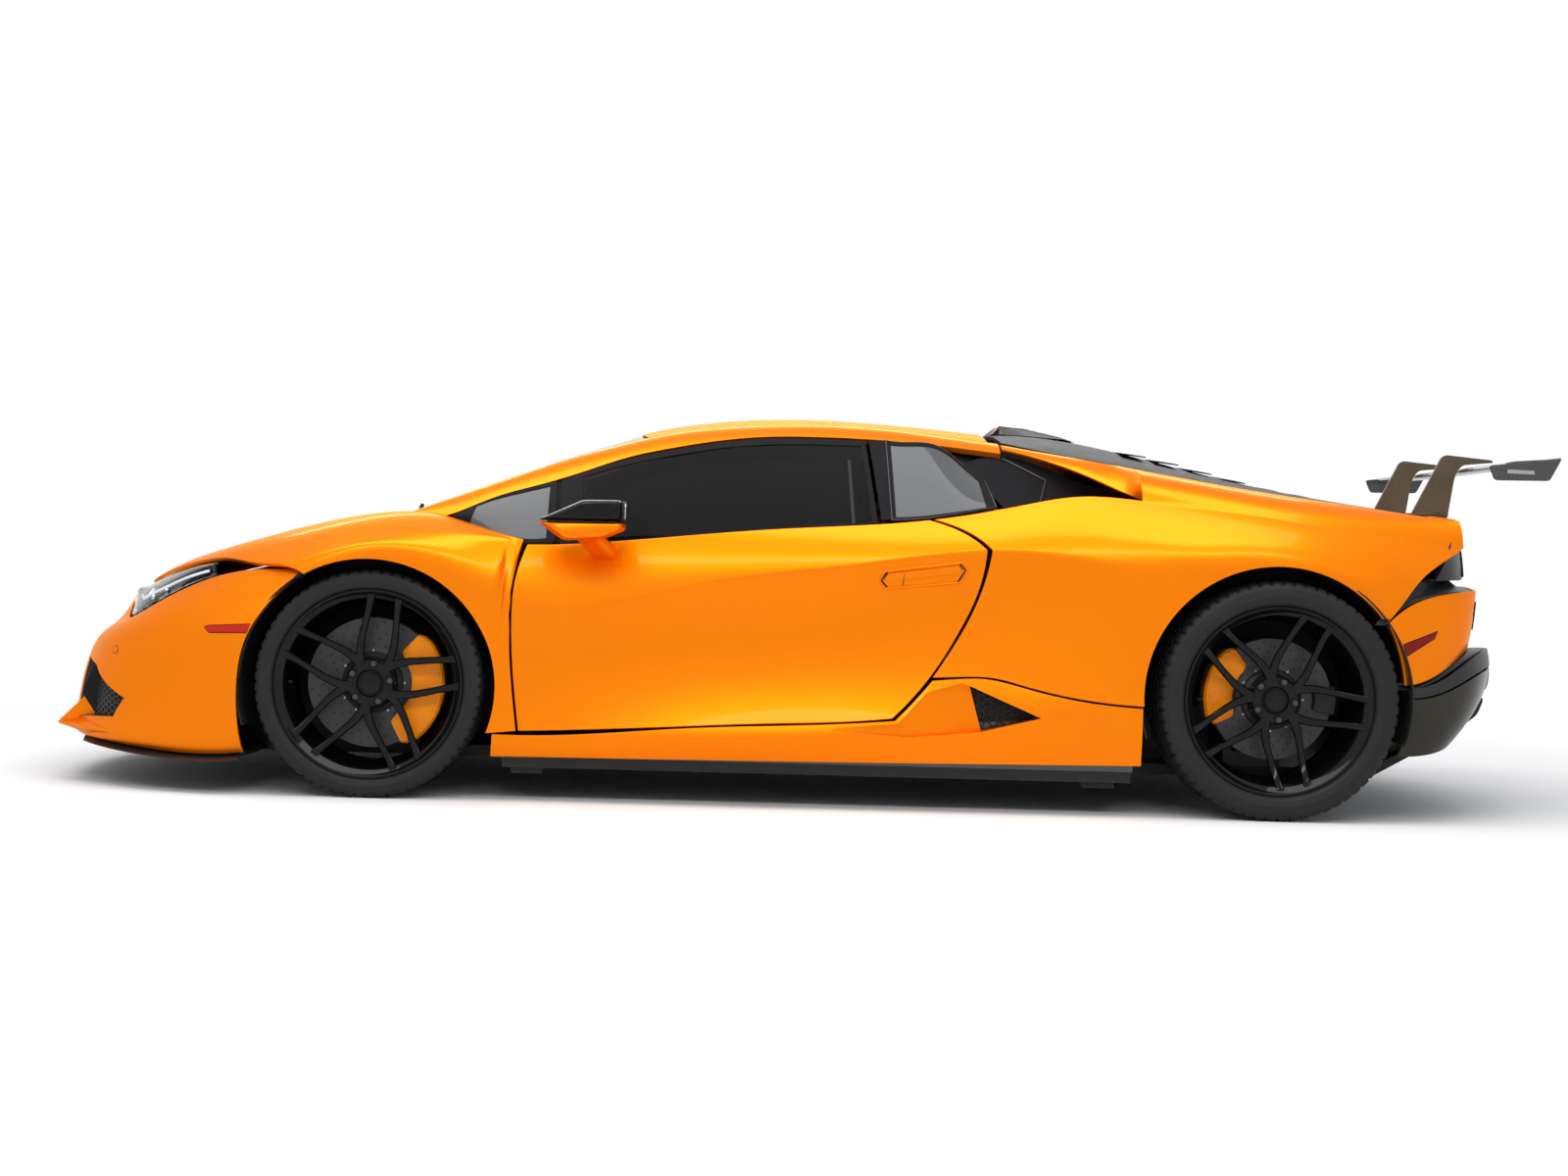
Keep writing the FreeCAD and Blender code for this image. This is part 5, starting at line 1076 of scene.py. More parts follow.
def tyreShape(spec):
    n = tyreSpec
    cx, cy, cz = spec["centre"]
    height = cz - n["rim"]
    half = [(s * spec["width"], n["rim"] + h * height, h) for s, h in sidewall]
    tread = []
    for place in n["grooves"]:
        w = n["grooveHalf"]
        for s, drop in ((place + w, 0), (place + w * 0.8, 1), (place - w * 0.8, 1), (place - w, 0)):
            tread.append((s * spec["width"], cz - drop * n["grooveDepth"] - 0.5 + 0.5 * (1 - s), 2.0))
    right = half + [(0.345 * spec["width"], cz - 0.3, 1.5)] + tread
    profile = right + [(-y, r, h) for y, r, h in right[::-1]]
    steps = n["pitches"] * n["stepsPerPitch"]
    verts = []
    for i in range(steps):
        a = 2 * math.pi * i / steps
        phase = i % n["stepsPerPitch"]
        for y, r, h in profile:
            cut = n["shoulderCut"] if phase == 0 and 0.87 < h <= 1.5 else 0
            sipe = 2.2 if phase == 3 and h == 2.0 and abs(y) < 0.28 * spec["width"] else 0
            verts.append((cx + (r - cut - sipe) * math.cos(a), cy + y, cz + (r - cut - sipe) * math.sin(a)))
    m = len(profile)
    faces = [(i * m + j, i * m + j + 1, ((i + 1) % steps) * m + j + 1, ((i + 1) % steps) * m + j)
             for i in range(steps) for j in range(m - 1)]
    return outward(verts, faces)


def rimBarrel(spec):
    lip, wall, rim, w = spec["lip"], 9, 273.0, spec["width"]
    outer = [(lip, rim - 1.5), (lip - 1.5, rim), (lip - 8, rim), (lip - 12, rim - 17), (0.15 * w, rim - 20),
             (0.02 * w, rim - 36), (-0.32 * w, rim - 36), (-0.38 * w, rim - 17), (8 - lip, rim - 15),
             (8 - lip, rim), (-lip, rim), (-lip, rim - 15 - wall), (-0.36 * w, rim - 17 - wall),
             (-0.30 * w, rim - 36 - wall), (0.01 * w, rim - 36 - wall), (0.14 * w, rim - 20 - wall),
             (lip - 26, rim - 19 - wall), (lip - 16, rim - 16 - wall), (lip - 7, rim - 14),
             (lip - 1.5, rim - 9.5), (lip, rim - 8)]
    return lathe(outer, spec["centre"], 128)


def armShape(spec, side, pairAngle):
    # one arm of a V, by stations of radius, turn, height over the hub, half width and depth
    face, recess = spec["face"], spec["recess"]
    cx, cy, cz = spec["centre"]
    stations = [(262, 9.0, recess - 7, 15.0, 30), (252, 9.2, recess - 8.5, 13.0, 30),
                (238, 9.8, recess * 0.66, 11.2, 28), (215, 11.2, recess * 0.42, 10.2, 27),
                (178, 14.6, recess * 0.2, 10.0, 26), (142, 19.4, 3.0, 10.6, 27), (130, 21.6, 2.0, 11.2, 27),
                (112, 25.0, 1.0, 11.8, 30), (84, 30.6, 0.5, 12.8, 32), (58, 36.0, 0.0, 14.5, 34),
                (46, 38.0, -1.0, 15.0, 34)]
    centres = []
    for radius, turn, rise, half, depth in stations:
        a = math.radians(pairAngle + side * turn)
        centres.append(Vector((-radius * math.cos(a), face + rise, radius * math.sin(a))))
    sections = []
    for i, p in enumerate(centres):
        along = centres[min(i + 1, len(centres) - 1)] - centres[max(i - 1, 0)]
        along.y = 0
        along.normalize()
        across = Vector((-along.z, 0, along.x))
        half, depth = stations[i][3], stations[i][4]
        outline = [(-half, -4.5), (-half + 3.2, -0.6), (-half + 5.0, 0), (half - 5.0, 0),
                   (half - 3.2, -0.6), (half, -4.5), (half * 0.92, -depth * 0.6), (half * 0.55, -depth),
                   (-half * 0.55, -depth), (-half * 0.92, -depth * 0.6)]
        sections.append([Vector((cx, cy, cz)) + p + across * u + Vector((0, w, 0)) for u, w in outline])
    return loft(sections)


def boltHead(centre, radius, height, sides=6, axis="y"):
    sections = []
    for r, w in ((radius, -height), (radius, -1.0), (radius - 1.0, 0)):
        turns = [2 * math.pi * k / sides for k in range(sides)]
        sections.append([Vector(centre) + Vector(onAxis(axis, r * math.cos(a), r * math.sin(a), w))
                         for a in turns])
    return loft(sections)


def rimHub(spec):
    face = spec["face"]
    cx, cy, cz = spec["centre"]
    core = lathe([(face - 42, 30), (face - 42, 76), (face - 8, 71), (face - 3, 66), (face - 1, 58),
                  (face - 1.5, 40), (face - 6, 36), (face - 6, 30)], spec["centre"], 64)
    cap = lathe([(face - 12, 0.5), (face - 12, 33), (face + 1.5, 33), (face + 3.0, 31.5), (face + 3.0, 29.5),
                 (face + 1.0, 28.5), (face + 1.0, 27), (face + 3.5, 20), (face + 4.5, 8), (face + 4.7, 0.5)],
                spec["centre"], 64)
    shapes = [core, cap]
    for k in range(5):
        a = math.radians(spec["pair"] + spokePitch * k)
        seat = (cx - boltCircle * math.cos(a), cy, cz + boltCircle * math.sin(a))
        shapes.append(lathe([(face - 14, 12.5), (face - 14, 15), (face + 1.0, 15), (face + 2.4, 14),
                             (face + 2.4, 12.5)], seat, 24))
    return joined(*shapes)


def discShape(spec):
    face, r = spec["face"], spec["disc"]
    rotor = lathe([(-22, 98), (-22, r - 1.5), (-20.5, r), (-9.5, r), (-9, r - 6), (-1, r - 6), (-0.5, r),
                   (10.5, r), (12, r - 1.5), (12, 98)], spec["centre"], 96)
    bell = lathe([(-22, 99), (12, 99), (12.6, 97), (12.6, 90), (face - 54, 86), (face - 42.5, 72),
                  (face - 42.5, 36.5), (face - 50, 36.5), (face - 60, 78), (-22, 88)], spec["centre"], 96)
    return rotor, bell


# the drilled holes are not cut: dark discs on the rotor's face are painted shade where the holes would show
# dark
def holeShadeDiscs(spec):
    cx, cy, cz = spec["centre"]
    shapes = []
    for k in range(20):
        for j in range(5):
            a = math.radians(18 * k + 7 * j)
            r = 110 + (spec["disc"] - 122) * j / 4.0
            ring = [(cx + r * math.cos(a) + 3.4 * math.cos(b), cy + 12.15,
                     cz + r * math.sin(a) + 3.4 * math.sin(b)) for b in np.linspace(0, 2 * math.pi, 9)[:-1]]
            shapes.append((ring, [tuple(range(8))[::-1]]))
    return joined(*shapes)


def caliperShape(spec):
    cx, cy, cz = spec["centre"]
    start, span = spec["caliper"]
    top = spec["disc"] + 21
    sections = []
    for t in np.linspace(0, 1, 25):
        end = min(t, 1 - t) * 2
        swell = min(1.0, end * 4.0) ** 0.5
        out = top - 16 * (1 - swell)
        low = 114 + 10 * (1 - swell)
        thin = 5 * (1 - swell)
        ribs = 1.4 * math.cos(t * math.pi * 6) ** 2
        profile = [(26 - thin, out), (32 - thin + ribs * 0.4, out - 7), (32.4 - thin, low + 22),
                   (29 - thin, low + 3), (24 - thin, low), (18, low), (17.5, top - 15), (-27.5, top - 15),
                   (-28, low), (-37 + thin, low), (-42 + thin, low + 8), (-42 + thin, out - 7),
                   (-37 + thin, out)]
        a = math.radians(start + t * span)
        sections.append([(cx + r * math.cos(a), cy + y, cz - r * math.sin(a)) for y, r in profile])
    return loft(sections)


def caliperTrim(spec):
    cx, cy, cz = spec["centre"]
    start, span = spec["caliper"]
    shapes = []
    r = 160
    for share in (0.2, 0.5, 0.8):
        a = math.radians(start + share * span)
        shapes.append(lathe([(30, 0.5), (30, 21), (33.4, 19.5), (34.0, 17), (33.2, 14), (33.2, 0.5)],
                            (cx + r * math.cos(a), cy, cz - r * math.sin(a)), 28))
    r = spec["disc"] + 4
    for share in (0.05, 0.35, 0.65, 0.95):
        a = math.radians(start + share * span)
        shapes.append(boltHead((cx + r * math.cos(a), cy + 35.0, cz - r * math.sin(a)), 6.0, 8.0))
    return joined(*shapes)


def makeWheel(axle):
    spec = wheelSpecs[axle]
    cx, cy, cz = spec["centre"]
    homes = ("wheel_%s_left" % axle, "wheel_%s_right" % axle)

    def nodesOf(part):
        return ["%s_%s_%s" % (axle, part, side) for side in ("left", "right")]

    def onWheel(name, shape, finish, bodies=homes, sharp=30, **more):
        makePair(axle + name, shape, finish, bodies, sharp=sharp, weld=0, **more)

    onWheel("Tyre", tyreShape(spec), "tyre", sharp=28, stands=nodesOf("tyre"))
    onWheel("Rim", rimBarrel(spec), "rimBlack", stands=nodesOf("rim"))
    pairs = [spec["pair"] + spokePitch * k for k in range(5)]
    arms = [armShape(spec, side, angle) for angle in pairs for side in (-1, 1)]
    onWheel("Spokes", joined(*arms), "rimBlack", sharp=26)
    onWheel("Hub", rimHub(spec), "rimBlack")
    bolts = []
    for a in np.radians(pairs):
        place = (cx - boltCircle * math.cos(a), cy + spec["face"] + 1.0, cz + boltCircle * math.sin(a))
        bolts.append(boltHead(place, 9.5, 15))
    onWheel("WheelBolts", joined(*bolts), "steelDark")
    rotor, bell = discShape(spec)
    onWheel("Rotor", rotor, "iron", stands=nodesOf("disc"))
    onWheel("DiscBell", bell, "castDark")
    # dark discs on the rotor: painted shade for its drilled holes
    onWheel("DiscHoles", holeShadeDiscs(spec), "coarseBlack", sharp=35, slot="disc_steel")
    pins = [boltHead((cx + pinCircle * math.cos(a), cy + 15.5, cz + pinCircle * math.sin(a)), 4.2, 4.5, 8)
            for a in np.linspace(0, 2 * math.pi, 13)[:-1]]
    onWheel("DiscPins", joined(*pins), "castAlloy")
    stands = nodesOf("caliper") if axle == "front" else ["rear_calipers"]
    onWheel("Caliper", caliperShape(spec), "caliper", spec["turns"], 32, stands=stands)
    onWheel("CaliperTrim", caliperTrim(spec), "caliper", spec["turns"])
    valveY = cy + spec["lip"]
    valve = tube([(cx + 232, valveY - 24, cz), (cx + 222, valveY - 14, cz)], 3.5, 10)
    onWheel("Valve", valve, "satinBlack", sharp=35, slot="rim_black")


for axleName in wheelSpecs:
    makeWheel(axleName)
parking = wheelSpecs["rear"]["centre"]
block = lathe([(-38, 122), (-38, 186), (-34, 190), (24, 190), (29, 184), (29, 126), (24, 122), (18, 122),
               (18, 183), (-28, 183), (-28, 122)], parking, 10, 167, 26)
makePair("parkingCaliper", block, "satinBlack", slot="cast_alloy", edge=1.2, weld=0)
print("wheels made")

# what lies on the body sides: handles, marker lamps, covers and mirrors
sideGrids = fenderSheets + doorGrids + quarterSheets + skirtSheets + [frontGrid, rearGrid]
sideProbe = probeFor(sideGrids, "y", 1300.0)
handleSpec = {"outline": [(-230, 664), (-247, 690), (-459, 719), (-478, 699), (-456, 663), (-249, 641)],
              "lever": [(-240, 665), (-251, 684), (-455, 711), (-466, 698), (-458, 690), (-255, 664)]}
groove, lever = handleSpec["outline"], handleSpec["lever"]


def middleOf(outline):
    return [sum(values) / len(outline) for values in zip(*outline)]


def grown(outline, amount):
    cu, cv = middleOf(outline)
    far = [math.hypot(u - cu, v - cv) for u, v in outline]
    return [(u + (u - cu) / r * amount, v + (v - cv) / r * amount) for (u, v), r in zip(outline, far)]


# the groove and shade rings are dark plates: painted shade in the handle's recess and under the raised lever
for label, shape in (
        ("Groove", plate(sideProbe, grown(groove, -6.0), grown(groove, 0.5), 0.5, 1.6, 80, 2, True)),
        ("Shade", plate(sideProbe, grown(lever, -1.0), grown(lever, 2.2), 0.4, 1.6, 80, 2, True)),
        ("Split", plate(sideProbe, [(-297, 652), (-295, 652)], [(-300, 686), (-298, 686)], 8.3, 2.0, 3, 8))):
    makePair("handle" + label, shape, "satinBlack", doors, sharp=60)
makePair("handleLever", plate(sideProbe, lever[5:2:-1], lever[:4], 8.0, 8.5, 30), "paint", doors, edge=2.8,
         sharp=50)
bead = [sideProbe(u, v, 1.6) for u, v in chain(grown(groove, 3.0), 90, True)]
makePair("handleBead", tube(bead + bead[:1], 3.2, 8), "paint", doors, sharp=80)
markerSpec = {
    "front": ([(1712, 478), (1697, 464), (1584, 467)], [(1712, 478), (1700, 482), (1575, 490)], "lensAmber"),
    "rear": ([(-1750, 486), (-1842, 537), (-1852, 556)], [(-1738, 517), (-1852, 556)], "lensRed"),
}
seatRim = 2.5
for label, (low, high, lens) in markerSpec.items():
    seat = plate(sideProbe, [(x, z - seatRim) for x, z in low], [(x, z + seatRim) for x, z in high], 0.6, 1.6)
    makePair(label + "MarkerSeat", seat, "pianoBlack", sharp=50)
    makePair(label + "Marker", plate(sideProbe, low, high, 2.4, 3.0), lens, edge=0.7, sharp=50)


def circleChains(u, v, radius, steps=9):
    angles = np.linspace(0, math.pi, steps)
    upper = [(u + radius * math.cos(a), v + radius * math.sin(a)) for a in angles]
    return [(x, 2 * v - z) for x, z in upper], upper


makePair("towCoverGroove", plate(sideProbe, *circleChains(2003, 401, 12.0), 0.3, 1.2, 20, 5), "seal",
         sharp=60)
makePair("towCover", plate(sideProbe, *circleChains(2003, 401, 10.4), 0.9, 1.8, 20, 5), "paint", edge=0.5,
         sharp=60)

mirrorSpec = {"top": [(754, 810), (622, 871), (507, 872), (503, 812)],
              "low": [(752, 806), (503, 808), (501, 788), (560, 762), (678, 754)], "inner": 987.0,
              "outer": 1110.0}


def shellLoft(outline, spec, radius, stops):
    # an outline carried across the mirror's width, drawn in towards both ends
    shape = rounded(outline, radius, 5)
    cx, cz = middleOf(shape)
    sections = []
    for share, scale in stops:
        y = spec["inner"] + (spec["outer"] - spec["inner"]) * share
        sections.append([(cx + (x - cx) * scale, y, cz + (z - cz) * scale) for x, z in shape])
    return loft(sections)


mirrorStops = ((0, 0.86), (0.02, 0.93), (0.09, 0.985), (0.2, 1.0), (0.6, 0.99), (0.82, 0.95), (0.93, 0.88),
               (0.98, 0.8), (1.0, 0.7))
makePair("mirrorTop", shellLoft(mirrorSpec["top"], mirrorSpec, 16, mirrorStops), "pianoBlack", doors,
         ["mirror_left", "mirror_right"], sharp=40)
makePair("mirrorLower", shellLoft(mirrorSpec["low"], mirrorSpec, 14, mirrorStops), "paint", doors, sharp=40)
glass = rounded([(1003, 817), (1094, 817), (1090, 862), (1003, 864)], 9)
makePair("mirrorGlass", prism(glass, "x", 499.5, 507), "silvered", doors, edge=0.6)
makePair("mirrorGlassRim", prism(rounded([(998, 812), (1100, 812), (1095, 868), (998, 869)], 11), "x",
                                 501.5, 510), "satinBlack", doors, edge=1.0)
stalkIn = [(600, 701), (522, 692), (517, 733), (590, 743)]
stalkOut = [(660, 767), (592, 764), (587, 790), (650, 799)]


def stalkShape():
    a, b = rounded(stalkIn, 18), rounded(stalkOut, 14)
    sections = []
    for t in np.linspace(0, 1, 9):
        ease = t * t * (3 - 2 * t)
        sections.append([(p[0] + (q[0] - p[0]) * ease, 868 + 128 * t, p[1] + (q[1] - p[1]) * ease)
                         for p, q in zip(a, b)])
    return loft(sections)


makePair("mirrorStalk", stalkShape(), "paint", doors, sharp=50)
foot = [(608, 697), (515, 686), (509, 738), (596, 750)]
makePair("mirrorFoot", plate(sideProbe, [foot[0], foot[1]], [foot[3], foot[2]], 2.0, 3.0), "paint", doors,
         edge=0.8)
print("side fittings made")

# front end: the black nose round the lower intake, buckets, meshes, fins, splitter
frontProbe = probeFor([frontGrid], "x", 2600.0)
noseSpec = {"outer": [(-505, 168), (505, 168), (528, 262), (402, 356), (-402, 356), (-528, 262)],
            "inner": [(-428, 178), (428, 178), (467, 254), (359, 298), (-359, 298), (-467, 254)]}
make("noseFrame", plate(frontProbe, noseSpec["inner"], noseSpec["outer"], 0.2, 3.0, 150, 6, True),
     "pianoBlack", sharp=40)


def bucket(outline, depth, shrink, lift=-2.0):
    # dark walls that run back from an opening in the bumper to a smaller floor
    cu, cv = middleOf(outline)
    edge = chain(outline, 60, True)
    rows = []
    for t in (0.0, 0.35, 1.0):
        scale = 1 - shrink * t
        row = []
        for u, v in edge:
            p = frontProbe(u, v, lift)
            row.append((p.x - depth * t, cu + (u - cu) * scale, cv + (v - cv) * scale))
        rows.append(row)
    verts = [p for row in rows for p in row]
    return verts, gridFaces(3, 60, 0, False, True) + [tuple(range(120, 180))]


def intakeMesh(outline, recess, spec):
    def toPoint(u, v, w):
        p = frontProbe(u, v)
        return p.x - recess + w, u, v
    return combShape(outline, toPoint, spec["cell"], spec["bar"], spec["depth"])


make("lowerIntakeBucket", bucket(noseSpec["inner"], 95, 0.12), "satinBlack", slot="black_plastic", sharp=40)
make("lowerIntakeMesh", intakeMesh(noseSpec["inner"], 52, {"cell": 15, "bar": 2.4, "depth": 8}),
     "satinBlack", sharp=30, weld=0)
makePair("sideIntakeBucket", bucket(sideIntake, 110, 0.2), "satinBlack", slot="black_plastic", sharp=40)
backPart = [(640, 196), (800, 206), (830, 262), (702, 350), (640, 360)]
makePair("sideIntakeMesh", intakeMesh(backPart, 34, {"cell": 11, "bar": 2.0, "depth": 7}), "satinBlack",
         sharp=30, weld=0)


def noseLip():
    # the orange lip under the intakes runs out to the fins' feet
    outer = [(2226, 566), (2190, 610), (2120, 690), (2040, 762), (1950, 822), (1880, 852)]
    inner = [(2128, 566), (2118, 610), (2070, 680), (2000, 740), (1930, 790), (1870, 825)]
    rim, root = chain(outer, 24), chain(inner, 24)
    sections = []
    for i in range(24):
        t = i / 23.0
        (ox, oy), (ix, iy) = rim[i], root[i]
        sections.append([(ox, oy, 173 - 8 * t), (ox - 2, oy - 1, 164 - 12 * t), (ix, iy, 136 - 12 * t),
                         (ix - 14, iy - 10, 160), (ix, iy, 186 + 20 * t)])
    return loft(sections)


makePair("noseLip", noseLip(), "paint", edge=1.6, sharp=30)
finOutline = rounded([(2121, 273), (2222, 173), (2130, 166), (2112, 190)], 4, 3)
makePair("noseFin", prism(finOutline, "y", 553, 571), "paint", edge=1.6)
vane = [(2105, 345), (2135, 262), (2090, 196), (2040, 196), (2050, 330)]
makePair("intakeVane", prism(rounded(vane, 6, 3), "y", 634, 641), "pianoBlack", edge=1.2)


def splitterShape():
    sections = []
    for x, y, z in ((1600, 905, 118), (1720, 888, 108), (1880, 826, 114), (2020, 730, 124), (2140, 572, 131)):
        sections.append([(x, y, z), (x, y - 4, z - 13), (x, y - 60, z - 17), (x, -y + 60, z - 17),
                         (x, -y + 4, z - 13), (x, -y, z), (x, -y + 40, z + 3), (x, y - 40, z + 3)])
    coarse = np.array(sections)
    return loft(list(dense(coarse, 8, 24)))


make("splitter", splitterShape(), "satinBlack", slot="black_plastic", sharp=40)

# headlamps: bowl, light strips, projector and clear cover
lampSpec = {"low": [(1712, 788, 628), (1850, 746, 572), (1944, 678, 522), (2000, 592, 498), (2028, 470, 520),
                    (2044, 372, 556)],
            "seam": [(1706, 4.5), (1795, 4.93), (1885, 5.33), (1994, 5.93)], "depth": (-33.0, -30.0, -24.0)}


def lampGrid():
    low = resample(lampSpec["low"], 6)
    top = np.array([skin(x + 9, s) for x, s in resample(lampSpec["seam"], 6)])
    return dense(bowed(low, top, (10, 6, 8)), 60, 24)


lampFace = lampGrid()


def lampBowl(share):
    v = np.linspace(0, 1, lampFace.shape[0])[:, None, None]
    u = np.linspace(0, 1, lampFace.shape[1])[None, :, None]
    sink = (np.sin(np.pi * v) * np.sin(np.pi * u)) ** 0.4 * share
    return lampFace + np.array(lampSpec["depth"]) * sink


def lampPath(places, share):
    points = [surfaceAt(lampFace, [u], [v])[0, 0] + np.array(lampSpec["depth"]) * share for u, v in places]
    return [tuple(p) for p in points]


panelPair("headlampCover", [lampFace], both, {"thickness": 2.5, "edge": 0.5}, ["headlamps"], flip=True,
          finish="lensClear")
panelPair("headlampBowl", [lampBowl(1.0) - np.array([3, 2, 2])], both, {"thickness": 3, "edge": 0.6},
          flip=True, finish="pianoBlack")
stroke = [(0.96, 0.22), (0.86, 0.30), (0.76, 0.5), (0.62, 0.6), (0.30, 0.62), (0.08, 0.55)]
fork = [(0.93, 0.8), (0.84, 0.72), (0.76, 0.5)]
strips = [tube(lampPath(chain(way, 14), 0.42), 4.2, 8) for way in (stroke, fork)]
makePair("lampStrip", joined(*strips), "led", sharp=60, weld=0)
makePair("lampLowerStrip", tube(lampPath(chain([(0.9, 0.12), (0.7, 0.2), (0.3, 0.3)], 12), 0.3), 2.4, 8),
         "pianoBlack", sharp=60, weld=0)
for label, u, v in (("Inner", 0.66, 0.44), ("Outer", 0.46, 0.45)):
    centre = lampPath([(u, v)], 0.72)[0]
    dome = [(-6, 0.5), (-6, 17), (1, 17)]
    dome += [(17 * math.sin(a) * 0.62, 16.5 * math.cos(a)) for a in np.radians(np.linspace(0, 86, 9))]
    makePair("projector" + label, latheAlongX(dome, centre, 28), "pianoBlack", sharp=40)
    ring = [(-4, 17), (-4, 20.5), (3, 20.5), (4.2, 18.5), (3, 17)]
    makePair("projectorRing" + label, latheAlongX(ring, centre, 28), "steel", sharp=40)
print("front end made")

# rear end: mesh fascia, lamps, bumper trim, diffuser, pipes
fasciaRows = [[(-1852, 838, 702), (-1935, 760, 706), (-2010, 520, 710), (-2052, 250, 712), (-2060, 0, 712)],
              [(-1890, 820, 776), (-1940, 745, 780), (-2005, 500, 784), (-2045, 250, 786), (-2052, 0, 786)],
              [(-1920, 780, 864), (-1946, 690, 880), (-2008, 450, 888), (-2044, 220, 892), (-2052, 0, 893)]]
diffuserRows = [[(-1730, 922, 194), (-1810, 900, 198), (-1890, 845, 214), (-1925, 760, 226),
                 (-1950, 600, 236), (-1985, 300, 240), (-1990, 0, 240)],
                [(-1766, 932, 300), (-1840, 905, 308), (-1935, 850, 326), (-1995, 775, 345),
                 (-2060, 620, 356), (-2110, 300, 360), (-2118, 0, 360)],
                [(-1760, 936, 392), (-1812, 903, 402), (-1895, 850, 428), (-1965, 790, 468),
                 (-2060, 640, 498), (-2130, 300, 496), (-2142, 0, 496)]]
fasciaGrid, diffuserGrid = wrapGrid(fasciaRows, 121, 24), wrapGrid(diffuserRows, 161, 40)
panelPiece("fasciaPanel", [fasciaGrid], "body", {"thickness": 12, "edge": 1.5}, ["rear_fascia"],
           finish="satinBlack")
fasciaProbe = probeFor([fasciaGrid], "x", -2600.0)
rearProbe = probeFor([rearGrid], "x", -2600.0)
fasciaMesh = [(-690, 718), (690, 718), (640, 792), (450, 800), (-450, 800), (-640, 792)]


def onFascia(u, v, w):
    p = fasciaProbe(u, v, 7.0 + w)
    return p.x, u, v


make("fasciaMesh", combShape(fasciaMesh, onFascia, 14, 2.4, 6), "pianoBlack", sharp=30, weld=0)
tailSpec = {"outline": [(474, 803), (730, 806), (752, 836), (700, 842), (474, 842)],
            "seat": [(462, 796), (738, 799), (762, 843), (706, 850), (462, 850)]}


def lampPair(name, outline, lift, finish, stands=(), edge=1.0):
    low, high = outline[:3], [outline[0], outline[-1], outline[-2], outline[2]]
    makePair(name, plate(fasciaProbe, low, high, lift, 8.0, 40, 5), finish, stands=stands, edge=edge)


lampPair("tailLampSeat", tailSpec["seat"], 5.0, "pianoBlack")
lampPair("tailLamp", tailSpec["outline"], 11.0, "lensRed", ["tail_lamps"], 2.0)
for label, way in (("Upper", [(492, 832), (690, 833), (760, 826)]),
                   ("Lower", [(492, 814), (600, 815), (660, 823)])):
    path = [fasciaProbe(u, v, 11.6) for u, v in chain(way, 18)]
    makePair("tailStrip" + label, tube(path, 2.6, 8), "lensGlow", sharp=60)
make("tailSpoilerLip", plate(fasciaProbe, [(-690, 868), (690, 868)], [(-690, 876), (690, 876)], 9.0, 10.0,
                             90, 4), "carbon", edge=1.5)
# the lower bumper's vents and the recess for a plate, left bare
low, high = [(430, 560), (640, 562)], [(400, 640), (690, 642)]
makePair("bumperVentSeat", plate(rearProbe, low, high, 0.8, 2.4, 30, 5), "satinBlack", edge=0.5)
comb = combShape([*low, *high[::-1]], lambda u, v, w: tuple(rearProbe(u, v, 4.0 + w)), 12, 2.2, 4)
makePair("bumperVentMesh", comb, "pianoBlack", sharp=30, weld=0)
make("plateRecess", plate(rearProbe, [(-270, 548), (270, 548)], [(-290, 655), (290, 655)], 0.8, 2.6, 40, 5),
     "satinBlack", edge=0.8)


pipeCentres = [(-2060.0, y, 420.0) for y in (-330, -200, 200, 330)]
bore = [(-220, 0.5), (-220, 60.5), (220, 60.5), (220, 0.5)]
pipeCuts = [meshObject("bore", latheAlongX(bore, centre, 48)) for centre in pipeCentres]
split = 27
panelPiece("diffuserLower", [diffuserGrid[:split]], "body", {"thickness": 14, "edge": 1.8}, ["diffuser"],
           finish="bronzeGrey", cutters=pipeCuts)
panelPiece("diffuserUpper", [diffuserGrid[split:] + np.array([-3, 0, 0])], "body",
           {"thickness": 14, "edge": 2.2}, (), finish="satinBlack", cutters=pipeCuts)
discard(*pipeCuts)
tip = [(-92, 57.4), (-90, 58), (120, 58), (120, 54), (-60, 53), (-84, 53.5), (-92, 55)]
baffle = [(20, 0.5), (20, 50), (24, 50), (24, 0.5)]
for index, centre in enumerate(pipeCentres):
    stands = () if index else ["tail_pipes"]
    make("tailPipe%d" % index, latheAlongX(tip, centre, 56), "steelDark", stands=stands)
    make("pipeBaffle%d" % index, latheAlongX(baffle, centre, 40), "coarseBlack")
finSide = [(-1760, 192), (-1985, 236), (-2066, 300), (-2086, 352), (-2040, 372), (-1900, 330), (-1760, 262)]
for index, y in enumerate((-560, -430, -90, 90, 430, 560)):
    make("diffuserFin%d" % index, prism(rounded(finSide, 14, 3), "y", y - 5, y + 5), "satinBlack",
         slot="carbon", edge=1.4)
print("rear end made")

# wing, end plates and pylons
wingSpec = {"section": [(-2076, 1046), (-2085.5, 1058), (-2110, 1063), (-2156, 1067), (-2250, 1074),
                        (-2250, 1070.5), (-2205, 1056), (-2150, 1044), (-2095, 1038)],
            "end": [(-2249, 1073), (-2034, 1049), (-2053, 1005), (-2214, 1007)], "half": 720.0}


def wingShape():
    section = rounded(wingSpec["section"], 16, 4)
    sections = []
    for y in np.linspace(-1, 1, 49):
        droop = -3.0 * (1 - y * y) ** 2
        sections.append([(x, y * (wingSpec["half"] - 4), z + droop) for x, z in section])
    return loft(sections)


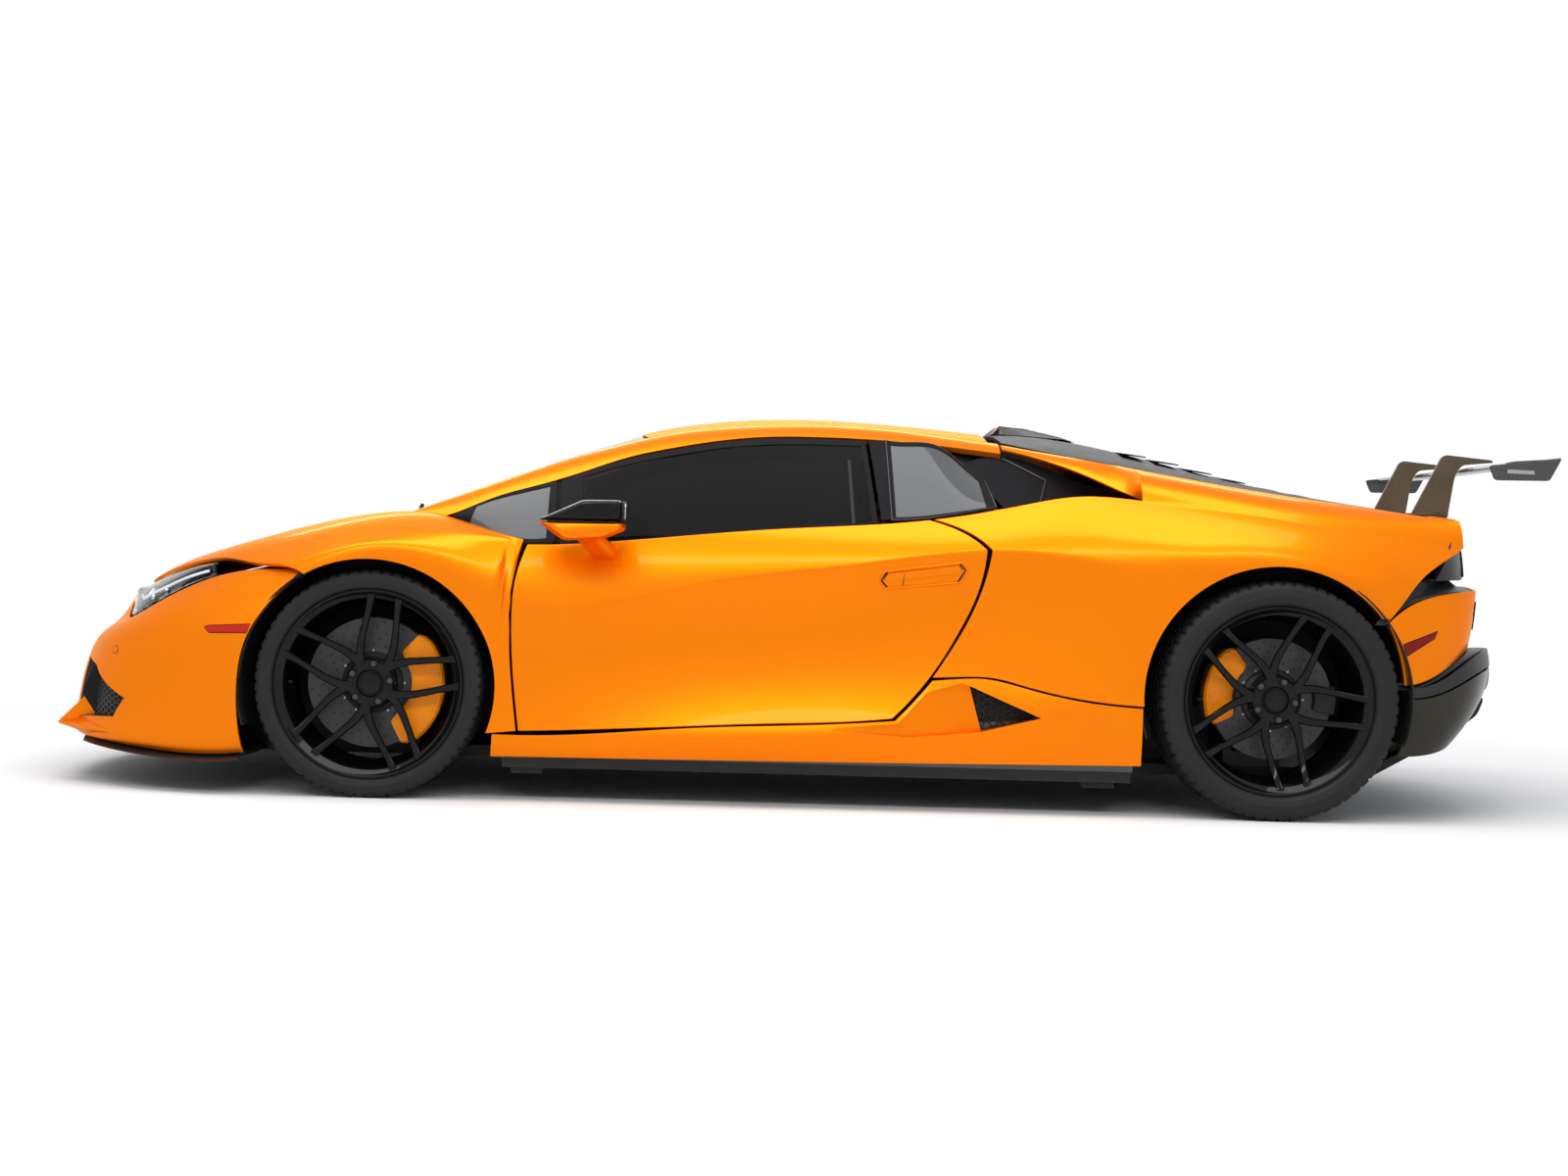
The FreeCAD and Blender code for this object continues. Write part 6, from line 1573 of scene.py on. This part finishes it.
make("wingBlade", wingShape(), "carbon", stands=["rear_wing"], sharp=40)
make("wingGurney", prism([(-2249, 1072), (-2249, 1077), (-2246.6, 1077), (-2246.6, 1071)], "y", -714, 714),
     "carbon", edge=0.4)
tag = rounded([(-2168, 1036), (-2088, 1038), (-2088, 1027), (-2168, 1025)], 2.5, 3)
for name, side in (("Right", -1), ("Left", 1)):
    y = side * wingSpec["half"]
    make("wingEnd" + name, prism(rounded(wingSpec["end"], 9, 4), "y", y - 6, y + 6), "carbon", edge=1.6)
    make("wingTag" + name, prism(tag, "y", y + side * 5.5, y + side * 6.3), "castAlloy", edge=0.2)
pylonOutline = [(-1927, 894), (-2048, 894), (-2067, 1020), (-2074, 1044), (-2092, 1068), (-2190, 1078),
                (-2184, 1086), (-2040, 1099), (-2026, 1092)]
rib = [(-1960, 900), (-1968, 900), (-2052, 1088), (-2046, 1090)]
for name, side, stands in (("Right", -1, ()), ("Left", 1, ["wing_pylons"])):
    y = side * 250.0
    make("pylon" + name, prism(rounded(pylonOutline, 12, 4), "y", y - 6, y + 6), "bronze", stands=stands,
         edge=2.0)
    for mark, face in (("B", -1), ("A", 1)):
        make("pylonCrease" + name + mark, prism(rib, "y", y + face * 5.6, y + face * 7.0), "bronze", edge=0.6)
        near, out = y + face * 5, y + face * 26
        flange = rounded([(-1915, near), (-2052, near), (-2046, out), (-1922, out)], 8, 3)
        verts, faces = prism(flange, "z", 0, 5)
        verts = [(vx, vy, vz + 908.5 - 0.012 * abs(vx + 1980)) for vx, vy, vz in verts]
        make("pylonFoot" + name + mark, (verts, faces), "bronze", edge=1.2)
        for x in (-1945, -2020):
            bolt = boltHead((x, y + face * 16, 917.0), 5.0, 5.0, 6, "z")
            make("pylonBolt%s%s%d" % (name, mark, -x), bolt, "steelDark", edge=0.3)
print("wing made")

# engine lid: intake scoop and louvres
scoopRows = [(-612, 0.1, 215, 150), (-640, 1.0, 232, 150), (-720, 0.86, 226, 140), (-840, 0.24, 190, 110),
             (-878, 0.12, 170, 100)]


def lidHeight(x):
    xs, zs = zip(*lidSpec["centre"][::-1])
    return float(np.interp(x, xs, zs))


def scoopShape(part):
    sections = []
    for x, share, baseHalf, topHalf in scoopRows:
        z = lidHeight(x) - 1
        high = z + 2 + share * 29
        outer = {"left": [(baseHalf, z), (topHalf, high), (topHalf - 9, high - 1), (baseHalf - 9, z - 1)],
                 "top": [(topHalf, high), (0, high + 2), (-topHalf, high), (-topHalf, high - 5),
                         (topHalf, high - 5)]}[part]
        sections.append([(x, y, h) for y, h in outer])
    return sections


make("scoopTop", loft(scoopShape("top")), "deckBlack", "engine_lid", edge=0.8, sharp=20)
for name, side in (("Left", 1), ("Right", -1)):
    walls = [[(x, y * side, z) for x, y, z in section] for section in scoopShape("left")]
    make("scoopSide" + name, loft(walls), "deckBlack", "engine_lid", edge=0.8, sharp=20)
    # bright steel lines along the scoop's top edges are painted highlight, the light that these edges catch
    highlightLine = [(x, side * t, lidHeight(x) + 1.5 + share * 29) for x, share, b, t in scoopRows[1:]]
    make("scoopEdge" + name, tube(highlightLine, 1.6, 8), "steel", "engine_lid", sharp=60)
# the slab across the scoop's open mouth is a dark orange: painted shade inside the duct
front = [(-609, 214, 1130), (-609, -214, 1130), (-640, -150, 1160), (-640, 150, 1160)]
back = [(x - 4, y, z - 2) for x, y, z in front]
make("scoopFront", loft([front, back]), "scoopMouthShade", "engine_lid", sharp=30)
louvreSpec = {"first": -1010, "pitch": 100, "ahead": 20, "behind": 46, "sweep": (10, 16),
              "stations": [833, 1126, 1415, 1700], "halfWidths": [370, 410, 460, 500]}


def louvreShape(x):
    # a slat across the lid, swept back towards its ends and raised at its rear edge
    n = louvreSpec
    half = float(np.interp(-x, n["stations"], n["halfWidths"]))
    slope = (lidHeight(x + 20) - lidHeight(x - 20)) / 40.0
    sections = []
    for t in np.linspace(-1, 1, 25):
        y = t * half
        z = lidHeight(x) - 38 * (y / 600.0) ** 2
        front = x + n["ahead"] - n["sweep"][0] * abs(t)
        back = x - n["behind"] - n["sweep"][1] * abs(t)
        fall = z - slope * (x - back)
        sections.append([(front, y, z), (front - 3, y, z + 1.5), (back, y, fall + 5), (back + 2, y, fall + 2),
                         (front - 6, y, z - 4)])
    return loft(sections)


for index in range(6):
    shape = louvreShape(louvreSpec["first"] - louvreSpec["pitch"] * index)
    make("lidLouvre%d" % index, shape, "deckBlack", "engine_lid", edge=0.8, sharp=40)
print("lid fittings made")

# dark inner walls: wheel wells, shelves behind the panels, backing of the buttress
def wellShape(arch, y, outer, inner=150, start=-14, end=194, steps=40):
    ring = [(outer, y), (inner, y), (inner, y + 4), (outer, y + 4)]
    return loft([[(arch["x"] + r * math.cos(a), w, arch["z"] + r * math.sin(a)) for r, w in ring]
                 for a in np.radians(np.linspace(start, end, steps))])


makePair("frontWell", wellShape(archFront, 536.0, 374), "coarseBlack", sharp=60)
makePair("rearWell", wellShape(archRear, 584.0, 391), "coarseBlack", sharp=60)


def archLip(arch, start, end, steps=60):
    # a black return from the panel's edge in to the liner
    rows = []
    for inset, grow in ((12, 1.5), (40, 3.0), (90, 4.5)):
        row = []
        for a in np.radians(np.linspace(start, end, steps)):
            x, z = onArch(arch, grow, a)
            row.append((x, sideProbe(*onArch(arch, 14, a)).y - inset, z))
        rows.append(row)
    return [p for row in rows for p in row], gridFaces(3, steps)


for label, arch, start, end in (("front", archFront, 2, 196), ("rear", archRear, 2, 168)):
    makePair(label + "ArchLip", archLip(arch, start, end), "coarseBlack", thickness=2.5, offset=0)


def shelfBetween(first, second, sink, count=121):
    top, low = (wrapGrid([edge] * 4, count, 2)[0] for edge in (first, second))
    inward = np.array([14, 0, 0])
    rows = [top + inward - [0, 0, sink], top + inward * 3 - [0, 0, sink], low + inward * 3 + [0, 0, sink],
            low + inward + [0, 0, sink]]
    return sheet([np.array(rows)])


make("fasciaShelf", shelfBetween(rearRows[2], fasciaRows[0], 3), "satinBlack", thickness=3, offset=0)
make("diffuserShelf", shelfBetween(diffuserRows[2], rearRows[0], 3), "satinBlack", thickness=3, offset=0)
sail = paneGrid([(-236, 812, 812), (-400, 800, 838), (-560, 770, 868), (-720, 730, 884)],
                [(-236, 606, 1070), (-380, 596, 1064), (-500, 590, 1054), (-700, 586, 1006)], 7, 0)
makePair("sailBacking", sheet([sail]), "satinBlack", slot="black_plastic", thickness=3, offset=0)
print("inner walls made")

# cabin: padded seats, steering wheel, dash, console and door cards
def power(value, exponent):
    return math.copysign(abs(value) ** exponent, value)


def cushionPoint(centre, half, pitch, lat, lon, square, tucks):
    ring = abs(math.cos(lat)) ** 0.42
    x = half[0] * ring * power(math.cos(lon), square)
    y = half[1] * ring * power(math.sin(lon), square)
    crown = 1 - 0.16 * ((x / half[0]) ** 2 + (y / half[1]) ** 2)
    for place in tucks:
        crown -= 0.13 * math.exp(-((x / half[0] - place) / 0.022) ** 2)
    z = half[2] * power(math.sin(lat), 0.62) * crown
    c, s = math.cos(math.radians(pitch)), math.sin(math.radians(pitch))
    return centre[0] + x * c - z * s, centre[1] + y, centre[2] + x * s + z * c


def cushionPair(name, centre, half, pitch, square=0.3, tucks=()):
    around, up = 96, 34
    verts = [cushionPoint(centre, half, pitch, math.radians(-90 + 180 * j / (up - 1.0)),
                          2 * math.pi * i / around, square, tucks) for j in range(up) for i in range(around)]
    shape = outward(verts, gridFaces(up, around, 0, False, True))
    for obj in makePair(name, shape, "leather", slot="seat_leather", sharp=80, weld=0.3):
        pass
    seam = [cushionPoint(centre, half, pitch, 0.0, 2 * math.pi * i / 72.0, square, ()) for i in range(73)]
    makePair(name + "Piping", tube(seam, 3.0, 6), "orangeHide", sharp=80)


seatY = 370.0
shellOutline = [(424, 150), (432, 262), (398, 290), (60, 246), (-78, 300), (-246, 760), (-284, 930),
                (-312, 928), (-318, 742), (-168, 250), (-130, 150)]
makePair("seatShell", prism(rounded(shellOutline, 40, 5), "y", seatY - 228, seatY + 228), "satinBlack",
         stands=["seats"], slot="cabin_trim", edge=16, segments=4, sharp=50)
cushionPair("seatBase", (205, seatY, 306), (222, 148, 50), 8.5, tucks=(-0.45, -0.05, 0.35))
cushionPair("seatBack", (-160, seatY, 612), (286, 150, 44), 110.5, tucks=(-0.55, -0.2, 0.15, 0.5))
cushionPair("headrest", (-272, seatY, 868), (78, 112, 36), 108.0)
for label, move in (("Outer", 188.0), ("Inner", -188.0)):
    cushionPair("baseBolster" + label, (200, seatY + move, 336), (214, 42, 58), 8.5, 0.45)
    cushionPair("backBolster" + label, (-128, seatY + move, 600), (250, 40, 56), 110.5, 0.45)
for label, move in (("Outer", 170.0), ("Inner", -170.0)):
    rail = [(-110, 127.5), (400, 127.5), (400, 150), (-110, 150)]
    makePair("seatRail" + label, prism(rail, "y", seatY + move - 18, seatY + move + 18), "steelDark",
             edge=2.0)

wheelAxis = Vector((-1, 0, 0.42)).normalized()
wheelUp = Vector((0.42, 0, 1)).normalized()


def wheelPoint(u, v, w):
    p = Vector((600, 370, 745)) + Vector((0, 1, 0)) * u + wheelUp * v + wheelAxis * w
    return tuple(p)


def wheelPart(name, outline, a, b, finish, edge=2.0, radius=6):
    verts, faces = prism(rounded(outline, radius, 4), "z", a, b)
    shape = outward([wheelPoint(*v) for v in verts], faces)
    make(name, shape, finish, "steering_wheel", slot="cabin_trim", edge=edge)


def wheelGrip():
    sections = []
    for i in range(96):
        a = 2 * math.pi * i / 96
        u, v = 178 * math.cos(a), 178 * math.sin(a)
        if v < -150:
            v = -150 - 6 * math.tanh((-150 - v) / 14.0)
        grip = 13.6 - 1.2 * (abs(math.sin(a)) > 0.35)
        ring = []
        for k in range(14):
            b = 2 * math.pi * k / 14
            r = 1 + grip * math.cos(b) / 178.0
            ring.append(wheelPoint(u * r, v * r, grip * math.sin(b)))
        sections.append(ring)
    verts, faces = [p for section in sections for p in section], gridFaces(96, 14, 0, False, True)
    faces += [(95 * 14 + k, 95 * 14 + (k + 1) % 14, (k + 1) % 14, k) for k in range(14)]
    return outward(verts, faces)


make("steeringGrip", wheelGrip(), "leather", "steering_wheel", ["steering_wheel"], sharp=60)
wheelPart("steeringHub", [(-56, -52), (56, -52), (66, 10), (46, 48), (-46, 48), (-66, 10)], -14, 12,
          "leather", 5.0, 18)
for label, side in (("Left", 1), ("Right", -1)):
    wheelPart("steeringSpoke" + label, [(side * 54, -26), (side * 170, -12), (side * 170, 12),
                                        (side * 54, 22)], -6, 5, "satinBlack", 2.0)
    wheelPart("steeringPaddle" + label, [(side * 62, 6), (side * 128, 22), (side * 122, 84),
                                         (side * 70, 66)], -30, -25, "pianoBlack", 1.0)
    wheelPart("steeringKeys" + label, [(side * 70, -10), (side * 104, -6), (side * 104, 8),
                                       (side * 70, 10)], 4, 8, "pianoBlack", 1.0, 3)
wheelPart("steeringFoot", [(-24, -48), (24, -48), (16, -150), (-16, -150)], -6, 4, "satinBlack", 2.0)

dashSpec = {"top": [(734, 752), (738, 768), (768, 779), (900, 790), (1008, 781), (1016, 766), (900, 762)],
            "half": 686.0}


def dashTop():
    sections = []
    for t in np.linspace(-1, 1, 41):
        drop = 16 * abs(t) ** 3
        sections.append([(x + 26 * t * t, t * dashSpec["half"], z - drop)
                         for x, z in rounded(dashSpec["top"], 18, 4)])
    return loft(sections)


make("dashTop", dashTop(), "leather", edge=2.0)
hood = rounded([(676, 760), (688, 806), (744, 818), (816, 796), (826, 770)], 16, 4)
sections = [[(750 + (x - 750) * s, y, 770 + (z - 770) * s) for x, z in hood]
            for y, s in ((226, 0.6), (234, 0.84), (252, 0.97), (370, 1.0), (488, 0.97), (506, 0.84),
                         (514, 0.6))]
make("clusterHood", loft(sections), "leather", edge=1.5, sharp=60)
make("clusterScreen", prism(rounded([(262, 764), (478, 764), (470, 803), (270, 803)], 8), "x", 676, 684),
     "pianoBlack", edge=0.8)
for index, y in enumerate((-610, -90, 90, 610)):
    hexagon = [(y - 50, 722), (y - 34, 700), (y + 34, 700), (y + 50, 722), (y + 34, 744), (y - 34, 744)]
    make("ventRing%d" % index, prism(hexagon, "x", 684, 700), "pianoBlack", edge=2.0)
    for step in (-11, 0, 11):
        bar = [(y - 38, 720 + step), (y + 38, 720 + step), (y + 38, 724 + step), (y - 38, 724 + step)]
        make("ventBar%d%d" % (index, step + 11), prism(bar, "x", 681, 686), "satinBlack",
             slot="black_plastic", edge=0.6)
consoleOutline = [(706, 700), (694, 700), (640, 612), (520, 446), (60, 424), (-440, 404), (-440, 398),
                  (700, 398)]
make("consoleCover", prism(rounded(consoleOutline, 14, 4), "y", -98, 98), "leather", edge=7, segments=3)
slope = Vector((694 - 530, 0, 696 - 462)).normalized()
lift = Vector((-slope.z, 0, slope.x))


def onConsole(name, u0, u1, v0, v1, height, finish, slot="gloss_black", edge=1.2):
    verts, faces = prism([(u0, v0), (u1, v0), (u1, v1), (u0, v1)], "z", -6, height)
    placed = [Vector((530, 0, 462)) + slope * u + Vector((0, v, 0)) + lift * w for u, v, w in verts]
    make(name, outward(placed, faces), finish, slot=slot, edge=edge)


onConsole("consoleScreen", 70, 230, -84, 84, 5, "pianoBlack", edge=3.0)
for index in range(5):
    onConsole("consoleKey%d" % index, 34, 56, -74 + 31 * index, -50 + 31 * index, 6, "satinBlack")
onConsole("starterCover", -4, 26, -20, 20, 12, "lensAmber", "lamp_red", 3.0)
make("armPad", prism(rounded([(60, 418), (60, 446), (-260, 436), (-260, 408)], 12, 4), "y", -82, 82),
     "leather", edge=7, segments=3)


def innerPart(grid, us, vs, inset):
    return surfaceAt(grid, np.linspace(*us, 60), np.linspace(*vs, 22)) - np.array([0, inset, 0])


core = innerPart(doorGrids[0], (0.055, 0.955), (0.06, 0.985), 10.6)
upper = innerPart(doorGrids[1], (0.06, 0.93), (0.0, 0.8), 10.6)
panelPair("doorCore", [core], doors, {"thickness": 34, "edge": 3.0}, finish="leather")
panelPair("doorCoreUpper", [upper], doors, {"thickness": 26, "edge": 3.0}, finish="leather")
cardProbe = probeFor([core - np.array([0, 34, 0])], "y", -1.0)
makePair("doorInsert", plate(cardProbe, [(520, 440), (120, 452), (-260, 470)],
                             [(470, 575), (120, 600), (-330, 640)], 7, 9, 50, 8), "orangeHide", doors,
         edge=3.0, segments=3)
makePair("doorArmrest", plate(cardProbe, [(420, 372), (0, 382), (-240, 396)],
                              [(400, 428), (0, 440), (-280, 452)], 44, 46, 50, 6), "leather", doors,
         edge=12.0, segments=3)
pull = [cardProbe(x, z, h)
        for x, z, h in ((300, 520, 6), (285, 520, 34), (120, 534, 40), (-40, 545, 34), (-56, 546, 6))]
makePair("doorPull", tube(resample(pull, 24), 9, 10), "satinBlack", doors, slot="cabin_trim", sharp=60)
makePair("doorSpeaker", plate(cardProbe, *circleChains(600, 330, 68), 5, 7, 24, 8), "satinBlack", doors,
         slot="black_plastic", edge=1.5)
print("cabin made")

# windscreen wiper, mirror inside, and small fittings under the glass
screenProbe = probeFor([spanGrid(screenSpec)], "z", 1500.0)
blade = [screenProbe(x, y, 9) for x, y in chain([(1140, 560), (1185, 240), (1195, -80)], 24)]
make("wiperBlade", tube(blade, 5, 8), "satinBlack", slot="black_plastic", sharp=60)
arm = [screenProbe(x, y, h) for x, y, h in ((1226, -120, 12), (1206, 40, 20), (1178, 240, 16))]
make("wiperArm", tube(resample(arm, 14), [9] * 7 + [6] * 7, 8), "satinBlack", slot="black_plastic", sharp=60)
make("cabinMirror", loft([[(560 + dx * s, y, 1010 + dz * s)
                           for dx, dz in rounded([(-8, -26), (10, -24), (10, 26), (-8, 28)], 8, 3)]
                          for y, s in ((-112, 0.6), (-104, 0.9), (0, 1.0), (104, 0.9), (112, 0.6))]),
     "satinBlack", slot="cabin_trim", sharp=60)
make("cabinMirrorStem", tube([(566, 0, 1020), (588, 0, 1046), (590, 0, 1062)], 7, 8), "satinBlack",
     slot="cabin_trim", sharp=60)

# the solids that stay as they are get a finish of their own
carried = {"arch_liners": "coarseBlack", "cabin_bulkheads": "leather", "dashboard": "leather",
           "engine_block": "castDark", "floor_pan": "satinBlack", "front_knuckle_left": "castAlloy",
           "front_knuckle_right": "castAlloy", "front_tub": "satinBlack", "hinge_posts": "satinBlack",
           "jack_pads": "coarseBlack", "rear_knuckles": "castAlloy", "rear_subframe": "castDark",
           "sill_beams": "carbon", "suspension_arms": "castDark"}
for name, node in nodes.items():
    finish = finishes[carried.get(name, "satinBlack")].material
    for slot in node.material_slots:
        slot.link = "OBJECT"
        slot.material = finish
print("carried solids finished")


# studio
studio = {"camera": (0.162, 7.945, 0.727), "focalPixels": 2489.0, "roll": 1.5, "picture": (1600, 1200),
          "axisPixel": (760.0, 566.0), "keyPower": 190, "fillPower": 110, "nearFloor": 2.7, "fadeFloor": 1.6}


def makeStudio():
    scene = bpy.context.scene
    scene.view_settings.view_transform = "Standard"
    camera = bpy.data.cameras.new("camera")
    camera.sensor_width = 36
    wide, high = studio["picture"]
    px, py = studio["axisPixel"]
    camera.lens = studio["focalPixels"] / wide * camera.sensor_width
    camera.shift_x = (wide / 2 - px) / wide
    camera.shift_y = (py - high / 2) / wide
    holder = bpy.data.objects.new("camera", camera)
    scene.collection.objects.link(holder)
    turn = Matrix.Rotation(math.pi, 4, "Z") @ Matrix.Rotation(math.radians(90), 4, "X")
    turn = turn @ Matrix.Rotation(math.radians(studio["roll"]), 4, "Z")
    holder.matrix_world = Matrix.Translation(studio["camera"]) @ turn
    scene.camera = holder

    scene.world = bpy.data.worlds.new("studioWorld")
    sky = Tree(scene.world)
    sky.nodes.clear()
    soft = sky.node("Background", {}, {"Color": (0.93, 0.96, 1.0), "Strength": 0.55})
    white = sky.node("Background", {}, {"Color": (1, 1, 1), "Strength": 1.0})
    mixed = sky.node("MixShader", {}, {0: sky.straightRays(), 1: soft, 2: white})
    sky.node("OutputWorld", {}, {"Surface": mixed})

    for name, place, size, power in (("topLight", (0.3, 1.2, 4.6), (6.5, 2.6), studio["keyPower"]),
                                     ("nearLight", (0.2, 5.0, 3.7), (7.0, 0.6), studio["fillPower"]),
                                     ("farLight", (0.2, -5.0, 3.7), (7.0, 0.6), studio["fillPower"])):
        light = bpy.data.lights.new(name, "AREA")
        light.shape = "RECTANGLE"
        light.size, light.size_y = size
        light.energy = power
        lampObject = bpy.data.objects.new(name, light)
        scene.collection.objects.link(lampObject)
        aim = (Vector((0, 0, 0.5)) - Vector(place)).to_track_quat("-Z", "Y")
        lampObject.matrix_world = Matrix.Translation(place) @ aim.to_matrix().to_4x4()

    size = 60
    ground = bpy.data.meshes.new("floor")
    ground.from_pydata([(-size, -size, 0), (size, -size, 0), (size, size, 0), (-size, size, 0)], [],
                       [(0, 1, 2, 3)])
    floor = bpy.data.objects.new("floor", ground)
    scene.collection.objects.link(floor)
    f = Finish("floorPaper", {"Roughness": 0.9, "Specular IOR Level": 0.1})
    f.set({"Base Color": f.mix(f.noise(3.0), (0.86, 0.86, 0.86), (0.87, 0.87, 0.87))})
    x, y, z = f.parts(f.place())
    far = ((x * x + y * y).maths("POWER", 0.5) - studio["nearFloor"]) / studio["fadeFloor"]
    white = f.node("Emission", {}, {"Color": (1, 1, 1), "Strength": 1.0})
    share = far.maths("MAXIMUM", 0.0).maths("MINIMUM", 1.0) * f.straightRays()
    blended = f.node("MixShader", {}, {0: share, 1: Wire(f, f.shader.outputs[0]), 2: white})
    f.feed(f.nodes["Material Output"].inputs["Surface"], blended)
    ground.materials.append(f.material)


makeStudio()
